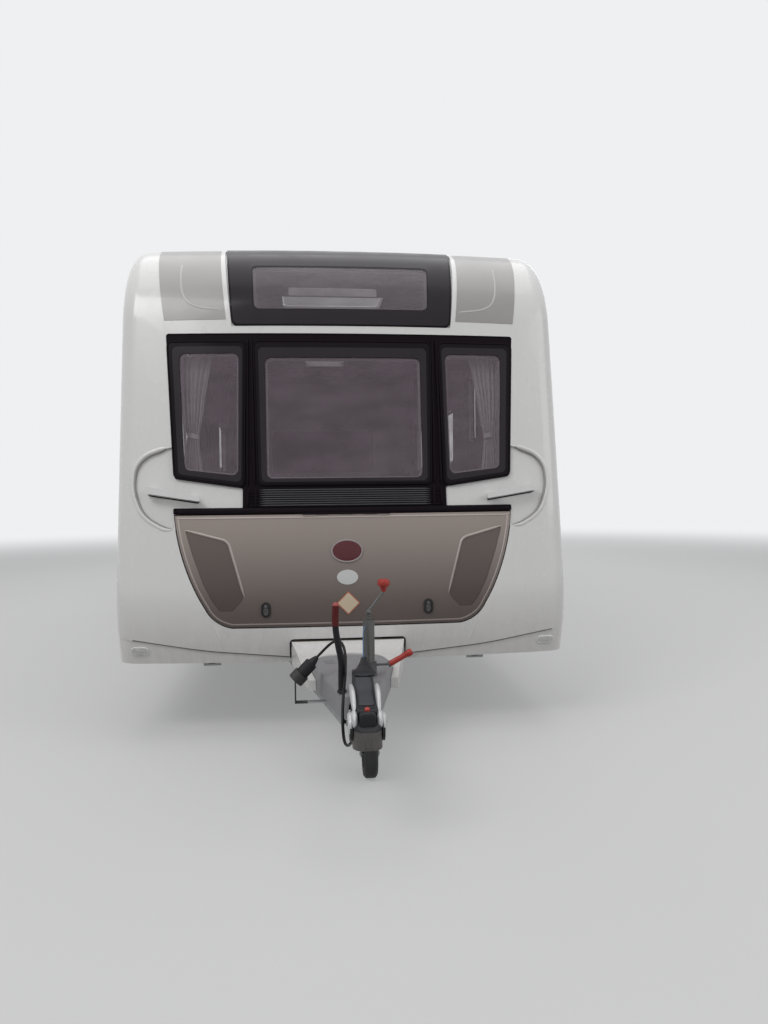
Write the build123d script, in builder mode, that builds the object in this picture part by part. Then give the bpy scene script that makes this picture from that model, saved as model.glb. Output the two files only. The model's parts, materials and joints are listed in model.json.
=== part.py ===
"""Touring caravan on a single axle, in millimetres.

The front faces -Y, +X is the nearside (the entrance door's side), and the ground is z = 0.
The origin is on the ground under the middle of the whole length.
"""
from build123d import *
from math import atan2, cos, degrees, pi, radians, sin, tan
import os

os.makedirs("parts", exist_ok=True)

# Overall size
OVERALL_LENGTH = 7300
BODY_WIDTH = 2280
ROOF_Z = 2590
SKIRT_Z = 370
HALF = BODY_WIDTH / 2
NOSE_Y = -OVERALL_LENGTH / 2
REAR_END_Y = OVERALL_LENGTH / 2
FRONT_Y = NOSE_Y + 1255
REAR_Y = REAR_END_Y - 40

# Body shell
WALL = 34
BOW_RADIUS = 9000
BOW_SWEEP = 20
EDGE_RADIUS = 110
INNER_EDGE_TIGHTER = 2
CHIN_Z = 600
WAIST_Z = 1114
SHOULDER_Z = 2110
BOTTOM_SET_BACK = 55
WAIST_SET_BACK = 77
SHOULDER_SET_BACK = 254
CHIN_RADIUS = 700
WAIST_RADIUS = 900
REAR_TOP_RADIUS = 220
REAR_LEAN = 45
FLOOR_TOP_Z = 480
FLOOR_THICK = 40
FRONT_SEAM_Y = FRONT_Y + 1180
REAR_SEAM_Y = REAR_Y - 420
SKIRT_TOP_Z = 486
PANEL_GAP = 3

# Running gear
AXLE_Y = 800
WHEEL_RADIUS = 317
TYRE_WIDTH = 195
RIM_RADIUS = 196
WHEEL_X = 1004
ARCH_RADIUS = 372
ARCH_DEPTH = 330
RAIL_TOP_Z = 440
RAIL_DEPTH = 150
RAIL_X = 560
RAIL_FLANGE = 36
RAIL_GAUGE = 5
JACK_Y = 350
JACK_PAD = (50, 160, 18)

# Drawbar, by distance ahead of the front panel; half widths are to the webs' outer faces
DRAWBAR_TOP_Z = 415
DRAWBAR_BOTTOM_Z = 312
DRAWBAR_FLANGE = 30
DRAWBAR_TIP = 800
DRAWBAR_TIP_HALF = 72
DRAWBAR_SLOPE = 0.2
CROSS_Y = -745
COVER_TOP_Z = 440
COVER_BOTTOM_Z = 345
COVER_WALL = 4
COVER_EDGE = 14
TIP_CUT = 44

# Coupling
TUBE_Z = 385
TUBE_RADIUS = 25
HEAD_HALF = 50
HEAD_TOP_Z = 462
HEAD_BOTTOM_Z = 358
BALL_Y = NOSE_Y + 60
BALL_Z = 392
CUP_BORE_RADIUS = 25.4

# Jockey wheel
JOCKEY_X = 58
JOCKEY_Y = FRONT_Y - 550
JOCKEY_WHEEL_RADIUS = 100
JOCKEY_TRAIL = 30
JOCKEY_TUBE_RADIUS = 24
JOCKEY_STEM_RADIUS = 18.5

# Corner steadies: half-length of the leg, which is also the strut's length, and the folded angle
STEADY_ARM = 220
STEADY_FOLDED = 8
STEADY_PIVOT_Z = 392
STEADY_X = 700
STEADIES = (
    ("front_nearside", 1, FRONT_Y + 330, 1),
    ("front_offside", -1, FRONT_Y + 330, 1),
    ("rear_nearside", 1, REAR_Y - 330, -1),
    ("rear_offside", -1, REAR_Y - 330, -1),
)

# Side openings: name, side (+1 nearside, -1 offside), y centre, z centre, width, height, corner radius
SIDE_WINDOWS = (
    ("nearside", 1, -1330, 1610, 860, 700, 90),
    ("nearside", 1, 980, 1690, 640, 540, 90),
    ("nearside", 1, 2600, 1690, 800, 540, 90),
    ("offside", -1, -1330, 1610, 860, 700, 90),
    ("offside", -1, 40, 1690, 900, 540, 90),
    ("offside", -1, 2350, 1690, 640, 540, 90),
)
PANE_OVERLAP = 24
PANE_PROUD = 10
DOOR_Y = -130
DOOR_WIDTH = 600
DOOR_BOTTOM_Z = 500
DOOR_TOP_Z = 2300
DOOR_CORNER = 70
DOOR_GAP = 6
HINGE_STAND_OFF = 8

# Service hatches: name, side, y centre, z centre, width, height, compartment depth
HATCHES = (
    ("battery", 1, 1640, 720, 400, 330, 330),
    ("cassette", -1, 3020, 770, 360, 420, 420),
)
HATCH_CORNER = 30
HATCH_GAP = 6
LINER = 8

roof_slope = atan2(SHOULDER_Z - WAIST_Z, SHOULDER_SET_BACK - WAIST_SET_BACK)
ROOF_ARC_RADIUS = (ROOF_Z - SHOULDER_Z) / (1 - cos(roof_slope))
ROOF_ARC_END = SHOULDER_SET_BACK + ROOF_ARC_RADIUS * sin(roof_slope)
ROOF_ARC_CENTRE = (FRONT_Y + ROOF_ARC_END, ROOF_Z - ROOF_ARC_RADIUS)
BOW_AXIS_Y = FRONT_Y + BOW_RADIUS


def save(builder, name):
    """Labels a finished piece and writes it under its node's name."""
    builder.part.label = name
    export_step(builder.part, f"parts/{name}.step")


def front_profile(inset, plane, y_shift):
    """The front's side view, moved inwards by inset, down past the skirt and back past the seam."""
    with BuildSketch(plane) as sketch:
        with BuildLine():
            nose = y_shift + FRONT_Y
            FilletPolyline(
                (nose + BOTTOM_SET_BACK + 170, -110),
                (nose, CHIN_Z),
                (nose + WAIST_SET_BACK, WAIST_Z),
                (nose + SHOULDER_SET_BACK, SHOULDER_Z),
                radius=[CHIN_RADIUS, WAIST_RADIUS],
            )
            JernArc(
                (nose + SHOULDER_SET_BACK, SHOULDER_Z),
                (cos(roof_slope), sin(roof_slope)),
                ROOF_ARC_RADIUS,
                -degrees(roof_slope),
            )
            Polyline(
                (nose + ROOF_ARC_END, ROOF_Z),
                (nose + 1600, ROOF_Z),
                (nose + 1600, -110),
                (nose + BOTTOM_SET_BACK + 170, -110),
            )
        make_face()
        if inset:
            offset(amount=-inset, kind=Kind.INTERSECTION)
    return sketch


body_cache = {}


def body(inset):
    """The whole body as a solid, with every surface but the bottom moved inwards by inset."""
    if inset in body_cache:
        return body_cache[inset]
    half_sweep = radians(BOW_SWEEP / 2)
    bow_plane = Plane(
        origin=(0, BOW_AXIS_Y, 0),
        x_dir=(sin(half_sweep), cos(half_sweep), 0),
        z_dir=(cos(half_sweep), -sin(half_sweep), 0),
    )
    bow_sketch = front_profile(inset, bow_plane, -BOW_AXIS_Y)
    width = BODY_WIDTH - 2 * inset
    with BuildPart() as solid:
        add(bow_sketch.sketch)
        revolve(axis=Axis((0, BOW_AXIS_Y, 0), (0, 0, 1)), revolution_arc=BOW_SWEEP)
        with BuildSketch(Plane.YZ.offset(-HALF - 100)) as long_side:
            with BuildLine():
                FilletPolyline(
                    (FRONT_Y + 1300, ROOF_Z - inset),
                    (REAR_Y - REAR_LEAN - inset, ROOF_Z - inset),
                    (REAR_Y - inset, 1200),
                    (REAR_Y - inset, -110 + inset),
                    radius=[REAR_TOP_RADIUS - inset, 1500],
                )
                Polyline(
                    (REAR_Y - inset, -110 + inset),
                    (FRONT_Y + 1300, -110 + inset),
                    (FRONT_Y + 1300, ROOF_Z - inset),
                )
            make_face()
        extrude(amount=BODY_WIDTH + 200)
        with Locations((0, 0, 1000)):
            Box(width, 12000, 6000, mode=Mode.INTERSECT)
        side_faces = solid.faces().filter_by(Axis.X).sort_by(Axis.X)
        rim = side_faces[0].edges() + side_faces[-1].edges()
        low_edges = rim.group_by(Axis.Z)[0]
        edge_radius = EDGE_RADIUS - inset - INNER_EDGE_TIGHTER if inset else EDGE_RADIUS
        fillet([edge for edge in rim if edge not in low_edges], radius=edge_radius)
    body_cache[inset] = solid.part
    return solid.part


BACK = (0, 1, 0)
FORWARD = (0, -1, 0)
ROOF_INWARD = (0, 0.67, -0.74)
WIDE = (-HALF - 60, HALF + 60)
LONG = (-4000, 4000)


def ahead(distance):
    """The y of a place this far ahead of the front panel."""
    return FRONT_Y - distance


def by(direction, distance):
    """A direction times a distance, as a place."""
    return tuple(axis * distance for axis in direction)


def rail_half(y):
    """Half the drawbar's width, to the outer face of its webs, at a place along it."""
    return DRAWBAR_TIP_HALF + DRAWBAR_SLOPE * (y - ahead(DRAWBAR_TIP))


def block(x, y, z):
    """A box given by its (low, high) limits along each axis."""
    with BuildPart() as made:
        with Locations(((x[0] + x[1]) / 2, (y[0] + y[1]) / 2, (z[0] + z[1]) / 2)):
            Box(x[1] - x[0], y[1] - y[0], z[1] - z[0])
    return made.part


def front_prism(outline):
    """A front-view outline carried back through the front."""
    with BuildPart() as prism:
        with BuildSketch(Plane.XZ.offset(-(FRONT_Y + 1000))):
            add(outline)
        extrude(amount=1300)
    return prism.part


def rear_prism(outline):
    """An outline in the XZ plane carried through the rear panel."""
    with BuildPart() as prism:
        with BuildSketch(Plane.XZ.offset(-(REAR_END_Y + 200))):
            add(outline)
        extrude(amount=700)
    return prism.part


def side_prism(outline, x_low, x_high):
    """A side-view outline carried from x_low to x_high."""
    with BuildPart() as prism:
        with BuildSketch(Plane.YZ.offset(x_low)):
            add(outline)
        extrude(amount=x_high - x_low)
    return prism.part


def clad(prism, outside, inside, inward):
    """The part of a prism between two depths below the body's surface."""
    with BuildPart() as piece:
        add(prism)
        with Locations(by(inward, outside)):
            add(body(0), mode=Mode.INTERSECT)
        with Locations(by(inward, inside)):
            add(body(0), mode=Mode.SUBTRACT)
    return piece.part


def sunk(prism, depth, inward):
    """A cutter for a recess of this depth inside a prism."""
    with BuildPart() as piece:
        add(prism)
        with Locations(by(inward, depth)):
            add(body(0), mode=Mode.SUBTRACT)
    return piece.part


# Front-view outlines, half of each, as x from the centre line and height
BAND_POINTS = (
    (0, 2024), (899, 2024), (847, 1282), (510, 1232), (510, 1136), (850, 1136), (850, 1107), (0, 1107),
)
BAND_RADII = [14, 18, 10, 4, 6, 6]
CENTRE_PANE = ((0, 1978), (452, 1978), (431, 1252), (0, 1252))
SIDE_PANE = ((500, 1977), (888, 1977), (843, 1291), (507, 1241))
PANE_RADIUS = 24
PANE_LAP = 26
LID_TOP_Z = 1100
LID_BOTTOM_Z = 553
LID_GAP = 6
LID_HINGE_Z = 1103.5
LID_HINGE_Y = FRONT_Y + 72
LID_KNUCKLES = (-180, -60, 60, 180)
LID_THICK = 22
CHEEK_POINTS = (
    (0, 1440), (866, 1440), (991, 1399), (1042, 1338), (1050, 1230),
    (1012, 1128), (968, 1080), (895, 1040), (838, 1030), (0, 1030),
)
CHEEK_RADII = [60, 40, 30, 90, 90, 60, 50, 30]
LID_WEDGE = ((793, 1031), (582, 975), (500, 700), (560, 634), (622, 634), (659, 682), (702, 764), (756, 909))
LID_WEDGE_RADII = [10, 40, 60, 20, 20, 60, 200]
HOOD_HALF = 281
HOOD_TOP_Z = 481
HOOD_REACH = 400
BUMPER_SEAM = ((1160, 512), (700, 434), (HOOD_HALF, 396))
BAND_DEPTH = 20
BAND_SURFACE = 6
CHEEK_DEPTH = 13
GRIP_STAND_OFF = 30
GRIP_THICK = 14
GRIP_POINTS = ((978, 1211), (978, 1247), (715, 1196), (715, 1170))

# Sunroof and the panels beside it: angles round the roof arc, and half widths low and high
SUNROOF_START = 5.4
CORNER_START = 9.1
SUNROOF_END = 77
SUNROOF_LOW_Z = 2063
SUNROOF_HIGH_Z = 2565
SUNROOF_HALF = (565, 626)
SUNROOF_HOLE = (535, 596)
CORNER_PANEL_INNER = (590, 650)
CORNER_PANEL_OUTER = (904, 982)
SUNROOF_DEPTH = 10
CORNER_DEPTH = 6

# Rear openings
REAR_WINDOW = (0, 1700, 1300, 560, 90)


def rounded(x, z, width, height, corner, grow=0):
    """A rounded rectangle about a place, grown on every side."""
    with BuildSketch() as sketch:
        with Locations((x, z)):
            RectangleRounded(width + 2 * grow, height + 2 * grow, corner + grow)
    return sketch.sketch


def symmetric_outline(points, radii, grow=0):
    """Half an outline from the centre line out and back, made whole about the centre line."""
    with BuildSketch() as sketch:
        with BuildLine():
            FilletPolyline(*points, radius=radii)
            mirror(about=Plane.YZ)
        make_face()
        if grow:
            offset(amount=grow, kind=Kind.INTERSECTION)
    return sketch.sketch


def both_sides(points, radii, grow=0):
    """A closed outline and its mirror image about the centre line."""
    with BuildSketch() as sketch:
        with BuildLine():
            FilletPolyline(*points, radius=radii, close=True)
        make_face()
        if grow:
            offset(amount=grow, kind=Kind.INTERSECTION)
        mirror(about=Plane.YZ)
    return sketch.sketch


def lid_outline(grow=0):
    """The gas locker's lid: wide at the top, with curved sides and round lower corners."""
    with BuildSketch() as sketch:
        with BuildLine():
            Line((0, LID_TOP_Z), (842, LID_TOP_Z))
            ThreePointArc((842, LID_TOP_Z), (789, 858), (690, 648))
            ThreePointArc((690, 648), (640, 586), (562, LID_BOTTOM_Z))
            Line((562, LID_BOTTOM_Z), (0, LID_BOTTOM_Z))
            mirror(about=Plane.YZ)
        make_face()
        if grow:
            offset(amount=grow, kind=Kind.INTERSECTION)
    return sketch.sketch


def below_seam():
    """Everything lower than the bumper's seam, clear of the notch for the drawbar."""
    with BuildSketch() as sketch:
        with BuildLine():
            ThreePointArc(*BUMPER_SEAM)
            Polyline(
                BUMPER_SEAM[2], (HOOD_HALF, SKIRT_Z - 200), (BUMPER_SEAM[0][0], SKIRT_Z - 200),
                BUMPER_SEAM[0],
            )
        make_face()
        mirror(about=Plane.YZ)
    return sketch.sketch


def roof_sector(start, end, inner, outer):
    """A wedge round the roof arc between two angles, between sloping planes on both sides;
    inner and outer are (half width low, half width high), and inner None fills the middle."""
    centre_y, centre_z = ROOF_ARC_CENTRE
    reach = 2 * ROOF_ARC_RADIUS
    span = SUNROOF_HIGH_Z - SUNROOF_LOW_Z
    low_z, high_z = SUNROOF_LOW_Z - span, SUNROOF_HIGH_Z + span
    outer_low, outer_high = 2 * outer[0] - outer[1], 2 * outer[1] - outer[0]
    if inner is None:
        inner_low = inner_high = 0
    else:
        inner_low, inner_high = 2 * inner[0] - inner[1], 2 * inner[1] - inner[0]
    with BuildPart() as sector:
        with BuildSketch(Plane.YZ.offset(-HALF)):
            with BuildLine():
                Polyline(
                    (centre_y, centre_z),
                    (centre_y - reach * cos(radians(start)), centre_z + reach * sin(radians(start))),
                    (centre_y - reach * cos(radians(end)), centre_z + reach * sin(radians(end))),
                    close=True,
                )
            make_face()
        extrude(amount=BODY_WIDTH)
        with BuildSketch(Plane.XZ.offset(-(FRONT_Y + 1400))):
            with BuildLine():
                Polyline(
                    (inner_low, low_z), (outer_low, low_z),
                    (outer_high, high_z), (inner_high, high_z), close=True,
                )
            make_face()
            mirror(about=Plane.YZ)
        extrude(amount=2000, mode=Mode.INTERSECT)
    return sector.part


def arch_outline(radius):
    """The wheel arch's circle, carried down past the skirt."""
    with BuildSketch() as sketch:
        with Locations((AXLE_Y, WHEEL_RADIUS)):
            Circle(radius)
        with Locations((AXLE_Y, WHEEL_RADIUS - 200)):
            Rectangle(2 * radius, 400)
    return sketch.sketch


# Side slabs are the flat part of each side, inside its rolled edges
side_slabs = {}
for side in (1, -1):
    flat = body(0).faces().filter_by(Axis.X).sort_by(Axis.X)[-1 if side > 0 else 0]
    with BuildPart() as slab:
        extrude(flat, amount=-WALL)
    side_slabs[side] = slab.part

with BuildPart() as rolled_shell:
    add(body(0))
    add(body(WALL), mode=Mode.SUBTRACT)
    for slab in side_slabs.values():
        add(slab, mode=Mode.SUBTRACT)
    add(block(WIDE, LONG, (SKIRT_Z, ROOF_Z + 50)), mode=Mode.INTERSECT)

band = front_prism(symmetric_outline(BAND_POINTS, BAND_RADII))
centre_pane = front_prism(symmetric_outline(CENTRE_PANE, PANE_RADIUS))
side_panes = front_prism(both_sides(SIDE_PANE, PANE_RADIUS))
lower_panel = front_prism(below_seam())
lid_prism = front_prism(lid_outline())
sunroof_wedge = roof_sector(SUNROOF_START, SUNROOF_END, None, SUNROOF_HALF)
corner_wedge = roof_sector(CORNER_START, SUNROOF_END, CORNER_PANEL_INNER, CORNER_PANEL_OUTER)

# Front panel
with BuildPart() as front_panel:
    add(rolled_shell.part)
    add(block(WIDE, (-4000, FRONT_SEAM_Y - PANEL_GAP), (SKIRT_Z, ROOF_Z + 50)), mode=Mode.INTERSECT)
    add(sunk(front_prism(symmetric_outline(CHEEK_POINTS, CHEEK_RADII)), CHEEK_DEPTH, BACK), mode=Mode.SUBTRACT)
    add(sunk(band, BAND_DEPTH, BACK), mode=Mode.SUBTRACT)
    add(sunk(sunroof_wedge, SUNROOF_DEPTH, ROOF_INWARD), mode=Mode.SUBTRACT)
    add(sunk(corner_wedge, CORNER_DEPTH, ROOF_INWARD), mode=Mode.SUBTRACT)
    add(roof_sector(SUNROOF_START + 3, SUNROOF_END - 3, None, SUNROOF_HOLE), mode=Mode.SUBTRACT)
    add(front_prism(symmetric_outline(CENTRE_PANE, PANE_RADIUS, -PANE_LAP)), mode=Mode.SUBTRACT)
    add(front_prism(both_sides(SIDE_PANE, PANE_RADIUS, -PANE_LAP)), mode=Mode.SUBTRACT)
    add(front_prism(lid_outline(LID_GAP)), mode=Mode.SUBTRACT)
    add(lower_panel, mode=Mode.SUBTRACT)
    notch = rounded(0, HOOD_TOP_Z - 200, 2 * HOOD_HALF, 400, 18)
    add(front_prism(notch), mode=Mode.SUBTRACT)
save(front_panel, "front_panel")

# Bumper moulding below the seam
with BuildPart() as front_bumper:
    add(lower_panel)
    with Locations(by(BACK, 5)):
        add(body(0), mode=Mode.INTERSECT)
    add(body(WALL), mode=Mode.SUBTRACT)
    for slab in side_slabs.values():
        add(slab, mode=Mode.SUBTRACT)
    add(block(WIDE, (-4000, FRONT_Y + 420), (SKIRT_Z, ROOF_Z)), mode=Mode.INTERSECT)
save(front_bumper, "front_bumper")

# White drawbar hood: a tapering shell under the notch, cut out round the grey cover
def hood_loft(wall):
    """The hood's solid form, smaller by wall at its top and sides and longer at its open ends."""
    stations = (
        (FRONT_Y + 30 + wall, HOOD_HALF - 4, HOOD_TOP_Z - 4, 366),
        (ahead(HOOD_REACH - wall), 196, 390, 345),
    )
    with BuildPart() as form:
        for y, half, top, bottom in stations:
            with BuildSketch(Plane.XZ.offset(-y)):
                low = bottom - wall
                with Locations((0, (top - wall + low) / 2)):
                    Rectangle(2 * (half - wall), top - wall - low)
        loft()
    return form.part


def cover_outline(grow=0):
    """The drawbar cover in plan: wide with round rear corners, narrowing to a rounded tip."""
    with BuildSketch() as sketch:
        with BuildLine():
            FilletPolyline(
                (0, ahead(120)), (150, ahead(150)), (184, ahead(300)),
                (80, ahead(800)), (62, ahead(845)), (0, ahead(845)),
                radius=[70, 60, 40, 24],
            )
            mirror(about=Plane.YZ)
        make_face()
        if grow:
            offset(amount=grow, kind=Kind.INTERSECTION)
    return sketch.sketch


with BuildPart() as rail_room:
    with BuildSketch(Plane.XY.offset(DRAWBAR_BOTTOM_Z - 60)):
        with BuildLine():
            Polyline(
                (rail_half(ahead(700)) + 3, ahead(700)), (rail_half(ahead(-100)) + 3, ahead(-100)),
                (rail_half(ahead(-100)) - DRAWBAR_FLANGE - 3, ahead(-100)),
                (rail_half(ahead(700)) - DRAWBAR_FLANGE - 3, ahead(700)), close=True,
            )
        make_face()
        mirror(about=Plane.YZ)
    extrude(amount=DRAWBAR_TOP_Z - DRAWBAR_BOTTOM_Z + 62)

with BuildPart() as drawbar_hood:
    add(hood_loft(0))
    add(hood_loft(COVER_WALL), mode=Mode.SUBTRACT)
    with BuildSketch(Plane.XY):
        add(cover_outline(2))
    extrude(amount=600, mode=Mode.SUBTRACT)
    with Locations(by(BACK, 4)):
        add(body(0), mode=Mode.SUBTRACT)
    add(rail_room.part, mode=Mode.SUBTRACT)
save(drawbar_hood, "drawbar_hood")

with BuildPart() as cover_hollow:
    with BuildSketch(Plane.XY.offset(COVER_BOTTOM_Z)):
        add(cover_outline(-COVER_WALL))
    extrude(amount=COVER_TOP_Z - COVER_BOTTOM_Z - COVER_WALL)
    fillet(cover_hollow.edges().group_by(Axis.Z)[-1], radius=COVER_EDGE - COVER_WALL)

with BuildPart() as drawbar_cover:
    with BuildSketch(Plane.XY.offset(COVER_BOTTOM_Z)):
        add(cover_outline())
    extrude(amount=COVER_TOP_Z - COVER_BOTTOM_Z)
    fillet(drawbar_cover.edges().group_by(Axis.Z)[-1], radius=COVER_EDGE)
    add(cover_hollow.part, mode=Mode.SUBTRACT)
    with Locations((JOCKEY_X, JOCKEY_Y, COVER_TOP_Z)):
        Cylinder(JOCKEY_TUBE_RADIUS + 4, 100, mode=Mode.SUBTRACT)
    with Locations((0, ahead(845), TUBE_Z)):
        Cylinder(44, 60, rotation=(90, 0, 0), mode=Mode.SUBTRACT)
    with Locations((0, ahead(845), COVER_BOTTOM_Z)):
        Box(2 * TIP_CUT, 60, 2 * (TUBE_Z - COVER_BOTTOM_Z), mode=Mode.SUBTRACT)
    slot_places = [(-105 + 6 * row, ahead(250 + 26 * row), COVER_TOP_Z) for row in range(3)]
    with Locations([Location(place, (0, 0, 20)) for place in slot_places]):
        Box(52, 7, 30, mode=Mode.SUBTRACT)
    add(rail_room.part, mode=Mode.SUBTRACT)
save(drawbar_cover, "drawbar_cover")

# Window band across the front, with the ribbed foot and the locker's hinge strip below it
with BuildPart() as front_window_band:
    add(clad(band, BAND_SURFACE, BAND_DEPTH, BACK))
    add(front_prism(symmetric_outline(CENTRE_PANE, PANE_RADIUS, 2)), mode=Mode.SUBTRACT)
    add(front_prism(both_sides(SIDE_PANE, PANE_RADIUS, 2)), mode=Mode.SUBTRACT)
    rib_rows = [(0, 1146 + 17 * row) for row in range(5)]
    with BuildPart(mode=Mode.PRIVATE) as ribs:
        with BuildSketch(Plane.XZ.offset(-(FRONT_Y + 1000))):
            with Locations(*rib_rows):
                Rectangle(960, 7)
        extrude(amount=1300)
    add(clad(ribs.part, 0, BAND_SURFACE + 2, BACK))
save(front_window_band, "front_window_band")

with BuildPart() as front_windows:
    add(clad(centre_pane, -2, BAND_DEPTH, BACK))
    add(clad(side_panes, -2, BAND_DEPTH, BACK))
save(front_windows, "front_windows")

with BuildPart() as sunroof:
    add(clad(sunroof_wedge, -6, SUNROOF_DEPTH, ROOF_INWARD))
save(sunroof, "sunroof")

with BuildPart() as corner_panels:
    add(clad(corner_wedge, -2, CORNER_DEPTH, ROOF_INWARD))
save(corner_panels, "corner_panels")

# Front grab handles: a slanting blade that stands off the recess on two feet
grip_prism = front_prism(both_sides(GRIP_POINTS, 7))
foot_prism = front_prism(both_sides(((970, 1214), (970, 1240), (930, 1232), (930, 1208)), 4))
inner_foot_prism = front_prism(both_sides(((765, 1180), (765, 1202), (730, 1196), (730, 1176)), 4))
with BuildPart() as grab_handles:
    add(clad(grip_prism, -GRIP_STAND_OFF - GRIP_THICK, -GRIP_STAND_OFF, BACK))
    add(clad(foot_prism, -GRIP_STAND_OFF, CHEEK_DEPTH, BACK))
    add(clad(inner_foot_prism, -GRIP_STAND_OFF, CHEEK_DEPTH, BACK))
    rear_grips = [(side * 930, REAR_Y + 26, 1250) for side in (1, -1)]
    with Locations(rear_grips):
        Box(34, 16, 320)
    rear_feet = [(side * 930, REAR_Y + 9, 1250 + end * 140) for side in (1, -1) for end in (1, -1)]
    with Locations(rear_feet):
        Box(34, 18, 40)
save(grab_handles, "grab_handles")

# Side walls
def window_outline(row, grow=0):
    """One side window's outline in the side view."""
    name, side, y, z, width, height, corner = row
    return rounded(y, z, width, height, corner, grow)


def door_outline(grow=0):
    """The entrance door's outline in the side view."""
    height = DOOR_TOP_Z - DOOR_BOTTOM_Z
    return rounded(DOOR_Y, DOOR_BOTTOM_Z + height / 2, DOOR_WIDTH, height, DOOR_CORNER, grow)


def hatch_outline(row, grow=0):
    """One service hatch's outline in the side view."""
    name, side, y, z, width, height, depth = row
    return rounded(y, z, width, height, HATCH_CORNER, grow)


def side_span(side, near, far):
    """The low and high x of a layer between two distances from the centre line."""
    return (near, far) if side > 0 else (-far, -near)


# Fridge vents on the offside: a frame with slats
VENTS = ((1560, 800, 420, 230), (1560, 1420, 420, 230))
with BuildPart() as fridge_vents:
    for y, z, width, height in VENTS:
        with BuildSketch(Plane.YZ.offset(-HALF - 10)):
            with Locations((y, z)):
                RectangleRounded(width, height, 20)
                RectangleRounded(width - 50, height - 50, 8, mode=Mode.SUBTRACT)
        extrude(amount=10)
        slats = [(-HALF - 4, y, z - height / 2 + 45 + 28 * row) for row in range(6)]
        with Locations([Location(place, (0, 35, 0)) for place in slats]):
            Box(14, width - 50, 3)
    add(block((-HALF, HALF), LONG, (0, 3000)), mode=Mode.SUBTRACT)

for side, wall_name in ((1, "nearside_wall"), (-1, "offside_wall")):
    low_x, high_x = side_span(side, HALF - WALL - 10, HALF + 10)
    with BuildPart() as wall:
        add(side_slabs[side])
        add(block(WIDE, LONG, (SKIRT_TOP_Z, ROOF_Z)), mode=Mode.INTERSECT)
        add(side_prism(arch_outline(ARCH_RADIUS), low_x, high_x), mode=Mode.SUBTRACT)
        for row in SIDE_WINDOWS:
            if row[1] == side:
                add(side_prism(window_outline(row, -PANE_OVERLAP), low_x, high_x), mode=Mode.SUBTRACT)
        for row in HATCHES:
            if row[1] == side:
                add(side_prism(hatch_outline(row, HATCH_GAP), low_x, high_x), mode=Mode.SUBTRACT)
        if side > 0:
            add(side_prism(door_outline(DOOR_GAP), low_x, high_x), mode=Mode.SUBTRACT)
        else:
            add(fridge_vents.part)
    save(wall, wall_name)

# Roof, with the openings for its roof lights: y centre, length and width
ROOF_LIGHTS = ((-500, 500, 700), (2050, 400, 400))
with BuildPart() as roof_panel:
    add(rolled_shell.part)
    add(block(WIDE, (FRONT_SEAM_Y, REAR_SEAM_Y), (1800, ROOF_Z + 50)), mode=Mode.INTERSECT)
    for y, length, width in ROOF_LIGHTS:
        add(block((-width / 2, width / 2), (y - length / 2, y + length / 2), (2400, 2700)), mode=Mode.SUBTRACT)
save(roof_panel, "roof_panel")

with BuildPart() as roof_lights:
    for y, length, width in ROOF_LIGHTS:
        with BuildSketch(Plane.XY.offset(ROOF_Z)):
            with Locations((0, y)):
                RectangleRounded(width + 70, length + 70, 40)
        extrude(amount=22)
        with BuildSketch(Plane.XY.offset(ROOF_Z + 22)):
            with Locations((0, y)):
                RectangleRounded(width + 40, length + 40, 40)
        extrude(amount=38, taper=24)
        with BuildSketch(Plane.XY.offset(ROOF_Z)):
            with Locations((0, y)):
                RectangleRounded(width - 40, length - 40, 30)
        extrude(amount=52, taper=20, mode=Mode.SUBTRACT)
save(roof_lights, "roof_lights")

# Rear panel, window, lamps and bumper
rear_window_sketch = rounded(*REAR_WINDOW)
with BuildPart() as rear_panel:
    add(rolled_shell.part)
    add(block(WIDE, (REAR_SEAM_Y + PANEL_GAP, 4000), (SKIRT_Z, ROOF_Z + 50)), mode=Mode.INTERSECT)
    add(rear_prism(rounded(*REAR_WINDOW, -PANE_OVERLAP)), mode=Mode.SUBTRACT)
save(rear_panel, "rear_panel")

with BuildPart() as side_windows:
    for row in SIDE_WINDOWS:
        near, far = side_span(row[1], HALF, HALF + PANE_PROUD)
        add(side_prism(window_outline(row), near, far))
    add(clad(rear_prism(rear_window_sketch), -PANE_PROUD, 0, FORWARD))
save(side_windows, "side_windows")

with BuildPart() as rear_bumper:
    with BuildSketch(Plane.YZ.offset(-HALF + 130)):
        with BuildLine():
            Polyline(
                (REAR_Y, SKIRT_Z), (REAR_Y + 22, SKIRT_Z), (REAR_END_Y, 400), (REAR_END_Y, 520),
                (REAR_Y + 20, 560), (REAR_Y, 560), close=True,
            )
        make_face()
    extrude(amount=2 * HALF - 260)
    with Locations((0, REAR_END_Y, 462)):
        Box(540, 12, 124, mode=Mode.SUBTRACT)
save(rear_bumper, "rear_bumper")

# Lamps: front position lamps in the bumper, rear clusters and the high brake lamp
with BuildPart() as lamps:
    with BuildSketch(Plane.XZ.offset(-(FRONT_Y + 400))):
        with Locations((1021, 436), (-1021, 436)):
            SlotOverall(88, 42)
    extrude(amount=700)
    with Locations(by(BACK, -7)):
        add(body(0), mode=Mode.INTERSECT)
    with Locations(by(BACK, 5)):
        add(body(0), mode=Mode.SUBTRACT)
    cluster = rear_prism(rounded(965, 740, 120, 300, 24) + rounded(-965, 740, 120, 300, 24))
    add(clad(cluster, -24, 0, FORWARD))
    add(clad(rear_prism(rounded(0, 2330, 360, 36, 14)), -12, 0, FORWARD))
save(lamps, "lamps")

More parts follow.
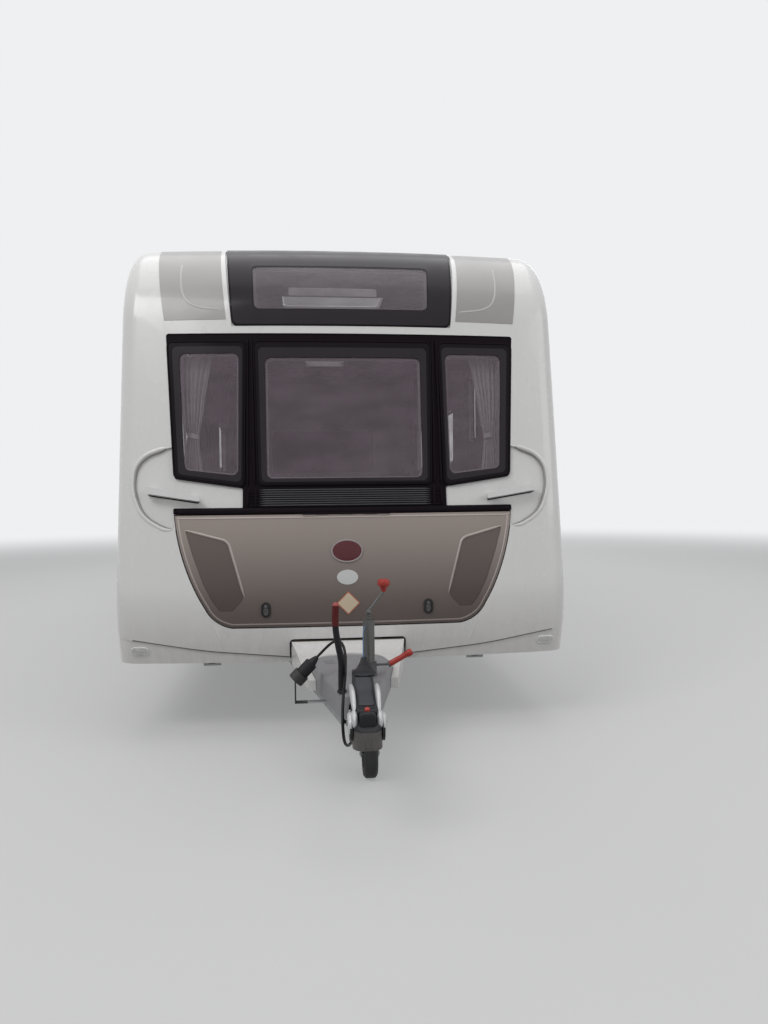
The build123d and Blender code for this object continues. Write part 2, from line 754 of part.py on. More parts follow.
# Floor, skirts and wheel arches
with BuildPart() as floor:
    add(body(WALL))
    add(block(WIDE, LONG, (FLOOR_TOP_Z - FLOOR_THICK, FLOOR_TOP_Z)), mode=Mode.INTERSECT)
    for side in (1, -1):
        low_x, high_x = side_span(side, HALF - ARCH_DEPTH, HALF)
        add(side_prism(arch_outline(ARCH_RADIUS + 8), low_x, high_x), mode=Mode.SUBTRACT)
save(floor, "floor")

with BuildPart() as skirts:
    for side in (1, -1):
        add(side_slabs[side])
    add(block(WIDE, LONG, (SKIRT_Z, SKIRT_TOP_Z - 2)), mode=Mode.INTERSECT)
    add(block((-HALF + 26, HALF - 26), LONG, (0, 1000)), mode=Mode.SUBTRACT)
    add(block((-HALF + 4, HALF - 4), LONG, (0, 1000)), mode=Mode.INTERSECT)
    for side in (1, -1):
        low_x, high_x = side_span(side, HALF - WALL, HALF)
        add(side_prism(arch_outline(ARCH_RADIUS), low_x, high_x), mode=Mode.SUBTRACT)
        low_x, high_x = side_span(side, HALF, HALF + 12)
        with BuildSketch(Plane.YZ.offset(low_x)):
            with Locations((AXLE_Y, WHEEL_RADIUS)):
                Circle(ARCH_RADIUS + 30)
                Circle(ARCH_RADIUS, mode=Mode.SUBTRACT)
            with Locations((AXLE_Y, SKIRT_Z - 400)):
                Rectangle(1000, 800, mode=Mode.SUBTRACT)
        extrude(amount=12)
        low_x, high_x = side_span(side, HALF - 26, HALF)
        with BuildSketch(Plane.YZ.offset(low_x)):
            with Locations((AXLE_Y, WHEEL_RADIUS)):
                Circle(ARCH_RADIUS + 30)
                Circle(ARCH_RADIUS, mode=Mode.SUBTRACT)
            with Locations((AXLE_Y, SKIRT_Z - 400)):
                Rectangle(1000, 800, mode=Mode.SUBTRACT)
            with Locations((AXLE_Y, SKIRT_TOP_Z + 398)):
                Rectangle(1000, 800, mode=Mode.SUBTRACT)
        extrude(amount=26)
save(skirts, "skirts")

with BuildPart() as arch_liners:
    for side in (1, -1):
        low_x, high_x = side_span(side, HALF - ARCH_DEPTH, HALF - WALL)
        add(side_prism(arch_outline(ARCH_RADIUS + 8), low_x, high_x))
        low_x, high_x = side_span(side, HALF - ARCH_DEPTH + 8, HALF)
        add(side_prism(arch_outline(ARCH_RADIUS), low_x, high_x), mode=Mode.SUBTRACT)
    add(block(WIDE, LONG, (-200, SKIRT_Z)), mode=Mode.SUBTRACT)
save(arch_liners, "arch_liners")

# Gas locker: a box open to the front, behind the lid
LOCKER_HALF = 880
LOCKER_DEPTH = 500
LOCKER_FLOOR_Z = 500
LOCKER_TOP_Z = 1160
LOCKER_WALL = 12
with BuildPart() as locker_box:
    add(block((-LOCKER_HALF, LOCKER_HALF), (FRONT_Y - 60, FRONT_Y + LOCKER_DEPTH), (LOCKER_FLOOR_Z, LOCKER_TOP_Z)))
    add(body(WALL), mode=Mode.INTERSECT)
    inner = LOCKER_HALF - LOCKER_WALL
    add(
        block(
            (-inner, inner), (FRONT_Y - 80, FRONT_Y + LOCKER_DEPTH - LOCKER_WALL),
            (LOCKER_FLOOR_Z + LOCKER_WALL, LOCKER_TOP_Z - LOCKER_WALL),
        ),
        mode=Mode.SUBTRACT,
    )
save(locker_box, "locker_box")

wedge_prism = front_prism(both_sides(LID_WEDGE, LID_WEDGE_RADII + [60]))
with BuildPart() as locker_lid:
    add(clad(lid_prism, 1, LID_THICK, BACK))
    add(sunk(wedge_prism, 5, BACK), mode=Mode.SUBTRACT)
    for x in LID_KNUCKLES:
        with Locations(Location((x, LID_HINGE_Y, LID_HINGE_Z), (0, 90, 0))):
            Cylinder(3, 60)
        with Locations((x, LID_HINGE_Y + 4, LID_HINGE_Z - 7)):
            Box(60, 8, 12)
save(locker_lid, "locker_lid")

latch_prism = front_prism(rounded(400, 638, 47, 75, 23) + rounded(-400, 638, 47, 75, 23))
with BuildSketch() as oval_sketch:
    with Locations((0, 918)):
        Ellipse(79, 57)
    with Locations((0, 790)):
        Ellipse(52, 36)
with BuildPart() as lid_fittings:
    add(clad(latch_prism, -7, 1, BACK))
    add(clad(front_prism(oval_sketch.sketch), -5, 1, BACK))
save(lid_fittings, "lid_fittings")

# Entrance door, with its window's hole, a handle plate and hinge knuckles on its front edge
DOOR_WINDOW = (DOOR_Y, 1850, 300, 560, 60)
DOOR_HINGE_Y = DOOR_Y - DOOR_WIDTH / 2 - DOOR_GAP / 2
with BuildPart() as door:
    add(side_prism(door_outline(), HALF - WALL, HALF))
    add(side_prism(rounded(*DOOR_WINDOW, -PANE_OVERLAP), HALF - WALL - 10, HALF + 10), mode=Mode.SUBTRACT)
    with Locations((HALF, DOOR_Y + DOOR_WIDTH / 2 - 60, 1180)):
        Box(20, 46, 190)
    hinge_places = [(HALF + HINGE_STAND_OFF, DOOR_HINGE_Y, z) for z in (700, 1400, 2100)]
    with Locations(hinge_places):
        Cylinder(5, 90)
    leaf_places = [(HALF + 4, DOOR_HINGE_Y + 16, z) for z in (700, 1400, 2100)]
    with Locations(leaf_places):
        Box(8, 32, 90)
save(door, "door")

with BuildPart() as door_window:
    add(side_prism(rounded(*DOOR_WINDOW), HALF, HALF + PANE_PROUD))
save(door_window, "door_window")

# Service hatches: a flap in the wall, with hinge knuckles, and a liner box behind it
for name, side, y, z, width, height, depth in HATCHES:
    row = (name, side, y, z, width, height, depth)
    near, far = side_span(side, HALF - 24, HALF + 2)
    upright_hinge = name == "cassette"
    with BuildPart() as hatch:
        add(side_prism(hatch_outline(row), near, far))
        hinge_x = side * (HALF + HINGE_STAND_OFF)
        if upright_hinge:
            knuckles = [(hinge_x, y - width / 2 - HATCH_GAP / 2, z + end * height / 3) for end in (1, -1)]
            with Locations(knuckles):
                Cylinder(5, 60)
            with Locations([(side * (HALF + 5), spot[1] + 14, spot[2]) for spot in knuckles]):
                Box(6, 28, 60)
        else:
            knuckles = [(hinge_x, y + end * width / 3, z + height / 2 + HATCH_GAP / 2) for end in (1, -1)]
            with Locations(knuckles):
                Cylinder(5, 60, rotation=(90, 0, 0))
            with Locations([(side * (HALF + 5), spot[1], spot[2] - 14) for spot in knuckles]):
                Box(6, 60, 28)
    save(hatch, f"{name}_hatch")

with BuildPart() as hatch_liners:
    for name, side, y, z, width, height, depth in HATCHES:
        near, far = side_span(side, HALF - WALL - depth, HALF - WALL)
        add(block((near, far), (y - width / 2 - 20, y + width / 2 + 20), (z - height / 2 - 20, z + height / 2 + 20)))
        near, far = side_span(side, HALF - WALL - depth + LINER, HALF)
        add(
            block(
                (near, far),
                (y - width / 2 - 20 + LINER, y + width / 2 + 20 - LINER),
                (z - height / 2 - 20 + LINER, z + height / 2 + 20 - LINER),
            ),
            mode=Mode.SUBTRACT,
        )
save(hatch_liners, "hatch_liners")

# Awning rails: a keyhole channel along the top of each side
RAIL_Z = 2466
AWNING_BORE = 4
with BuildPart() as awning_rails:
    for side in (1, -1):
        with BuildSketch(Plane.XZ.offset(-(REAR_SEAM_Y - 20))):
            with Locations((side * (HALF + 6), RAIL_Z)):
                Circle(AWNING_BORE + 2)
            with Locations((side * (HALF + 1.5), RAIL_Z + 8)):
                Rectangle(3, 26)
            with Locations((side * (HALF + 6.5), RAIL_Z)):
                Circle(AWNING_BORE, mode=Mode.SUBTRACT)
            with Locations((side * (HALF + 11), RAIL_Z)):
                Rectangle(8, 3, mode=Mode.SUBTRACT)
        extrude(amount=REAR_SEAM_Y - FRONT_SEAM_Y - 40)
save(awning_rails, "awning_rails")


# Chassis: two channels under the floor, the drawbar's two channels and the cross members
def channel(height, flange, gauge):
    """A channel's section with its web on the outside and its flanges inwards (towards -x)."""
    with BuildSketch() as sketch:
        with Locations((-flange / 2, 0)):
            Rectangle(flange, height)
        with Locations((-flange / 2 - gauge, 0)):
            Rectangle(flange, height - 2 * gauge, mode=Mode.SUBTRACT)
    return sketch.sketch


rail_front_y = CROSS_Y + 25
rail_end_y = REAR_Y - 110
with BuildPart() as chassis_rails:
    with BuildSketch(Plane.XZ.offset(-rail_end_y)):
        with Locations((RAIL_X, RAIL_TOP_Z - RAIL_DEPTH / 2)):
            add(channel(RAIL_DEPTH, RAIL_FLANGE, RAIL_GAUGE))
        mirror(about=Plane.YZ)
    extrude(amount=rail_end_y - rail_front_y)
    holes = [
        (0, CROSS_Y + 300 + 270 * step, RAIL_TOP_Z - RAIL_DEPTH / 2)
        for step in range(15)
        if abs(CROSS_Y + 300 + 270 * step - AXLE_Y) > 160
    ]
    with Locations([Location(place, (0, 90, 0)) for place in holes]):
        Cylinder(38, 2 * RAIL_X + 100, mode=Mode.SUBTRACT)
    jack_z = RAIL_TOP_Z - RAIL_DEPTH - JACK_PAD[2] / 2
    with Locations((RAIL_X - RAIL_FLANGE / 2, JACK_Y, jack_z), (RAIL_FLANGE / 2 - RAIL_X, JACK_Y, jack_z)):
        Box(*JACK_PAD)
save(chassis_rails, "chassis_rails")

drawbar_start = (DRAWBAR_TIP_HALF, ahead(DRAWBAR_TIP))
drawbar_end = (rail_half(CROSS_Y - 25), CROSS_Y - 25)
drawbar_height = DRAWBAR_TOP_Z - DRAWBAR_BOTTOM_Z
with BuildPart() as right_drawbar:
    with BuildSketch(Plane.XY.offset(DRAWBAR_BOTTOM_Z)):
        with BuildLine():
            Polyline(
                drawbar_start, drawbar_end,
                (drawbar_end[0] - DRAWBAR_FLANGE, drawbar_end[1]),
                (drawbar_start[0] - DRAWBAR_FLANGE, drawbar_start[1]),
                close=True,
            )
        make_face()
    extrude(amount=drawbar_height)
    with BuildSketch(Plane.XY.offset(DRAWBAR_BOTTOM_Z + RAIL_GAUGE)):
        with BuildLine():
            Polyline(
                (drawbar_start[0] - RAIL_GAUGE, drawbar_start[1]),
                (drawbar_end[0] - RAIL_GAUGE, drawbar_end[1]),
                (drawbar_end[0] - 2 * DRAWBAR_FLANGE, drawbar_end[1]),
                (drawbar_start[0] - 2 * DRAWBAR_FLANGE, drawbar_start[1]),
                close=True,
            )
        make_face()
    extrude(amount=drawbar_height - 2 * RAIL_GAUGE, mode=Mode.SUBTRACT)

# Plug's parking cup on a strip from the left drawbar channel
PLUG_Y = JOCKEY_Y
PLUG_TOP = Vector(-159, PLUG_Y, 524)
PLUG_DIRECTION = Vector(-0.69, 0, -0.72).normalized()
PLUG_LENGTH = 125
PLUG_RADIUS = 27
PARK_DEPTH = 34
park_end = PLUG_TOP + PLUG_DIRECTION * (PLUG_LENGTH + 6)
park_mouth = PLUG_TOP + PLUG_DIRECTION * (PLUG_LENGTH - PARK_DEPTH)
with BuildPart() as drawbar_rails:
    add(right_drawbar.part)
    mirror(about=Plane.YZ)
    with BuildSketch(Plane(origin=park_end, z_dir=-PLUG_DIRECTION)):
        Circle(PLUG_RADIUS + 7)
    extrude(amount=PARK_DEPTH + 6)
    with BuildSketch(Plane(origin=park_end + PLUG_DIRECTION * -6, z_dir=-PLUG_DIRECTION)):
        Circle(PLUG_RADIUS + 1)
    extrude(amount=60, mode=Mode.SUBTRACT)
    strip_x = -rail_half(PLUG_Y)
    with BuildSketch(Plane.XZ.offset(-(PLUG_Y + 14))):
        with BuildLine():
            Polyline(
                (strip_x, 335), (park_end.X - 4, 335), (park_end.X - 4, park_end.Z + 4),
                (park_end.X + 2, park_end.Z + 4), (park_end.X + 2, 341), (strip_x, 341), close=True,
            )
        make_face()
    extrude(amount=28)
save(drawbar_rails, "drawbar_rails")

CROSS_MEMBERS = (CROSS_Y + 900, AXLE_Y + 420, 2300, 3150)
with BuildPart() as cross_members:
    with Locations((0, CROSS_Y, RAIL_TOP_Z - RAIL_DEPTH / 2)):
        Box(2 * RAIL_X + 60, 50, RAIL_DEPTH)
        with Locations((0, 6, 0)):
            Box(2 * RAIL_X + 80, 50, RAIL_DEPTH - 12, mode=Mode.SUBTRACT)
    for y in CROSS_MEMBERS:
        with Locations((0, y, RAIL_TOP_Z - 50)):
            Box(2 * (RAIL_X - RAIL_GAUGE), 50, 70)
        with Locations((0, y + 6, RAIL_TOP_Z - 50)):
            Box(2 * RAIL_X, 50, 58, mode=Mode.SUBTRACT)
save(cross_members, "cross_members")

# Axle: a square tube under the rails, with a trailing arm and a stub at each end
ARM_X = 770
AXLE_TUBE_Z = RAIL_TOP_Z - RAIL_DEPTH - 45
with BuildPart() as axle:
    with Locations((0, AXLE_Y - 160, AXLE_TUBE_Z)):
        Box(2 * (ARM_X - 20), 90, 90)
    for side in (1, -1):
        with BuildSketch(Plane.YZ.offset(side * ARM_X - 20)):
            with BuildLine():
                Polyline(
                    (AXLE_Y - 210, 282), (AXLE_Y - 110, 292), (AXLE_Y + 34, 350),
                    (AXLE_Y + 34, 284), (AXLE_Y - 110, 200), (AXLE_Y - 210, 208), close=True,
                )
            make_face()
        extrude(amount=40)
        near, far = side_span(side, ARM_X, WHEEL_X - 20)
        with Locations(Location(((near + far) / 2, AXLE_Y, WHEEL_RADIUS), (0, 90, 0))):
            Cylinder(17, far - near)
save(axle, "axle")

# Wheels: a cast rim with paired spokes and its drum, and a tyre with rounded shoulders
RIM_HALF = 76
SPOKES = 7


def wheel_rim():
    """The nearside wheel's cast rim, with its spokes and its drum on the inside."""
    centre = (WHEEL_X, AXLE_Y, WHEEL_RADIUS)
    face = Plane(origin=centre, x_dir=(0, 1, 0), z_dir=(1, 0, 0))
    profile = Plane(origin=centre, x_dir=(1, 0, 0), z_dir=(0, -1, 0))
    spin = Axis(centre, (1, 0, 0))
    with BuildPart() as rim:
        with BuildSketch(profile):
            with BuildLine():
                Polyline(
                    (-RIM_HALF, RIM_RADIUS), (-RIM_HALF, 178), (-60, 166), (40, 160), (64, 176),
                    (RIM_HALF, 184), (RIM_HALF, RIM_RADIUS), (RIM_HALF - 10, RIM_RADIUS),
                    (58, 186), (40, 172), (-54, 178), (-66, RIM_RADIUS), close=True,
                )
            make_face()
        revolve(axis=spin)
        with BuildSketch(face.offset(30)):
            Circle(62)
            for turn in range(SPOKES):
                with Locations(Location((0, 0, 0), (0, 0, 360 / SPOKES * turn))):
                    with Locations((110, 0)):
                        Trapezoid(50, 112, 86, rotation=-90)
        extrude(amount=20)
        with BuildSketch(face.offset(-100)):
            Circle(120)
        extrude(amount=92)
        with BuildSketch(face.offset(-20)):
            Circle(60)
        extrude(amount=60)
        with BuildSketch(face.offset(-110)):
            Circle(18.5)
        extrude(amount=92, mode=Mode.SUBTRACT)
    return rim.part


for side, side_name in ((1, "nearside"), (-1, "offside")):
    centre = (side * WHEEL_X, AXLE_Y, WHEEL_RADIUS)
    profile = Plane(origin=centre, x_dir=(side, 0, 0), z_dir=(0, -1, 0))
    spin = Axis(centre, (1, 0, 0))
    with BuildPart() as rim:
        if side > 0:
            add(wheel_rim())
        else:
            add(wheel_rim().mirror(Plane.YZ))
    save(rim, f"{side_name}_rim")
    with BuildPart() as tyre:
        with BuildSketch(profile):
            with BuildLine():
                half_tyre = TYRE_WIDTH / 2
                FilletPolyline(
                    (-RIM_HALF - 8, RIM_RADIUS), (-half_tyre, 245), (-half_tyre + 12, WHEEL_RADIUS),
                    (half_tyre - 12, WHEEL_RADIUS), (half_tyre, 245), (RIM_HALF + 8, RIM_RADIUS),
                    radius=[30, 16, 16, 30],
                )
                Line((-RIM_HALF - 8, RIM_RADIUS), (RIM_HALF + 8, RIM_RADIUS))
            make_face()
        revolve(axis=spin)
    save(tyre, f"{side_name}_tyre")

# Cable: from the plug, over the cover, down beside the coupling and back to its gland below
CABLE_RADIUS = 5.5
GLAND = (-22, ahead(830), 330)
CABLE_POINTS = (
    tuple(PLUG_TOP), tuple(PLUG_TOP - PLUG_DIRECTION * 54), (-88, ahead(590), 598), (-60, ahead(650), 606),
    (-48, ahead(712), 575), (-50, ahead(760), 528), (-56, ahead(830), 500), (-63, ahead(920), 494),
    (-70, ahead(1000), 480), (-76, ahead(1064), 448), (-78, ahead(1100), 394), (-73, ahead(1090), 338),
    (-58, ahead(1038), 306), (-40, ahead(968), 298), (-28, ahead(895), 312), GLAND,
)


# Overrun tube in its housing between the drawbar channels, with bellows up to the coupling head
HOUSING_RADIUS = 37
BELLOWS = (ahead(862), ahead(985))
HEAD_REAR_Y = ahead(1010)
with BuildPart() as overrun_tube:
    with Locations(Location((0, (ahead(815) + ahead(610)) / 2, TUBE_Z), (90, 0, 0))):
        Cylinder(HOUSING_RADIUS, 205)
    with Locations(Location((0, (ahead(1060) + ahead(380)) / 2, TUBE_Z), (90, 0, 0))):
        Cylinder(TUBE_RADIUS, 680)
    fold_count = 8
    fold_pitch = (BELLOWS[0] - BELLOWS[1]) / fold_count
    with BuildSketch(Plane.YZ):
        with BuildLine():
            crests = []
            for fold in range(fold_count):
                start = BELLOWS[1] + fold * fold_pitch
                crests += [(start, TUBE_Z + 28), (start + fold_pitch / 2, TUBE_Z + 38)]
            Polyline(
                (BELLOWS[1], TUBE_Z), *crests, (BELLOWS[0], TUBE_Z + 28), (BELLOWS[0], TUBE_Z), close=True
            )
        make_face()
    revolve(axis=Axis((0, 0, TUBE_Z), (0, 1, 0)))
    for y in (ahead(770), ahead(630)):
        with Locations((0, y, TUBE_Z)):
            Box(2 * (rail_half(y) - RAIL_GAUGE - 2), 12, 46)
    gland_back = Vector(*GLAND) - Vector(*CABLE_POINTS[-2])
    with BuildSketch(Plane(origin=GLAND, z_dir=gland_back)):
        Circle(9)
    extrude(amount=26)
    with Locations((GLAND[0], GLAND[1] + 36, 345)):
        Box(30, 30, 26)
save(overrun_tube, "overrun_tube")

# Coupling head: a cast body on the tube, with the ball's cup bored from below
with BuildPart() as coupling_head:
    with BuildSketch(Plane.YZ.offset(-HEAD_HALF)):
        with BuildLine():
            FilletPolyline(
                (HEAD_REAR_Y, TUBE_Z - 34), (HEAD_REAR_Y - 60, HEAD_BOTTOM_Z), (NOSE_Y, HEAD_BOTTOM_Z),
                (NOSE_Y, HEAD_TOP_Z - 36), (NOSE_Y + 60, HEAD_TOP_Z), (HEAD_REAR_Y - 60, HEAD_TOP_Z),
                (HEAD_REAR_Y, TUBE_Z + 34),
                radius=[20, 6, 30, 30, 30],
            )
            Line((HEAD_REAR_Y, TUBE_Z + 34), (HEAD_REAR_Y, TUBE_Z - 34))
        make_face()
    extrude(amount=2 * HEAD_HALF)
    with BuildSketch(Plane.XY.offset(HEAD_BOTTOM_Z - 10)):
        with BuildLine():
            FilletPolyline(
                (0, NOSE_Y), (HEAD_HALF, NOSE_Y), (HEAD_HALF, HEAD_REAR_Y - 90), (36, HEAD_REAR_Y), (0, HEAD_REAR_Y),
                radius=[HEAD_HALF - 4, 60, 8],
            )
            mirror(about=Plane.YZ)
        make_face()
    extrude(amount=200, mode=Mode.INTERSECT)
    with Locations((0, BALL_Y, BALL_Z)):
        Sphere(CUP_BORE_RADIUS, mode=Mode.SUBTRACT)
    with Locations((0, BALL_Y, BALL_Z - 50)):
        Cylinder(CUP_BORE_RADIUS, 100, mode=Mode.SUBTRACT)
    with Locations(Location((0, ahead(1030), TUBE_Z), (90, 0, 0))):
        Cylinder(TUBE_RADIUS, 60, mode=Mode.SUBTRACT)
save(coupling_head, "coupling_head")

# Coupling handle: a long moulded lever over the head, with a pad housing on each side
with BuildPart() as coupling_handle:
    with BuildSketch(Plane.YZ.offset(-38)):
        with BuildLine():
            FilletPolyline(
                (NOSE_Y + 40, HEAD_TOP_Z), (NOSE_Y + 34, HEAD_TOP_Z + 20), (ahead(1080), 512),
                (ahead(960), 552), (ahead(880), 545), (ahead(800), 520), (ahead(800), 500),
                (ahead(930), 500), (HEAD_REAR_Y - 70, HEAD_TOP_Z),
                radius=[10, 60, 60, 60, 6, 6, 40],
            )
            Line((HEAD_REAR_Y - 70, HEAD_TOP_Z), (NOSE_Y + 40, HEAD_TOP_Z))
        make_face()
    extrude(amount=76)
    with BuildSketch(Plane.XY.offset(300)):
        with BuildLine():
            FilletPolyline(
                (0, NOSE_Y + 20), (34, NOSE_Y + 26), (38, ahead(1000)), (34, ahead(900)),
                (14, ahead(805)), (0, ahead(800)),
                radius=[16, 200, 60, 10],
            )
            mirror(about=Plane.YZ)
        make_face()
    extrude(amount=400, mode=Mode.INTERSECT)
    for side in (1, -1):
        near, far = side_span(side, HEAD_HALF, HEAD_HALF + 9)
        with BuildSketch(Plane.YZ.offset(near)):
            with Locations((BALL_Y + 18, 412)):
                Ellipse(54, 40)
        extrude(amount=far - near)
save(coupling_handle, "coupling_handle")

# Handbrake: a bent lever that rises through the cover
LEVER_POINTS = (
    (-67, ahead(800), COVER_TOP_Z), (-67, ahead(800), 500), (-81, ahead(795), 583),
    (-91, ahead(790), 700), (-86, ahead(790), 773),
)
with BuildPart() as handbrake:
    with BuildLine() as lever_line:
        FilletPolyline(*LEVER_POINTS, radius=[40, 60, 60])
    with BuildSketch(Plane(origin=lever_line.line @ 0, z_dir=lever_line.line % 0)):
        Circle(9)
    sweep()
    with BuildLine() as grip_line:
        Line(LEVER_POINTS[3], LEVER_POINTS[4])
    with BuildSketch(Plane(origin=grip_line.line @ 0, z_dir=grip_line.line % 0)):
        Circle(14)
    sweep()
    with Locations((-67, ahead(800), COVER_TOP_Z + 12)):
        Box(26, 60, 24)
save(handbrake, "handbrake")

# Jockey wheel: a clamp and outer tube that stay, and the stem, fork and wheel that move
JOCKEY_TUBE = (325, 668)
FORK_CROWN = (203, 223)
JOCKEY_AXLE = (JOCKEY_X, JOCKEY_Y + JOCKEY_TRAIL, JOCKEY_WHEEL_RADIUS)
with BuildPart() as jockey_clamp:
    web_x = rail_half(JOCKEY_Y - 20) - RAIL_GAUGE
    with Locations((JOCKEY_X, JOCKEY_Y, COVER_TOP_Z + 31)):
        Cylinder(JOCKEY_TUBE_RADIUS + 8, 50)
    with Locations((JOCKEY_X, JOCKEY_Y, 370)):
        Cylinder(JOCKEY_TUBE_RADIUS + 3, 60)
    with Locations(((JOCKEY_X + web_x) / 2 + 12, JOCKEY_Y, 370)):
        Box(web_x - JOCKEY_X - 24, 40, 60)
    with Locations(Location((JOCKEY_X + 52, JOCKEY_Y, 485), (0, 90, 0))):
        Cylinder(5, 56)
    with Locations((JOCKEY_X, JOCKEY_Y, 400)):
        Cylinder(JOCKEY_TUBE_RADIUS, 400, mode=Mode.SUBTRACT)
    grip_start, grip_end = Vector(138, JOCKEY_Y, 482), Vector(234, JOCKEY_Y, 534)
    grip_direction = (grip_end - grip_start).normalized()
    with BuildSketch(Plane(origin=grip_start, z_dir=grip_direction)):
        Circle(11)
    extrude(amount=(grip_end - grip_start).length)
save(jockey_clamp, "jockey_clamp")

with BuildPart() as jockey_tube:
    with BuildSketch(Plane.XY.offset(JOCKEY_TUBE[0])):
        with Locations((JOCKEY_X, JOCKEY_Y)):
            Circle(JOCKEY_TUBE_RADIUS)
            Circle(JOCKEY_TUBE_RADIUS - 4, mode=Mode.SUBTRACT)
    extrude(amount=JOCKEY_TUBE[1] - JOCKEY_TUBE[0])
    with Locations((JOCKEY_X, JOCKEY_Y, JOCKEY_TUBE[1] + 3)):
        Cylinder(JOCKEY_TUBE_RADIUS + 1, 10)
    with BuildLine() as crank_line:
        FilletPolyline(
            (JOCKEY_X, JOCKEY_Y, JOCKEY_TUBE[1]), (JOCKEY_X, JOCKEY_Y, 712),
            (JOCKEY_X + 62, JOCKEY_Y, 790), (JOCKEY_X + 64, JOCKEY_Y, 826), radius=[14, 16],
        )
    with BuildSketch(Plane(origin=crank_line.line @ 0, z_dir=crank_line.line % 0)):
        Circle(6)
    sweep()
    with Locations((JOCKEY_X + 64, JOCKEY_Y, 822)):
        Cone(10, 17, 34)
save(jockey_tube, "jockey_tube")

with BuildPart() as jockey_stem:
    with Locations((JOCKEY_X, JOCKEY_Y, (FORK_CROWN[1] + 560) / 2)):
        Cylinder(JOCKEY_STEM_RADIUS, 560 - FORK_CROWN[1])
save(jockey_stem, "jockey_stem")

FORK_INNER = 34
with BuildPart() as jockey_fork:
    with Locations((JOCKEY_X, JOCKEY_Y, (FORK_CROWN[0] + FORK_CROWN[1]) / 2 - 0.5)):
        Cylinder(30, FORK_CROWN[1] - FORK_CROWN[0] - 1)
    with Locations((JOCKEY_X, JOCKEY_Y + 6, FORK_CROWN[0] + 5)):
        Box(2 * FORK_INNER + 10, 46, 10)
    for side in (1, -1):
        with BuildSketch(Plane.YZ.offset(JOCKEY_X + side * (FORK_INNER + 2.5) - 2.5)):
            with BuildLine():
                Polyline(
                    (JOCKEY_Y - 17, FORK_CROWN[0] + 10), (JOCKEY_Y + 29, FORK_CROWN[0] + 10),
                    (JOCKEY_AXLE[1] + 15, JOCKEY_AXLE[2]), (JOCKEY_AXLE[1] - 15, JOCKEY_AXLE[2]), close=True,
                )
            make_face()
            with Locations((JOCKEY_AXLE[1], JOCKEY_AXLE[2])):
                Circle(15)
        extrude(amount=5)
    with Locations(Location(JOCKEY_AXLE, (0, 90, 0))):
        Cylinder(6, 2 * FORK_INNER + 18)
save(jockey_fork, "jockey_fork")

with BuildPart() as jockey_wheel:
    with BuildSketch(Plane(origin=JOCKEY_AXLE, x_dir=(1, 0, 0), z_dir=(0, -1, 0))):
        with BuildLine():
            FilletPolyline(
                (-28, 62), (-30, 88), (-20, JOCKEY_WHEEL_RADIUS), (20, JOCKEY_WHEEL_RADIUS), (30, 88), (28, 62),
                radius=[10, 8, 8, 10],
            )
            Polyline((28, 62), (8, 52), (8, 24), (27, 20), (27, 6.5))
            Polyline((27, 6.5), (-27, 6.5), (-27, 20), (-8, 24), (-8, 52), (-28, 62))
        make_face()
    revolve(axis=Axis(JOCKEY_AXLE, (1, 0, 0)))
save(jockey_wheel, "jockey_wheel")

# Plug, parked in its cup
with BuildPart() as plug:
    with BuildSketch(Plane(origin=PLUG_TOP + PLUG_DIRECTION * 34, z_dir=PLUG_DIRECTION)):
        Circle(PLUG_RADIUS)
    extrude(amount=PLUG_LENGTH - 34)
    with BuildSketch(Plane(origin=PLUG_TOP, z_dir=PLUG_DIRECTION)):
        Circle(9)
    with BuildSketch(Plane(origin=PLUG_TOP + PLUG_DIRECTION * 34, z_dir=PLUG_DIRECTION)):
        Circle(20)
    loft()
save(plug, "plug")

# Cable
def cable_radii(points):
    """An arc as large as the two runs at each corner allow."""
    radii = []
    for before, corner, after in zip(points, points[1:], points[2:]):
        first, second = Vector(*corner) - Vector(*before), Vector(*after) - Vector(*corner)
        turn = radians(first.get_angle(second))
        radii.append(0.45 * min(first.length, second.length) / tan(turn / 2))
    return radii


radii = cable_radii(CABLE_POINTS)
print("cable radii", [round(radius) for radius in radii])
with BuildPart() as cable:
    with BuildLine() as cable_line:
        FilletPolyline(*CABLE_POINTS, radius=radii)
    with BuildSketch(Plane(origin=cable_line.line @ 0, z_dir=cable_line.line % 0)):
        Circle(CABLE_RADIUS)
    sweep()
cable_length = sum(edge.length for edge in cable_line.line.edges())
cable_section = pi * CABLE_RADIUS ** 2
print("cable length", round(cable_length), "volume ratio", round(cable.part.volume / cable_section / cable_length, 4))
save(cable, "cable")

# Corner steadies: a bracket with its screw, and a strut and a leg that fold as a pair
STEADY_BASE = (-30, 2 * STEADY_ARM + 50)
folded = radians(STEADY_FOLDED)
with BuildPart() as steady_brackets:
    for name, side, pivot_y, toward in STEADIES:
        x = side * STEADY_X
        base_y = [pivot_y + toward * end for end in STEADY_BASE]
        middle = sum(base_y) / 2
        length = STEADY_BASE[1] - STEADY_BASE[0]
        with Locations((x, middle, RAIL_TOP_Z - 3)):
            Box(90, length, 6)
        with Locations(*[(x, end, RAIL_TOP_Z - 30) for end in (base_y[0] + toward * 3, base_y[1] - toward * 3)]):
            Box(70, 6, 60)
        screw = (pivot_y + toward * 185, base_y[1] + toward * 24)
        with Locations(Location((x, sum(screw) / 2, STEADY_PIVOT_Z), (90, 0, 0))):
            Cylinder(8, abs(screw[1] - screw[0]))
        with Locations(Location((x, pivot_y, STEADY_PIVOT_Z), (0, 90, 0))):
            Cylinder(5, 53)
        with Locations(*[(x + edge * 24, pivot_y, STEADY_PIVOT_Z + 16) for edge in (1, -1)]):
            Box(5, 30, 64)
save(steady_brackets, "steady_brackets")

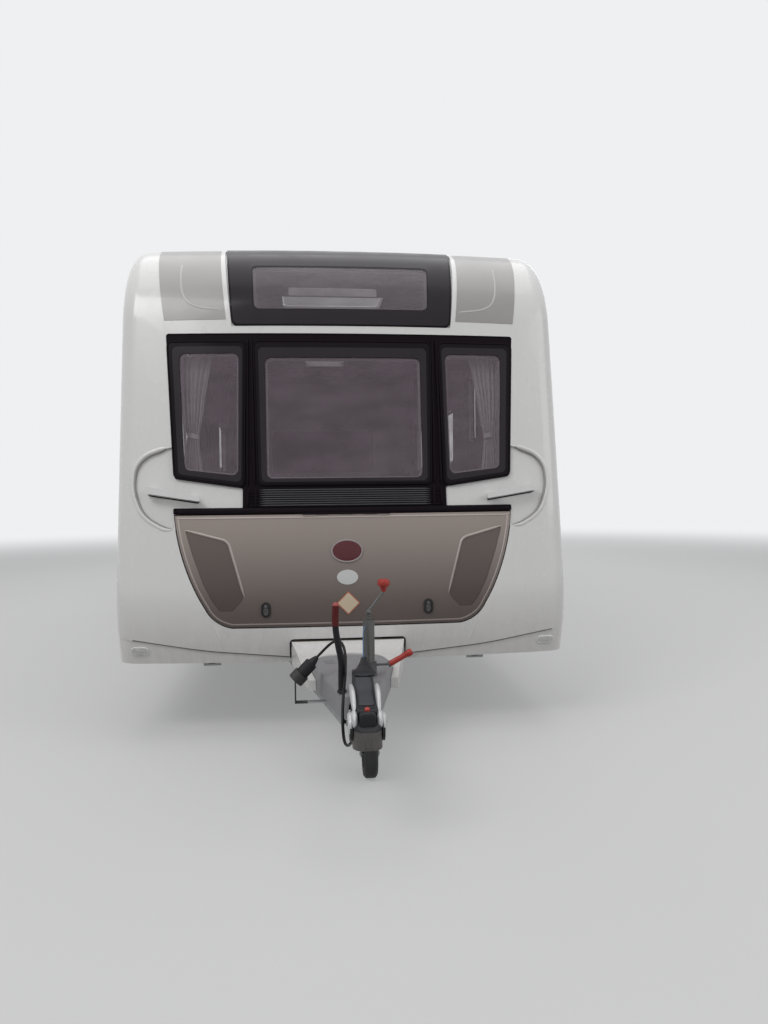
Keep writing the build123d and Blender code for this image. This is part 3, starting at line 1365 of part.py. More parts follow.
STRUT_HALF = 11
LEG_HALF = 22
LEG_GAUGE = 3
STEADY_DOWN = 62
for name, side, pivot_y, toward in STEADIES:
    x = side * STEADY_X
    hinge = Vector(x, pivot_y + toward * STEADY_ARM * cos(folded), STEADY_PIVOT_Z - STEADY_ARM * sin(folded))
    foot = Vector(x, pivot_y, STEADY_PIVOT_Z - 2 * STEADY_ARM * sin(folded))
    with BuildPart() as strut:
        with BuildSketch(Plane.YZ.offset(x - STRUT_HALF)):
            with Locations(((hinge.Y + pivot_y) / 2, (hinge.Z + STEADY_PIVOT_Z) / 2)):
                SlotCenterToCenter(STEADY_ARM, 20, rotation=-toward * STEADY_FOLDED)
            with Locations((pivot_y, STEADY_PIVOT_Z)):
                Circle(6, mode=Mode.SUBTRACT)
        extrude(amount=2 * STRUT_HALF)
        with Locations(Location(tuple(hinge), (0, 90, 0))):
            Cylinder(5, 2 * LEG_HALF + 8)
    save(strut, f"{name}_strut")
    along = (hinge - foot).normalized()
    leg_plane = Plane(origin=hinge, x_dir=along, z_dir=(toward, 0, 0))
    with BuildPart() as leg:
        with BuildSketch(leg_plane.offset(-LEG_HALF)):
            with BuildLine():
                Polyline(
                    (-STEADY_ARM, -15), (-STEADY_ARM + 40, -18), (STEADY_ARM - 30, -18), (STEADY_ARM + 12, -10),
                    (STEADY_ARM + 12, 10), (40, 12), (-STEADY_ARM + 40, -2), (-STEADY_ARM, -4), close=True,
                )
            make_face()
        extrude(amount=2 * LEG_HALF)
        with BuildSketch(leg_plane.offset(-LEG_HALF + LEG_GAUGE)):
            with BuildLine():
                Polyline(
                    (-STEADY_ARM - 10, LEG_GAUGE - 18), (STEADY_ARM - 40, LEG_GAUGE - 18),
                    (STEADY_ARM - 40, -30), (STEADY_ARM + 30, -30), (STEADY_ARM + 30, 30),
                    (-STEADY_ARM - 10, 30), close=True,
                )
            make_face()
        extrude(amount=2 * (LEG_HALF - LEG_GAUGE), mode=Mode.SUBTRACT)
        with Locations(Location(tuple(hinge), (0, 90, 0))):
            Cylinder(6, 100, mode=Mode.SUBTRACT)
        pad_tilt = toward * (STEADY_FOLDED - STEADY_DOWN)
        with BuildSketch(Plane.YZ.offset(x - 45)):
            with Locations((foot.Y, foot.Z)):
                Rectangle(64, 6, rotation=pad_tilt)
        extrude(amount=90)
    save(leg, f"{name}_leg")

# Furniture seen through the glass: a bench along each side, the front chest, and the lockers above
BENCH_TOP_Z = 900
BENCH_DEPTH = 620
BENCH_SPAN = (FRONT_Y + 560, FRONT_Y + 2150)
CUSHION_THICK = 130
BACKREST_HEIGHT = 420
INNER_HALF = HALF - WALL - 2
with BuildPart() as furniture:
    for side in (1, -1):
        end_y = BENCH_SPAN[1] if side < 0 else DOOR_Y - DOOR_WIDTH / 2 - 60
        near, far = side_span(side, INNER_HALF - BENCH_DEPTH, INNER_HALF)
        add(block((near, far), (BENCH_SPAN[0], end_y), (FLOOR_TOP_Z, BENCH_TOP_Z)))
        near, far = side_span(side, INNER_HALF - BENCH_DEPTH + 18, INNER_HALF - 18)
        add(block((near, far), (BENCH_SPAN[0] + 18, end_y - 18), (FLOOR_TOP_Z, BENCH_TOP_Z - 18)), mode=Mode.SUBTRACT)
        near, far = side_span(side, INNER_HALF - 330, INNER_HALF)
        add(block((near, far), (FRONT_Y + 1250, BENCH_SPAN[1]), (2120, 2400)))
        near, far = side_span(side, INNER_HALF - 312, INNER_HALF - 18)
        add(block((near, far), (FRONT_Y + 1268, BENCH_SPAN[1] - 18), (2138, 2382)), mode=Mode.SUBTRACT)
    add(block((-340, 340), (BENCH_SPAN[0] - 10, BENCH_SPAN[0] + 380), (FLOOR_TOP_Z, 1010)))
    add(block((-322, 322), (BENCH_SPAN[0] + 8, BENCH_SPAN[0] + 362), (FLOOR_TOP_Z, 992)), mode=Mode.SUBTRACT)
save(furniture, "furniture")

with BuildPart() as cushions:
    for side in (1, -1):
        end_y = BENCH_SPAN[1] if side < 0 else DOOR_Y - DOOR_WIDTH / 2 - 60
        near, far = side_span(side, INNER_HALF - BENCH_DEPTH, INNER_HALF - 170)
        add(block((near, far), (BENCH_SPAN[0] + 20, end_y - 10), (BENCH_TOP_Z + 1, BENCH_TOP_Z + CUSHION_THICK)))
        near, far = side_span(side, INNER_HALF - 160, INNER_HALF - 20)
        add(block((near, far), (BENCH_SPAN[0] + 20, end_y - 10), (BENCH_TOP_Z + 1, BENCH_TOP_Z + BACKREST_HEIGHT)))
save(cushions, "cushions")

CURTAIN_POINTS = ((500, 1955), (880, 1955), (842, 1300), (775, 1300), (782, 1440), (640, 1690))
curtain_sketch = both_sides(CURTAIN_POINTS, 8)
with BuildPart() as curtains:
    add(clad(front_prism(curtain_sketch), 62, 78, BACK))
save(curtains, "curtains")
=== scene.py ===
"""Touring caravan: its finishes, glazing, soft furnishings, cable and studio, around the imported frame.

Everything is in metres in the frame's own axes: the front faces -Y, +X is the nearside and the
ground is z = 0. Each sub-assembly is a class that holds its sizes, builds its meshes from numpy
surfaces and dresses them; each finish is a frozen dataclass that builds its own node material.
"""
from __future__ import annotations

import json
import logging
import math
from collections.abc import Callable
from dataclasses import dataclass, field, replace
from enum import Enum

import bmesh
import bpy
import numpy as np
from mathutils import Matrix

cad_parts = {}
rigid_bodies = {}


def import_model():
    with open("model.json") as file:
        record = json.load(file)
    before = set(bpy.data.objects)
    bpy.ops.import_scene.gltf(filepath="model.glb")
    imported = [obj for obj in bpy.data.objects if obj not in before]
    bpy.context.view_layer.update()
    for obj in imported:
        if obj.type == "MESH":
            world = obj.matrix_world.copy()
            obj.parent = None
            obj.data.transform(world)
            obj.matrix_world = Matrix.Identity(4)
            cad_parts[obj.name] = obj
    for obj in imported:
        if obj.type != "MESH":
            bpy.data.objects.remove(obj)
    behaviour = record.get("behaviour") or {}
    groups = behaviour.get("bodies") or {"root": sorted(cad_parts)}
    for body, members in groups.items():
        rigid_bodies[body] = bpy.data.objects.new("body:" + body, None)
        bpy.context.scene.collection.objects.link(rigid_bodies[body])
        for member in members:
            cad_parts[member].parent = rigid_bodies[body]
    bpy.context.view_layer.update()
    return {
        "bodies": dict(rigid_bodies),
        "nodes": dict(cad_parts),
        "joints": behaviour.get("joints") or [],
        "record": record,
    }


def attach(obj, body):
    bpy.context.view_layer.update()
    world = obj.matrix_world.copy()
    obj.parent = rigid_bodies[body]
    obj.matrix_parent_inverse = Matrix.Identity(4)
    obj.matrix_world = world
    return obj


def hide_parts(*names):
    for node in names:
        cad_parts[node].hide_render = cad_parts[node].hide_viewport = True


LOG = logging.getLogger("caravan")
Array = np.ndarray
Triple = tuple[float, float, float]
Quad = tuple[float, float, float, float]
Pair = tuple[float, float]
Steps = tuple[Pair, ...]
Surface = Callable[..., Array]
Socket = bpy.types.NodeSocket

WELD = 0.000005
SLAB_RINGS = 8
FRONT_Y = -2.395
REAR_Y = 3.610
HALF_WIDTH = 1.140
REAR_LEAN = 0.045
REAR_BEND_Z = 1.2
ROOF_Z = 2.590
SIDES = ((1, "nearside"), (-1, "offside"))


class Body(str, Enum):
    """The moving bodies that pieces ride on."""

    CARAVAN = "caravan"
    LID = "gas_locker_lid"
    DOOR = "entrance_door"
    BATTERY_FLAP = "battery_flap"
    CASSETTE_FLAP = "cassette_flap"
    NEARSIDE_WHEEL = "nearside_wheel"
    OFFSIDE_WHEEL = "offside_wheel"


class Pattern(Enum):
    """How a finish's fine grain is laid out."""

    PLAIN = "plain"
    BRUSHED = "brushed"
    SPANGLED = "spangled"
    WOVEN = "woven"


# Shaders


def add_node(tree: bpy.types.NodeTree, kind: str, inputs: dict, **settings: object) -> bpy.types.Node:
    """Adds a node to a tree.

    Args:
        tree: The tree.
        kind: The node's type.
        inputs: A constant or another node's output for each input's name or number.
        **settings: The node's own settings, made before its inputs.

    Returns:
        The node.
    """
    node = tree.nodes.new(kind)
    for name, value in settings.items():
        setattr(node, name, value)
    for key, value in inputs.items():
        if isinstance(value, Socket):
            tree.links.new(value, node.inputs[key])
        else:
            node.inputs[key].default_value = value
    return node


class ShaderSheet:
    """A node material under construction: one principled shader and helpers that feed it."""

    def __init__(self, name: str) -> None:
        """Starts an empty material of that name with a principled shader."""
        self.material = bpy.data.materials.new(name)
        self.material.use_nodes = True
        self.tree = self.material.node_tree
        self.shader = self.tree.nodes["Principled BSDF"]
        self.place = self.node("TexCoord", "Object", {})

    def node(self, kind: str, output: str | int, inputs: dict, **settings: object) -> Socket:
        """Adds a shader node as add_node does, and returns one of its outputs."""
        return add_node(self.tree, f"ShaderNode{kind}", inputs, **settings).outputs[output]

    def set(self, **values: float | tuple[float, ...]) -> None:
        """Sets constants on the shader's own sockets, named with underscores for spaces."""
        for name, value in values.items():
            self.shader.inputs[name.replace("_", " ")].default_value = value

    def feed(self, socket: str, output: Socket) -> None:
        """Links an output to one of the shader's sockets."""
        self.tree.links.new(output, self.shader.inputs[socket])

    def fed(self, socket: str) -> Socket:
        """The output that feeds one of the shader's sockets."""
        return self.shader.inputs[socket].links[0].from_socket

    def noise(
        self, scale: float, detail: float = 3.0, stretch: Triple = (1, 1, 1), roughness: float = 0.5
    ) -> Socket:
        """Noise in object coordinates.

        Args:
            scale: Features per metre.
            detail: How many finer layers are added.
            stretch: Extra scale along each axis.
            roughness: How strong the finer layers are.

        Returns:
            The noise's factor, from 0 to 1.
        """
        place = self.node("Mapping", "Vector", {"Scale": stretch, "Vector": self.place})
        inputs = {"Scale": scale, "Detail": detail, "Roughness": roughness, "Vector": place}
        return self.node("TexNoise", "Fac", inputs)

    def cells(self, scale: float) -> Socket:
        """Voronoi cells, one random grey each."""
        cell = self.node("TexVoronoi", "Color", {"Scale": scale, "Vector": self.place})
        return self.node("SeparateColor", "Red", {"Color": cell})

    def waves(self, scale: float, axis: str, distortion: float = 0.0, place: Socket | None = None) -> Socket:
        """Bands across one axis, of object coordinates or of another place."""
        inputs = {"Scale": scale, "Distortion": distortion, "Vector": place or self.place}
        return self.node("TexWave", "Fac", inputs, bands_direction=axis)

    def axis(self, name: str) -> Socket:
        """One of the object coordinates, X, Y or Z."""
        return self.node("SeparateXYZ", name, {"Vector": self.place})

    def reach(self, value: Socket, low: float, high: float, to_low: float, to_high: float) -> Socket:
        """A value carried from one range to another, smoothly and held at both ends."""
        ends = {"From Min": low, "From Max": high, "To Min": to_low, "To Max": to_high}
        return self.node("MapRange", "Result", {**ends, "Value": value}, interpolation_type="SMOOTHSTEP")

    def combine(self, operation: str, first: Socket, second: Socket) -> Socket:
        """Two values joined by one of the Math node's operations."""
        return self.node("Math", "Value", {0: first, 1: second}, operation=operation)

    def blend(self, factor: Socket, first: Triple | Socket, second: Triple | Socket) -> Socket:
        """A colour between two, each a constant or an output."""
        ends = [(*end, 1.0) if isinstance(end, tuple) else end for end in (first, second)]
        return self.node("Mix", 2, {"Factor": factor, 6: ends[0], 7: ends[1]}, data_type="RGBA")

    def bump(self, height: Socket, distance: float) -> None:
        """Adds a height, from 0 to 1 times a distance, to the shader's normal after any that is there."""
        inputs = {"Distance": distance, "Height": height}
        if self.shader.inputs["Normal"].is_linked:
            inputs["Normal"] = self.fed("Normal")
        self.feed("Normal", self.node("Bump", "Normal", inputs))


@dataclass(frozen=True)
class Finish:
    """A surface: its colour with a slow mottle, its gloss with smears, its grain and its grime.

    slot is the frame's material slot, where that isn't the finish's own name.
    """

    name: str
    colour: Triple
    roughness: float = 0.4
    slot: str = ""
    metallic: float = 0.0
    coat: float = 0.0
    specular: float = 0.5
    mottle: float = 0.06
    mottle_scale: float = 6.0
    smear: float = 0.08
    grain: float = 0.0
    grain_scale: float = 900.0
    pattern: Pattern = Pattern.PLAIN
    grime: float = 0.0
    grime_height: Pair = (0.35, 0.9)
    grime_colour: Triple = (0.16, 0.14, 0.11)

    def material(self) -> bpy.types.Material:
        """Returns the finish's material, made on first use."""
        title = f"{self.name}_finish"
        known = bpy.data.materials.get(title)
        if known:
            return known
        sheet = ShaderSheet(title)
        self.dress(sheet)
        return sheet.material

    def base(self, sheet: ShaderSheet) -> Socket:
        """The colour before grime: the base and a darker shade, mixed by slow noise."""
        darker = tuple(channel * (1 - 2 * self.mottle) for channel in self.colour)
        return sheet.blend(sheet.noise(self.mottle_scale, 4.0), darker, self.colour)

    def dress(self, sheet: ShaderSheet) -> None:
        """Feeds the shader: colour, grime low down, gloss with smears, and the grain's bump."""
        sheet.set(
            Metallic=self.metallic, Coat_Weight=self.coat, Coat_Roughness=0.08,
            Specular_IOR_Level=self.specular,
        )
        colour = self.base(sheet)
        if self.grime:
            streaks = sheet.noise(3.0, 6.0, stretch=(9, 9, 1.4), roughness=0.65)
            depth = sheet.reach(sheet.axis("Z"), *self.grime_height, self.grime, 0.0)
            cover = sheet.combine("MULTIPLY", depth, sheet.reach(streaks, 0.35, 0.75, 0.15, 1.0))
            colour = sheet.blend(cover, colour, self.grime_colour)
        sheet.feed("Base Color", colour)
        smears = sheet.noise(7.0, 5.0, stretch=(1, 1, 0.6))
        low_gloss, high_gloss = self.roughness - self.smear, self.roughness + self.smear
        sheet.feed("Roughness", sheet.reach(smears, 0.3, 0.7, max(low_gloss, 0.02), min(high_gloss, 1)))
        if self.grain:
            sheet.bump(self.grain_height(sheet), self.grain)

    def grain_height(self, sheet: ShaderSheet) -> Socket:
        """The grain's height, laid out as the pattern says."""
        if self.pattern is Pattern.BRUSHED:
            return sheet.noise(self.grain_scale, 2.0, stretch=(0.04, 1, 1))
        if self.pattern is Pattern.SPANGLED:
            return sheet.cells(self.grain_scale)
        if self.pattern is Pattern.WOVEN:
            warp, weft, across = (sheet.waves(self.grain_scale, axis, 0.6) for axis in "XZY")
            return sheet.combine("MAXIMUM", sheet.combine("MULTIPLY", warp, weft), across)
        return sheet.noise(self.grain_scale, 2.0)


@dataclass(frozen=True)
class MetallicFinish(Finish):
    """A metallic paint with fine flake and a painted shade: its colour darkens towards the ground."""

    # painted shade: the darker colour the paint is given towards the bottom of its height range
    painted_shade_colour: Triple = (0.1, 0.1, 0.1)
    height: Pair = (0.55, 1.1)
    flake: float = 0.12

    def base(self, sheet: ShaderSheet) -> Socket:
        """The colour runs from painted_shade_colour low down to colour higher up, a painted shade, broken by
        flake.
        """
        rise = sheet.reach(sheet.axis("Z"), *self.height, 0.0, 1.0)
        graded = sheet.blend(rise, self.painted_shade_colour, self.colour)
        darker = tuple(channel * (1 - self.flake * 2) for channel in self.colour)
        sparkle = sheet.reach(sheet.cells(1400.0), 0.0, 1.0, 0.0, self.flake)
        return sheet.blend(sparkle, graded, darker)


@dataclass(frozen=True)
class RailFinish(Finish):
    """The drawbar's zinc, with the plug's parking cup beside the rail in black plastic."""

    cup_x: float = -0.200
    cup_y: float = -2.905
    cup_colour: Triple = (0.018, 0.018, 0.019)

    def dress(self, sheet: ShaderSheet) -> None:
        """Feeds the zinc, then the plastic wherever x and y are both below the cup's limits."""
        super().dress(sheet)
        across = sheet.reach(sheet.axis("X"), self.cup_x - 0.001, self.cup_x, 1.0, 0.0)
        along = sheet.reach(sheet.axis("Y"), self.cup_y - 0.001, self.cup_y, 1.0, 0.0)
        inside = sheet.combine("MULTIPLY", across, along)
        sheet.feed("Base Color", sheet.blend(inside, sheet.fed("Base Color"), self.cup_colour))
        sheet.feed("Metallic", sheet.reach(inside, 0.0, 1.0, self.metallic, 0.0))


@dataclass(frozen=True)
class HeadFinish(Finish):
    """The coupling head: a moulded black cover above, and a ribbed grey nose below it."""

    split: float = 0.419
    blur: float = 0.0008
    cover_colour: Triple = (0.018, 0.019, 0.022)
    ribs: float = 52.0
    rib_height: float = 0.0016

    def dress(self, sheet: ShaderSheet) -> None:
        """Feeds the cast metal, then the cover's colour above the split and the ribs' height below it."""
        super().dress(sheet)
        above = sheet.reach(sheet.axis("Z"), self.split - self.blur, self.split + self.blur, 0.0, 1.0)
        sheet.feed("Base Color", sheet.blend(above, sheet.fed("Base Color"), self.cover_colour))
        sheet.feed("Metallic", sheet.reach(above, 0.0, 1.0, self.metallic, 0.0))
        below = sheet.reach(above, 0.0, 1.0, 1.0, 0.0)
        sheet.bump(sheet.combine("MULTIPLY", sheet.waves(self.ribs, "X"), below), self.rib_height)


@dataclass(frozen=True)
class PaneFinish(Finish):
    """Tinted acrylic: see-through, with a dusty film that thickens in places."""

    alpha: float = 0.5

    def dress(self, sheet: ShaderSheet) -> None:
        """Feeds the tint and lets the alpha vary with the film of dust."""
        super().dress(sheet)
        film = sheet.noise(5.0, 5.0, stretch=(1, 1, 2.2))
        sheet.feed("Alpha", sheet.reach(film, 0.25, 0.75, self.alpha - 0.06, self.alpha + 0.08))
        sheet.material.use_transparency_overlap = False


@dataclass(frozen=True)
class ClothFinish(Finish):
    """Woven cloth: threads across the piece's own UV map, with a soft sheen."""

    thread_colour: Triple = (0.5, 0.5, 0.5)
    threads: float = 220.0
    sheen: float = 0.35

    def dress(self, sheet: ShaderSheet) -> None:
        """Feeds two crossed sets of threads, their colour and their height, and the sheen."""
        uv_map = sheet.node("UVMap", "UV", {})
        crossed = [sheet.waves(self.threads, direction, 0.8, uv_map) for direction in "XY"]
        weave = sheet.combine("MULTIPLY", *crossed)
        slub = sheet.reach(sheet.noise(26.0, 5.0), 0.3, 0.7, 0.0, 1.0)
        dark = tuple(channel * 0.72 for channel in self.colour)
        sheet.feed("Base Color", sheet.blend(weave, dark, sheet.blend(slub, self.colour, self.thread_colour)))
        sheet.set(Roughness=self.roughness, Sheen_Weight=self.sheen, Sheen_Roughness=0.4)
        sheet.bump(weave, 0.0006)


PAINT = {"smear": 0.05, "grain": 0.00006, "grain_scale": 1200.0}
SPANGLE = {"mottle": 0.05, "grain": 0.0006, "grain_scale": 160.0, "pattern": Pattern.SPANGLED}
FITTING = {"slot": "fitting_black", "grain": 0.00006}
GRAINED = {"grain": 0.0001}


class Finishes:
    """The caravan's finishes."""

    white = Finish(
        "white_moulding", (0.76, 0.752, 0.742), 0.26, coat=0.35, mottle=0.015, mottle_scale=2.5, smear=0.06,
        grain=0.00012, grain_scale=240.0, grime=0.22, grime_height=(0.34, 0.75),
        grime_colour=(0.42, 0.39, 0.34),
    )
    side_skin = Finish(
        "side_skin", (0.76, 0.754, 0.745), 0.32, coat=0.2, mottle=0.012, mottle_scale=2.0, grain=0.0002,
        grain_scale=150.0, grime=0.3, grime_height=(0.34, 0.8), grime_colour=(0.4, 0.37, 0.32),
    )
    # The bronze and corner finishes below are graded by height into a painted shade towards the ground.
    bronze = MetallicFinish(
        "bronze_grey", (0.40, 0.342, 0.312), specular=0.2, painted_shade_colour=(0.122, 0.099, 0.091),
        height=(0.56, 1.16), **PAINT,
    )
    # painted highlight: a lighter copy of the bronze for the lid's pressed edges and rim, where light catches
    # them
    bronze_highlight = MetallicFinish(
        "bronze_highlight", (0.54, 0.475, 0.445), 0.32, "bronze_grey", coat=0.2, painted_shade_colour=(0.25, 0.21, 0.195),
        height=(0.54, 1.12), **PAINT,
    )
    bronze_dark = MetallicFinish(
        "bronze_dark", (0.178, 0.144, 0.133), 0.45, "bronze_grey", specular=0.15,
        painted_shade_colour=(0.098, 0.077, 0.071), height=(0.60, 1.04), grain=0.00006, grain_scale=1200.0,
    )
    corner_grey = MetallicFinish(
        "corner_grey", (0.38, 0.367, 0.362), 0.36, "bronze_grey", metallic=0.1, coat=0.2,
        painted_shade_colour=(0.32, 0.305, 0.302), height=(2.0, 2.5), **PAINT,
    )
    # painted highlight: a lighter copy of the corner grey for the lines moulded in the corner panels
    corner_highlight = replace(
        corner_grey, name="corner_highlight", colour=(0.56, 0.55, 0.545), metallic=0.0,
        painted_shade_colour=(0.50, 0.49, 0.485),
    )
    gloss_black = Finish(
        "gloss_black", (0.012, 0.0085, 0.0115), 0.16, "window_black", smear=0.05, grain=0.00005,
        grain_scale=60.0, specular=0.09,
    )
    smoked_print = replace(
        gloss_black, name="smoked_print", colour=(0.036, 0.030, 0.0365), roughness=0.2, smear=0.06,
        specular=0.12,
    )
    frame_black = Finish("window_black", (0.011, 0.0075, 0.010), grain_scale=500.0, specular=0.04, **GRAINED)
    seam_grey = Finish("seam_grey", (0.12, 0.115, 0.115), 0.5, "window_black", **GRAINED)
    strip_grey = Finish("strip_grey", (0.045, 0.045, 0.050), 0.55, "window_black", mottle=0.1, grain=0.0002)
    frame_line = Finish("frame_line", (0.27, 0.25, 0.27), slot="window_black", mottle=0.04, **GRAINED)
    # painted shade: a grey for lines of shade along the cheeks' lips and over the grab handles
    painted_shade_grey = Finish("painted_shade_grey", (0.36, 0.35, 0.345), 0.5, "white_moulding", mottle=0.04, **GRAINED)
    pane = PaneFinish(
        "tinted_pane", (0.265, 0.212, 0.25), 0.12, mottle=0.03, smear=0.04, specular=0.2, alpha=0.29
    )
    roof_pane = replace(
        pane, name="roof_pane", slot="tinted_pane", colour=(0.235, 0.205, 0.228), roughness=0.16,
        specular=0.3, alpha=0.4,
    )
    blind_bar = Finish("blind_bar", (0.78, 0.76, 0.75), 0.42, "liner_grey", mottle=0.04, **GRAINED)
    blind_cloth = Finish("blind_cloth", (0.5, 0.48, 0.45), 0.8, "curtain", mottle=0.05, grain=0.0003)
    grip = Finish("grip_white", (0.74, 0.74, 0.73), 0.3, mottle=0.02, grain=0.00008)
    reflector = Finish(
        "reflector", (0.78, 0.78, 0.77), 0.16, "lamp_lens", metallic=0.9, mottle=0.04, grain=0.00005
    )
    marker_lens = PaneFinish(
        "marker_lens", (0.8, 0.8, 0.79), 0.08, "lamp_lens", mottle=0.02, smear=0.03, alpha=0.4
    )
    red_lens = Finish("red_lens", (0.42, 0.012, 0.014), 0.12, "lamp_lens", coat=0.6, **SPANGLE)
    amber_lens = replace(red_lens, name="amber_lens", colour=(0.62, 0.19, 0.02))
    clear_lens = replace(
        red_lens, name="clear_lens", colour=(0.72, 0.71, 0.69), roughness=0.1, mottle=0.02, grain_scale=120.0
    )
    fitting = Finish("fitting_black", (0.018, 0.018, 0.019), 0.35, **GRAINED)
    latch_grey = Finish("latch_grey", (0.07, 0.068, 0.068), 0.34, "fitting_black", **GRAINED)
    blank_oval = Finish(
        "blank_oval", (0.10, 0.010, 0.016), 0.25, coat=0.25, specular=0.3, mottle=0.05, **FITTING
    )
    badge_rim = Finish("badge_rim", (0.34, 0.3, 0.3), 0.3, "fitting_black", metallic=0.4, grain=0.00005)
    label_edge = Finish("label_edge", (0.5, 0.16, 0.1), 0.45, mottle=0.05, **FITTING)
    label_blank = Finish("label_blank", (0.66, 0.55, 0.4), 0.45, mottle=0.05, **FITTING)
    pale_oval = Finish("pale_oval", (0.62, 0.62, 0.62), 0.38, mottle=0.03, **FITTING)
    liner = Finish("liner_grey", (0.24, 0.24, 0.24), 0.55, grain=0.0003, grain_scale=500.0)
    arch = Finish(
        "arch_black", (0.022, 0.022, 0.022), 0.7, grain=0.0008, grain_scale=300.0, grime=0.5,
        grime_height=(0.2, 0.9), grime_colour=(0.1, 0.09, 0.075),
    )
    floor_board = Finish(
        "floor_board", (0.3, 0.235, 0.17), 0.5, mottle=0.12, grain=0.0004, grain_scale=120.0,
        pattern=Pattern.BRUSHED,
    )
    anodised = Finish(
        "anodised", (0.72, 0.72, 0.71), 0.33, metallic=0.2, grain=0.00005, pattern=Pattern.BRUSHED
    )
    galvanised = Finish(
        "galvanised", (0.43, 0.45, 0.46), 0.46, metallic=0.75, mottle=0.16, mottle_scale=45.0, smear=0.14,
        grain=0.00015, grain_scale=90.0, pattern=Pattern.SPANGLED, grime=0.3, grime_height=(0.15, 0.5),
        grime_colour=(0.2, 0.17, 0.13),
    )
    drawbar_zinc = RailFinish(**{**vars(galvanised), "name": "drawbar_zinc", "slot": "galvanised"})
    zinc_tube = Finish(
        "zinc_tube", (0.15, 0.15, 0.147), slot="galvanised", metallic=0.8, mottle=0.14, mottle_scale=30.0,
        smear=0.12, grain_scale=260.0, **GRAINED,
    )
    alloy = Finish(
        "alloy", (0.53, 0.535, 0.54), 0.3, metallic=0.8, coat=0.3, mottle=0.05, grain_scale=700.0, grime=0.25,
        grime_height=(0.1, 0.6), grime_colour=(0.12, 0.1, 0.08), **GRAINED,
    )
    tyre = Finish(
        "tyre", (0.024, 0.024, 0.025), 0.78, mottle=0.12, mottle_scale=12.0, grain=0.0004, grain_scale=500.0,
        grime=0.6, grime_height=(0.0, 0.5), grime_colour=(0.085, 0.078, 0.068),
    )
    cover = Finish(
        "cover_grey", (0.29, 0.285, 0.30), 0.5, mottle=0.1, mottle_scale=14.0, smear=0.1, grain=0.0004,
        grain_scale=420.0, grime=0.25, grime_height=(0.3, 0.46), grime_colour=(0.1, 0.09, 0.08),
    )
    cast = Finish(
        "coupling_cast", (0.11, 0.112, 0.115), 0.6, metallic=0.4, mottle=0.16, mottle_scale=40.0,
        grain=0.0006, grain_scale=260.0, grime=0.3, grime_height=(0.3, 0.5),
    )
    head = HeadFinish(
        "head_cast", (0.13, 0.125, 0.12), 0.6, "coupling_cast", metallic=0.2, mottle=0.16, mottle_scale=40.0,
        grain=0.0005, grain_scale=260.0, grime=0.3, grime_height=(0.3, 0.5),
    )
    bellows = Finish("bellows", (0.015, 0.015, 0.016), 0.62, specular=0.2, mottle=0.1, grain=0.0003)
    handle = Finish(
        "handle_black", (0.017, 0.018, 0.022), 0.42, smear=0.1, grain=0.0002, grain_scale=700.0, specular=0.25
    )
    handle_panel = Finish(
        "handle_panel", (0.048, 0.049, 0.057), 0.5, "handle_black", specular=0.3, grain=0.0003
    )
    silver_pad = Finish(
        "silver_pad", (0.62, 0.62, 0.63), 0.36, "handle_black", metallic=0.2, mottle=0.05, **GRAINED
    )
    indicator = Finish("indicator_red", (0.4, 0.03, 0.015), 0.3, "handle_black", mottle=0.05, grain=0.00005)
    lever = Finish("lever", (0.012, 0.012, 0.014), 0.45, specular=0.2, mottle=0.08, **GRAINED)
    lever_red = Finish(
        "lever_red", (0.10, 0.014, 0.014), 0.5, "lever", specular=0.2, mottle=0.1, grain=0.0002
    )
    lever_tip = Finish("lever_tip", (0.36, 0.07, 0.06), 0.45, "lever", mottle=0.1, grain=0.0002)
    knob_red = Finish("knob_red", (0.4, 0.028, 0.018), slot="galvanised", mottle=0.08, grain=0.0002)
    rubber = Finish("jockey_rubber", (0.03, 0.03, 0.03), 0.7, mottle=0.1, grain=0.0004)
    plug = Finish("plug_black", (0.017, 0.017, 0.019), 0.5, specular=0.25, grain=0.0002)
    cable = Finish(
        "cable_black", (0.014, 0.014, 0.015), 0.5, specular=0.2, mottle=0.12, mottle_scale=30.0, **GRAINED
    )
    blue_wire = Finish("blue_wire", (0.05, 0.15, 0.32), slot="cable_black", mottle=0.08, **GRAINED)
    veneer = Finish(
        "veneer", (0.42, 0.31, 0.21), 0.42, mottle=0.16, mottle_scale=18.0, grain_scale=160.0,
        pattern=Pattern.BRUSHED, **GRAINED,
    )
    upholstery = Finish(
        "upholstery", (0.36, 0.325, 0.3), 0.85, mottle=0.12, mottle_scale=40.0, grain=0.0006,
        grain_scale=160.0, pattern=Pattern.WOVEN,
    )
    piping = Finish("piping", (0.17, 0.15, 0.14), 0.7, "upholstery", mottle=0.1, grain=0.0002)
    curtain_tie = Finish("curtain_tie", (0.62, 0.6, 0.6), 0.75, "curtain", grain=0.0003)
    curtain = ClothFinish(
        "curtain", (0.86, 0.84, 0.84), 0.8, thread_colour=(0.92, 0.90, 0.90), threads=260.0, sheen=0.2
    )


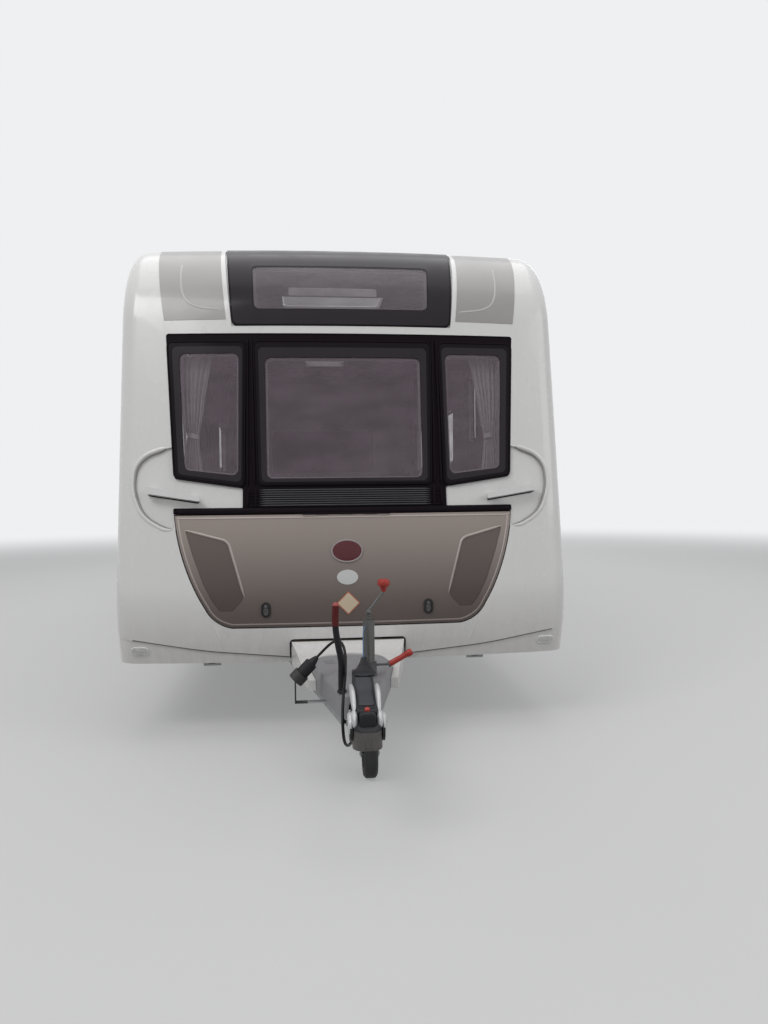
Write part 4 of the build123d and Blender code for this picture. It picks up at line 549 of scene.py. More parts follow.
FRAME_DRESS = {
    Finishes.white: "front_panel front_bumper roof_panel rear_panel drawbar_hood rear_bumper skirts"
                    " battery_hatch cassette_hatch",
    Finishes.side_skin: "nearside_wall offside_wall door",
    Finishes.corner_grey: "corner_panels",
    Finishes.bronze: "locker_lid",
    Finishes.frame_black: "front_window_band",
    Finishes.gloss_black: "front_windows side_windows sunroof door_window",
    Finishes.roof_pane: "roof_lights",
    Finishes.grip: "grab_handles",
    Finishes.clear_lens: "lamps",
    Finishes.fitting: "lid_fittings",
    Finishes.liner: "locker_box hatch_liners",
    Finishes.arch: "arch_liners",
    Finishes.floor_board: "floor",
    Finishes.anodised: "awning_rails",
    Finishes.galvanised: "chassis_rails cross_members axle steady_brackets jockey_fork",
    Finishes.drawbar_zinc: "drawbar_rails",
    Finishes.zinc_tube: "jockey_tube jockey_stem",
    Finishes.cast: "jockey_clamp",
    Finishes.rubber: "jockey_wheel",
    Finishes.alloy: "nearside_rim offside_rim",
    Finishes.tyre: "nearside_tyre offside_tyre",
    Finishes.cover: "drawbar_cover",
    Finishes.head: "coupling_head",
    Finishes.bellows: "overrun_tube",
    Finishes.handle: "coupling_handle",
    Finishes.lever: "handbrake",
    Finishes.plug: "plug",
    Finishes.cable: "cable",
    Finishes.veneer: "furniture",
    Finishes.upholstery: "cushions",
    Finishes.curtain: "curtains",
}
NODE_FINISHES = {name: finish for finish, names in FRAME_DRESS.items() for name in names.split()}


# Meshes


def grid_faces(rows: int, columns: int, wrap_rows: bool = False, wrap_columns: bool = False) -> Array:
    """The quads of a grid of points, row by row.

    Args:
        rows: How many rows of points there are.
        columns: How many points a row has.
        wrap_rows: Whether the last row joins the first.
        wrap_columns: Whether each row's last point joins its first.

    Returns:
        (n, 4) vertex indices.
    """
    row = np.arange(rows if wrap_rows else rows - 1)[:, None]
    column = np.arange(columns if wrap_columns else columns - 1)[None, :]
    next_row, next_column = (row + 1) % rows, (column + 1) % columns
    corners = (row * columns + column, row * columns + next_column,
               next_row * columns + next_column, next_row * columns + column)
    return np.stack(np.broadcast_arrays(*corners), axis=-1).reshape(-1, 4)


def link(name: str, data: bpy.types.ID) -> bpy.types.Object:
    """Puts a mesh, curve, camera or lamp into the scene as an object of that name."""
    thing = bpy.data.objects.new(name, data)
    bpy.context.scene.collection.objects.link(thing)
    return thing


def smooth_by_angle(piece: bpy.types.Object, degrees: float) -> None:
    """Adds the modifier that welds a mesh and shades it smooth except across sharp edges.

    Args:
        piece: The object.
        degrees: The angle past which an edge stays sharp.
    """
    name = f"smooth_{degrees:g}"
    group = bpy.data.node_groups.get(name)
    if group is None:
        group = bpy.data.node_groups.new(name, "GeometryNodeTree")
        for way in ("INPUT", "OUTPUT"):
            group.interface.new_socket("Geometry", in_out=way, socket_type="NodeSocketGeometry")
        entry = add_node(group, "NodeGroupInput", {}).outputs[0]
        weld = add_node(group, "GeometryNodeMergeByDistance", {"Geometry": entry, "Distance": 4 * WELD})
        angle = add_node(group, "GeometryNodeInputMeshEdgeAngle", {}).outputs["Unsigned Angle"]
        sharp = add_node(
            group, "FunctionNodeCompare", {"A": angle, "B": math.radians(degrees)}, operation="LESS_THAN"
        ).outputs["Result"]
        faces = add_node(group, "GeometryNodeSetShadeSmooth", {"Geometry": weld.outputs["Geometry"]})
        inputs = {"Geometry": faces.outputs["Geometry"], "Shade Smooth": sharp}
        edges = add_node(group, "GeometryNodeSetShadeSmooth", inputs, domain="EDGE")
        add_node(group, "NodeGroupOutput", {0: edges.outputs["Geometry"]})
    piece.modifiers.new("smooth", "NODES").node_group = group


def chord_normals(path: Array, closed: bool) -> Array:
    """The unit normals of a path's chords, a quarter turn to the left of each."""
    tangent = np.roll(path, -1, axis=0) - np.roll(path, 1, axis=0) if closed else np.gradient(path, axis=0)
    tangent /= np.maximum(np.linalg.norm(tangent, axis=1, keepdims=True), 1e-9)
    return np.stack([-tangent[:, 1], tangent[:, 0]], axis=1)


def run_along(path: Array) -> Array:
    """The distance along a path at each of its points: the running sum of its steps' lengths."""
    return np.concatenate([[0], np.cumsum(np.linalg.norm(np.diff(path, axis=0), axis=1))])


@dataclass(frozen=True)
class Piece:
    """A piece to be made: its name and finish, the body that carries it and the node that it replaces."""

    name: str
    finish: Finish
    body: Body = Body.CARAVAN
    replaced: str = ""

    def mesh(
        self, points: Array, faces: Array | list, angle: float = 0.0, uv: Array | None = None
    ) -> bpy.types.Object:
        """Makes the piece from a mesh: points that coincide are merged, and closed meshes face outwards.

        Args:
            points: Its vertices, (..., 3).
            faces: Its faces, as rows of vertex indices.
            angle: The angle past which an edge stays sharp, or 0 to leave the modifier out.
            uv: One (u, v) for each vertex, or None.

        Returns:
            The new object, at the origin.
        """
        mesh = bpy.data.meshes.new(self.name)
        rows = faces.tolist() if isinstance(faces, np.ndarray) else faces
        mesh.from_pydata(points.reshape(-1, 3).tolist(), [], rows)
        mesh.shade_smooth()
        if uv is not None:
            layer = mesh.uv_layers.new(name="surface")
            corner_vertex = np.zeros(len(mesh.loops), dtype=np.int32)
            mesh.loops.foreach_get("vertex_index", corner_vertex)
            layer.data.foreach_set("uv", uv.reshape(-1, 2)[corner_vertex].astype(np.float32).ravel())
        cleaned = bmesh.new()
        cleaned.from_mesh(mesh)
        bmesh.ops.remove_doubles(cleaned, verts=cleaned.verts[:], dist=WELD)
        bmesh.ops.dissolve_degenerate(cleaned, edges=cleaned.edges[:], dist=WELD)
        bmesh.ops.recalc_face_normals(cleaned, faces=cleaned.faces[:])
        cleaned.to_mesh(mesh)
        cleaned.free()
        piece = link(self.name, mesh)
        mesh.materials.append(self.finish.material())
        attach(piece, self.body.value)
        if angle:
            smooth_by_angle(piece, angle)
        if self.replaced:
            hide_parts(self.replaced)
        return piece

    def skin(
        self, rings: Array, angle: float, looped: bool = False, capped: bool = False
    ) -> bpy.types.Object:
        """Makes the piece as a skin over rings of points.

        Args:
            rings: (n, m, 3) points, each row a closed ring.
            angle: The angle past which an edge stays sharp.
            looped: Whether the last ring joins the first.
            capped: Whether a face closes the first and the last ring.

        Returns:
            The new object.
        """
        rows, sides = rings.shape[:2]
        faces = grid_faces(rows, sides, looped, True).tolist()
        if capped:
            faces += [list(range(sides))[::-1], list(range((rows - 1) * sides, rows * sides))]
        return self.mesh(rings, faces, angle)

    def slab(
        self, outline: Array, surface: Surface, front: float, back: float, bulge: float = 0.0
    ) -> bpy.types.Object:
        """Makes a closed sheet over an outline, crowned in its middle.

        The outline is scaled towards its middle in rings; each ring stands proud of the surface by
        front + bulge * (1 - share ^ 2) on the outer face, and by back on the inner one.

        Args:
            outline: (n, 2) places on the surface.
            surface: The surface that it follows.
            front: How far its outer face stands proud at its edge.
            back: How far its inner face stands proud.
            bulge: How much further its middle stands proud.

        Returns:
            The new object.
        """
        share = np.linspace(0, 1, SLAB_RINGS)[:, None, None]
        middle = (outline.min(axis=0) + outline.max(axis=0)) / 2
        places = middle + (outline - middle) * share
        crown = (1 - share[..., 0] ** 2) * bulge
        outer = surface(places[..., 0], places[..., 1], front + crown)
        inner = surface(places[::-1, :, 0], places[::-1, :, 1], back + crown[::-1])
        return self.skin(np.concatenate([outer, inner]), 35)

    def stacked(self, outlines: list[Array], proud: list[float] | tuple, surface: Surface) -> Array:
        """Matching outlines on a surface, each at its own distance proud, as rings of points."""
        return np.stack([surface(ring[:, 0], ring[:, 1], out) for ring, out in zip(outlines, proud)])

    def border(
        self, outlines: list[Array], proud: list[float] | tuple, surface: Surface
    ) -> bpy.types.Object:
        """Makes a closed frame: matching outlines, in order round its section, joined in a ring."""
        return self.skin(self.stacked(outlines, proud, surface), 30, looped=True)

    def terrace(
        self, outlines: list[Array], proud: list[float] | tuple, surface: Surface
    ) -> bpy.types.Object:
        """Makes a closed form that rises in steps: matching outlines, closed at both ends."""
        return self.skin(self.stacked(outlines, proud, surface), 38, capped=True)

    def boss(
        self, place: Pair, half: Pair, steps: Steps, surface: Surface, count: int
    ) -> bpy.types.Object:
        """Makes a small elliptical boss.

        Args:
            place: Its middle on the surface.
            half: Its half width and half height.
            steps: Rows of a share of that size and how far it stands proud there.
            surface: The surface that it follows.
            count: How many points are round it.

        Returns:
            The new object.
        """
        shares, proud = zip(*steps)
        rings = [ellipse(*place, half[0] * share, half[1] * share, count) for share in shares]
        return self.terrace(rings, proud, surface)

    def bead(
        self, path: Array, profile: Array, surface: Surface, closed: bool = False, taper: float = 0.0
    ) -> bpy.types.Object:
        """Makes a section of (across, proud) carried along a path on a surface, square to its chords.

        Args:
            path: (n, 2) places on the surface.
            profile: (m, 2) rows of distance across the path and distance proud.
            surface: The surface that it follows.
            closed: Whether the path's last place joins its first.
            taper: The length over which each open end swells from nothing.

        Returns:
            The new object.
        """
        size = np.ones(len(path))
        if taper:
            run = run_along(path)
            size = np.sqrt(np.clip(np.minimum(run, run[-1] - run) / taper, 0.02, 1))
        across = profile[None, :, :1] * size[:, None, None]
        places = path[:, None] + chord_normals(path, closed)[:, None] * across
        points = surface(places[..., 0], places[..., 1], profile[None, :, 1] * size[:, None])
        return self.skin(points, 45, looped=closed, capped=not closed)

    def tube(self, path: Array, radius: Array | float, sides: int = 16) -> bpy.types.Object:
        """Makes a closed tube: a round section in frames from a fixed up direction, crossed twice.

        Args:
            path: (n, 3) points.
            radius: Its radius, or one for each point.
            sides: Points round its section.

        Returns:
            The new object.
        """
        tangent = np.gradient(path, axis=0)
        tangent /= np.linalg.norm(tangent, axis=1, keepdims=True)
        up = np.array([0.031, 0.17, 0.985])
        if np.abs(tangent @ up).max() > 0.94:
            up = np.array([0.98, 0.17, 0.05])
        side = np.cross(tangent, up)
        side /= np.linalg.norm(side, axis=1, keepdims=True)
        lift = np.cross(side, tangent)
        turn = np.linspace(0, 2 * np.pi, sides, endpoint=False)
        section = np.cos(turn)[None, :, None] * side[:, None] + np.sin(turn)[None, :, None] * lift[:, None]
        radius = np.broadcast_to(np.asarray(radius, float), len(path))
        return self.skin(path[:, None] + section * radius[:, None, None], 40, capped=True)

    def turned(
        self, profile: list[Pair], origin: Triple, direction: Triple, sides: int = 32, angle: float = 40.0
    ) -> bpy.types.Object:
        """Makes a profile of (along, radius) turned about an axis.

        Args:
            profile: Distance along the axis and radius, first and last at radius 0.
            origin: A point on the axis, where along is 0.
            direction: The axis.
            sides: Points round it.
            angle: The angle past which an edge stays sharp.

        Returns:
            The new object.
        """
        along, radius = np.array(profile).T
        axis = np.asarray(direction, float) / np.linalg.norm(direction)
        helper = np.array([0.0, 0.0, 1.0]) if abs(axis[2]) < 0.9 else np.array([1.0, 0.0, 0.0])
        side = np.cross(axis, helper)
        side /= np.linalg.norm(side)
        lift = np.cross(side, axis)
        turn = np.linspace(0, 2 * np.pi, sides, endpoint=False)
        section = np.cos(turn)[:, None] * side + np.sin(turn)[:, None] * lift
        path = np.asarray(origin, float) + along[:, None] * axis
        return self.skin(path[:, None] + radius[:, None, None] * section[None], angle)


# Surfaces and outlines


@dataclass
class FrontSurface:
    """The front's shape: a side view of lines and arcs, bowed across about an upright axis.

    A point is given by x and its height z (or its run along the side view), and how far it stands
    proud of the surface along its normal.
    """

    bow_radius: float = 9.0
    corners: Array = field(default_factory=lambda: np.array(
        [(0.225, -0.110), (0.0, 0.600), (0.077, 1.114), (0.254, 2.110)]
    ))
    bend_radii: Pair = (0.700, 0.900)
    roof_samples: int = 60
    bend_samples: int = 24
    level_run: float = 0.6
    samples: int = 2000

    def __post_init__(self) -> None:
        """Works out the side view's samples: depth, height and normal by run."""
        slope = np.arctan2(*(self.corners[3] - self.corners[2])[::-1])
        roof_radius = (ROOF_Z - self.corners[3, 1]) / (1 - np.cos(slope))
        bends = [self.bend(*self.corners[i - 1:i + 2], radius) for i, radius in zip((1, 2), self.bend_radii)]
        turn = np.linspace(slope, 0, self.roof_samples)[1:]
        centre = self.corners[3] + roof_radius * np.array([np.sin(slope), -np.cos(slope)])
        roof = centre + roof_radius * np.stack([-np.sin(turn), np.cos(turn)], axis=1)
        level = [[centre[0] + self.level_run, ROOF_Z]]
        outline = np.concatenate([self.corners[:1], *bends, self.corners[3:], roof, level])
        run = run_along(outline)
        self.run = np.linspace(0, run[-1], self.samples)
        self.depth = np.interp(self.run, run, outline[:, 0])
        self.height = np.interp(self.run, run, outline[:, 1])
        tangent = np.stack([np.gradient(self.depth), np.gradient(self.height)], axis=1)
        tangent /= np.linalg.norm(tangent, axis=1, keepdims=True)
        self.forward, self.upward = tangent[:, 1], tangent[:, 0]

    def bend(self, before: Array, corner: Array, after: Array, radius: float) -> Array:
        """Points round the arc that eases one corner: a slerp of the two directions about its centre.

        Args:
            before: The corner before it.
            corner: The corner.
            after: The corner after it.
            radius: The arc's radius.

        Returns:
            (bend_samples, 2) points.
        """
        into = (corner - before) / np.linalg.norm(corner - before)
        out = (after - corner) / np.linalg.norm(after - corner)
        turn = np.arccos(np.clip(into @ out, -1, 1))
        start = corner - into * radius * np.tan(turn / 2)
        across = out - (out @ into) * into
        across /= np.linalg.norm(across)
        angle = np.linspace(0, turn, self.bend_samples)[:, None]
        return start + radius * (np.sin(angle) * into + (1 - np.cos(angle)) * across)

    def run_at(self, z: Array | float) -> Array:
        """The run along the side view at a height."""
        return np.interp(z, self.height, self.run)

    def at_run(self, x: Array, run: Array, proud: Array | float = 0.0) -> Array:
        """Points at x and a run: y = axis - sqrt((radius - depth)^2 - x^2), moved out by proud.

        Args:
            x: Places across.
            run: Places along the side view.
            proud: How far the points stand out along the normal.

        Returns:
            (..., 3) points.
        """
        tables = (self.depth, self.height, self.forward, self.upward)
        depth, height, forward, upward = (np.interp(run, self.run, table) for table in tables)
        around = self.bow_radius - depth
        back = np.sqrt(around ** 2 - x ** 2)
        axis_y = FRONT_Y + self.bow_radius
        return np.stack([
            x + proud * forward * x / around,
            axis_y - back - proud * forward * back / around,
            height + proud * upward,
        ], axis=-1)

    def at(self, x: Array, z: Array | float, proud: Array | float = 0.0) -> Array:
        """Points at x and a height z on the surface, moved out by proud."""
        x, z = np.broadcast_arrays(np.asarray(x, float), np.asarray(z, float))
        return self.at_run(x, self.run_at(z), proud)


FRONT = FrontSurface()


def side_surface(side: int, x: float = HALF_WIDTH) -> Surface:
    """The flat surface of one side: places (y, z) go to (side * (x + proud), y, z).

    Args:
        side: 1 for the nearside, -1 for the offside.
        x: How far the surface is from the centre line.

    Returns:
        A function of y, z and proud.
    """
    def place(y: Array, z: Array, proud: Array | float = 0.0) -> Array:
        """Points of the side."""
        y, z, proud = np.broadcast_arrays(y, z, proud)
        return np.stack([side * (x + proud), y, z], axis=-1)
    return place


def rear_surface(x: Array, z: Array, proud: Array | float = 0.0) -> Array:
    """Points of the rear: it leans forward in a straight line above its bend."""
    x, z, proud = np.broadcast_arrays(x, z, proud)
    lean = np.clip(z - REAR_BEND_Z, 0, None) * REAR_LEAN / (ROOF_Z - REAR_BEND_Z)
    return np.stack([x, REAR_Y - lean + proud, z], axis=-1)


def level_surface(x: Array, y: Array, proud: Array | float = 0.0) -> Array:
    """Points of the level plane z = 0, moved up by proud."""
    return np.stack(np.broadcast_arrays(x, y, proud), axis=-1)


def roof_surface(x: Array, y: Array, proud: Array | float = 0.0) -> Array:
    """Points of the roof's top, moved up by proud."""
    return level_surface(x, y, ROOF_Z + np.asarray(proud))


def to_side(places: Array, side: int) -> Array:
    """Places given for the nearside, on the side asked for."""
    return places * np.array([side, 1])


def rounded_outline(corners: Array, radius: float | Array, per_corner: int = 8, per_side: int = 16) -> Array:
    """A closed outline with each corner turned on an arc, a rational quadratic from tangent to tangent.

    Args:
        corners: (n, 2) corners in order.
        radius: The corners' radius, or one for each.
        per_corner: Points on each arc.
        per_side: Points along each straight side.

    Returns:
        (n * (per_corner + per_side), 2) points.
    """
    corners = np.asarray(corners, float)
    into = corners - np.roll(corners, 1, axis=0)
    out = np.roll(corners, -1, axis=0) - corners
    into /= np.linalg.norm(into, axis=1, keepdims=True)
    out /= np.linalg.norm(out, axis=1, keepdims=True)
    turn = np.arccos(np.clip((into * out).sum(axis=1), -1, 1))
    reach = np.broadcast_to(radius, turn.shape) * np.tan(turn / 2)
    start, end = corners - into * reach[:, None], corners + out * reach[:, None]
    step = np.linspace(0, 1, per_corner)[None, :, None]
    weight = (1 - step) ** 2, 2 * step * (1 - step) * np.cos(turn / 2)[:, None, None], step ** 2
    blend = weight[0] * start[:, None] + weight[1] * corners[:, None] + weight[2] * end[:, None]
    arcs = blend / (weight[0] + weight[1] + weight[2])
    along = np.linspace(0, 1, per_side + 2)[None, 1:-1, None]
    sides = arcs[:, -1:] * (1 - along) + np.roll(arcs, -1, axis=0)[:, :1] * along
    return np.concatenate([arcs, sides], axis=1).reshape(-1, 2)


def inset_outline(outline: Array, distance: float) -> Array:
    """An outline moved inwards by a distance along the normals of its chords."""
    normal = chord_normals(outline, closed=True)
    inward = np.sign(((outline.mean(axis=0) - outline) * normal).sum()) or 1.0
    return outline + inward * distance * normal


def rectangle(x: float, z: float, width: float, height: float, cut: float = 0.0) -> Array:
    """A rectangle's corners about a place, each side moved in by cut."""
    signs = np.array([(-1, -1), (1, -1), (1, 1), (-1, 1)])
    return signs * (np.array([width, height]) / 2 - cut) + np.array([x, z])


def plate(x: float, z: float, width: float, height: float, radius: float) -> Array:
    """A small rounded rectangle's outline about a place."""
    return rounded_outline(rectangle(x, z, width, height), radius, per_side=6)


def stadium(x: float, z: float, width: float, height: float) -> Array:
    """A slot's outline about a place, with round ends."""
    return plate(x, z, width, height, min(width, height) / 2 * 0.98)


def ellipse(x: float, z: float, half_width: float, half_height: float, count: int = 64) -> Array:
    """An ellipse about a place: (x + a cos t, z + b sin t)."""
    turn = np.linspace(0, 2 * np.pi, count, endpoint=False)
    return np.stack([x + half_width * np.cos(turn), z + half_height * np.sin(turn)], axis=1)


def eased_path(corners: Array | tuple | list, radius: float, count: int) -> Array:
    """An open path whose corners are eased by quadratic curves, with points spread evenly by length.

    Args:
        corners: (n, d) corners in order.
        radius: How far from each corner the curve starts.
        count: How many points come back.

    Returns:
        (count, d) points.
    """
    corners = np.asarray(corners, float)
    corner = corners[1:-1]
    into, out = corner - corners[:-2], corners[2:] - corner
    far_in, far_out = (np.linalg.norm(way, axis=1, keepdims=True) for way in (into, out))
    reach = np.minimum(radius, np.minimum(far_in, far_out) / 2)
    start, end = corner - into / far_in * reach, corner + out / far_out * reach
    step = np.linspace(0, 1, 9)[None, :, None]
    middle = 2 * step * (1 - step) * corner[:, None]
    eased = (1 - step) ** 2 * start[:, None] + middle + step ** 2 * end[:, None]
    points = np.concatenate([corners[:1], eased.reshape(-1, corners.shape[1]), corners[-1:]])
    run = run_along(points)
    places = np.linspace(0, run[-1], count)
    return np.stack([np.interp(places, run, column) for column in points.T], axis=1)


def dome_profile(width: float, height: float, sink: float = 0.003, count: int = 9) -> Array:
    """A bead's section as (across, proud): half an ellipse on a foot sunk below the surface."""
    turn = np.linspace(0, np.pi, count)
    crown = np.stack([-np.cos(turn) * width / 2, np.sin(turn) * height], axis=1)
    return np.concatenate([crown, [[width / 2, -sink], [-width / 2, -sink]]])


def soft_ring(half_width: Array, half_height: Array, power: float, sides: int) -> Array:
    """A superellipse |a|^p + |b|^p = 1 scaled to half sizes: rounder at power 2, squarer above.

    Args:
        half_width: Half its size along its first axis, one for each of n rings.
        half_height: Half its size along its second axis, one for each.
        power: How square it is.
        sides: Points round it.

    Returns:
        (n, sides, 2) places.
    """
    turn = np.linspace(0, 2 * np.pi, sides, endpoint=False)
    shape = np.stack([np.cos(turn), np.sin(turn)], axis=1)
    shape = np.sign(shape) * np.abs(shape) ** (2 / power)
    return shape[None] * np.stack([half_width, half_height], axis=1)[:, None]


def upright(ring: Array, x: Array | float, y: Array, z: Array | float) -> Array:
    """Rings as points: their places go across and up from x and z, one of each for each ring, at y."""
    x, y, z = (np.broadcast_to(np.reshape(value, (-1, 1)), ring.shape[:2]) for value in (x, y, z))
    return np.stack([x + ring[..., 0], y, z + ring[..., 1]], axis=-1)


# Sub-assemblies


@dataclass
class Studio:
    """The pale floor, the soft light and the camera at the photograph's view."""

    camera_place: Triple = (-0.1841, -6.1593, 1.2175)
    yaw: float = 0.0966
    pitch: float = -0.0287
    roll: float = -0.0106
    focal_pixels: float = 773.1
    image_long_side: float = 1024.0
    sensor: float = 36.0
    clip_end: float = 500.0
    floor_half: float = 60.0
    floor_rows: int = 9
    floor_fade: Pair = (6.0, 22.0)
    floor_colour: Triple = (0.40, 0.395, 0.39)
    floor_shade: float = 0.97
    floor_glow: float = 0.30
    backdrop: Triple = (0.86, 0.87, 0.88)
    ambient_colour: Quad = (0.97, 0.985, 1.0, 1.0)
    ambient: float = 0.42
    lamps: tuple[tuple[str, Triple, Triple, Pair, float], ...] = (
        ("key", (-5.5, -8.0, 9.0), (0, -1.0, 1.2), (6, 4), 380),
        ("fill", (7.5, -6.0, 5.0), (0, 0.5, 1.0), (6, 5), 130),
        ("top", (0, 0.0, 9.5), (0.1, 0.0, 0), (9, 9), 260),
        ("rear", (3.0, 11.0, 5.5), (0, 2.0, 1.2), (7, 4), 170),
    )

    def camera(self) -> None:
        """Places the camera: yaw about the vertical, then pitch, then roll about its own axis."""
        data = bpy.data.cameras.new("photo_camera")
        data.sensor_width = self.sensor
        data.lens = self.focal_pixels * self.sensor / self.image_long_side
        data.clip_end = self.clip_end
        sin_yaw, cos_yaw = math.sin(self.yaw), math.cos(self.yaw)
        cos_pitch = math.cos(self.pitch)
        look = np.array([sin_yaw * cos_pitch, cos_yaw * cos_pitch, math.sin(self.pitch)])
        level = np.array([cos_yaw, -sin_yaw, 0.0])
        right = level * math.cos(self.roll) + np.cross(level, look) * math.sin(self.roll)
        bpy.context.scene.camera = self.aimed("photo_camera", data, right, look, self.camera_place)

    def aimed(
        self, name: str, data: bpy.types.ID, right: Array, look: Array, place: Triple
    ) -> bpy.types.Object:
        """Puts a camera or a lamp into the scene, with its axes as columns of its matrix.

        Args:
            name: Its name.
            data: The camera or lamp.
            right: The direction to its right.
            look: The direction that it faces.
            place: Where it stands.

        Returns:
            The new object.
        """
        thing = link(name, data)
        columns = [(*right, 0.0), (*np.cross(right, look), 0.0), (*-look, 0.0), (*place, 1.0)]
        thing.matrix_world = [[float(value) for value in column] for column in columns]
        return thing

    def seeing_rays(self, tree: bpy.types.NodeTree) -> Socket:
        """1 for rays that show the backdrop, by eye, in gloss or through glass, else 0."""
        path = add_node(tree, "ShaderNodeLightPath", {}).outputs
        seen = path["Is Camera Ray"]
        for kind in ("Is Glossy Ray", "Is Transmission Ray"):
            either = add_node(tree, "ShaderNodeMath", {0: seen, 1: path[kind]}, operation="MAXIMUM")
            seen = either.outputs["Value"]
        return seen

    def floor(self) -> None:
        """The floor: one large grid at z = 0 with a faint mottle, which fades into the backdrop."""
        span = np.linspace(-self.floor_half, self.floor_half, self.floor_rows)
        places = level_surface(*np.meshgrid(span, span)).reshape(-1, 3)
        mesh = bpy.data.meshes.new("studio_floor")
        mesh.from_pydata(places.tolist(), [], grid_faces(self.floor_rows, self.floor_rows).tolist())
        sheet = ShaderSheet("studio_floor")
        shade = tuple(channel * self.floor_shade for channel in self.floor_colour)
        distance = sheet.node("VectorMath", "Value", {0: sheet.place}, operation="LENGTH")
        far = sheet.reach(distance, *self.floor_fade, 0.0, 1.0)
        near = sheet.blend(sheet.noise(0.8, 2.0), shade, self.floor_colour)
        sheet.feed("Base Color", sheet.blend(far, near, (0.0, 0.0, 0.0)))
        sheet.set(Roughness=0.9, Emission_Color=(*self.backdrop, 1.0), Specular_IOR_Level=0.0)
        glow = sheet.reach(far, 0.0, 1.0, self.floor_glow, 1.0)
        sheet.feed("Emission Strength", sheet.combine("MULTIPLY", glow, self.seeing_rays(sheet.tree)))
        mesh.materials.append(sheet.material)
        link("studio_floor", mesh)

    def world(self) -> None:
        """The surround: an even pale light, and the backdrop for the rays that see it."""
        world = bpy.data.worlds.new("studio")
        bpy.context.scene.world = world
        world.use_nodes = True
        tree = world.node_tree
        light = tree.nodes["Background"]
        light.inputs["Color"].default_value = self.ambient_colour
        light.inputs["Strength"].default_value = self.ambient
        seen = add_node(tree, "ShaderNodeBackground", {"Color": (*self.backdrop, 1.0), "Strength": 1.0})
        inputs = {"Fac": self.seeing_rays(tree), 1: light.outputs[0], 2: seen.outputs[0]}
        mix = add_node(tree, "ShaderNodeMixShader", inputs)
        tree.links.new(mix.outputs[0], tree.nodes["World Output"].inputs["Surface"])

    def lamp(self, name: str, place: Triple, aim: Triple, size: Pair, power: float) -> None:
        """One soft rectangular lamp that faces a point.

        Args:
            name: The lamp's name.
            place: Where it stands.
            aim: The point that it faces.
            size: Its width and height.
            power: Its power in watts.
        """
        data = bpy.data.lights.new(name, "AREA")
        data.shape = "RECTANGLE"
        data.size, data.size_y = size
        data.energy = power
        look = np.subtract(aim, place)
        look = look / np.linalg.norm(look)
        right = np.cross(look, (0, 0, 1))
        self.aimed(name, data, right / np.linalg.norm(right), look, place)

    def build(self) -> None:
        """Makes the whole studio."""
        self.camera()
        self.floor()
        self.world()
        for lamp in self.lamps:
            self.lamp(*lamp)
        bpy.context.scene.view_settings.view_transform = "Standard"


@dataclass
class Cable:
    """The road lights' cable: from its plug over the cover, down beside the head and to its gland."""

    plug_top: Triple = (-0.159, -2.945, 0.524)
    plug_direction: Triple = (-0.69188, 0.0, -0.72196)
    second_run: float = 0.054
    diameter: float = 0.011
    length: float = 1.025
    gland: Triple = (-0.022, -3.225, 0.330)
    middle: tuple[Triple, ...] = (
        (-0.088, -2.985, 0.598), (-0.060, -3.045, 0.606), (-0.048, -3.107, 0.575), (-0.050, -3.155, 0.528),
        (-0.056, -3.225, 0.500), (-0.063, -3.315, 0.494), (-0.070, -3.395, 0.480), (-0.076, -3.459, 0.448),
        (-0.078, -3.495, 0.394), (-0.073, -3.485, 0.338), (-0.058, -3.433, 0.306), (-0.040, -3.363, 0.298),
        (-0.028, -3.290, 0.312),
    )

    def build(self, nodes: dict[str, bpy.types.Object]) -> None:
        """Args:
            nodes: The frame's nodes; not used.
        """
        data = bpy.data.curves.new("lead_cable", "CURVE")
        data.dimensions = "3D"
        data.bevel_depth = self.diameter / 2
        data.bevel_resolution = 6
        data.resolution_u = 14
        data.use_fill_caps = True
        second = np.array(self.plug_top) - np.array(self.plug_direction) * self.second_run
        route = (self.gland, *self.middle[::-1], second, self.plug_top)
        spline = data.splines.new("NURBS")
        spline.points.add(len(route) - 1)
        for point, place in zip(spline.points, route):
            point.co = (*place, 1.0)
        spline.order_u = 3
        spline.use_endpoint_u = True
        cable = link("lead_cable", data)
        data.materials.append(Finishes.cable.material())
        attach(cable, Body.CARAVAN.value)
        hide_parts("cable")


@dataclass(frozen=True)
class PaneShape:
    """One pane: its corners and its clear area's corners on the surface, with their radii."""

    name: str
    corners: Array | tuple[Pair, ...]
    clear: Array | tuple[Pair, ...]
    radius: float = 0.024
    clear_radius: float = 0.030

    def outlines(self) -> tuple[Array, Array]:
        """The pane's own outline and its clear area's, point for point."""
        return rounded_outline(self.corners, self.radius), rounded_outline(self.clear, self.clear_radius)

    def mirrored(self, name: str) -> PaneShape:
        """The same pane on the other side of the centre line."""
        flipped = [tuple((-x, z) for x, z in reversed(row)) for row in (self.corners, self.clear)]
        return PaneShape(name, *flipped, self.radius, self.clear_radius)


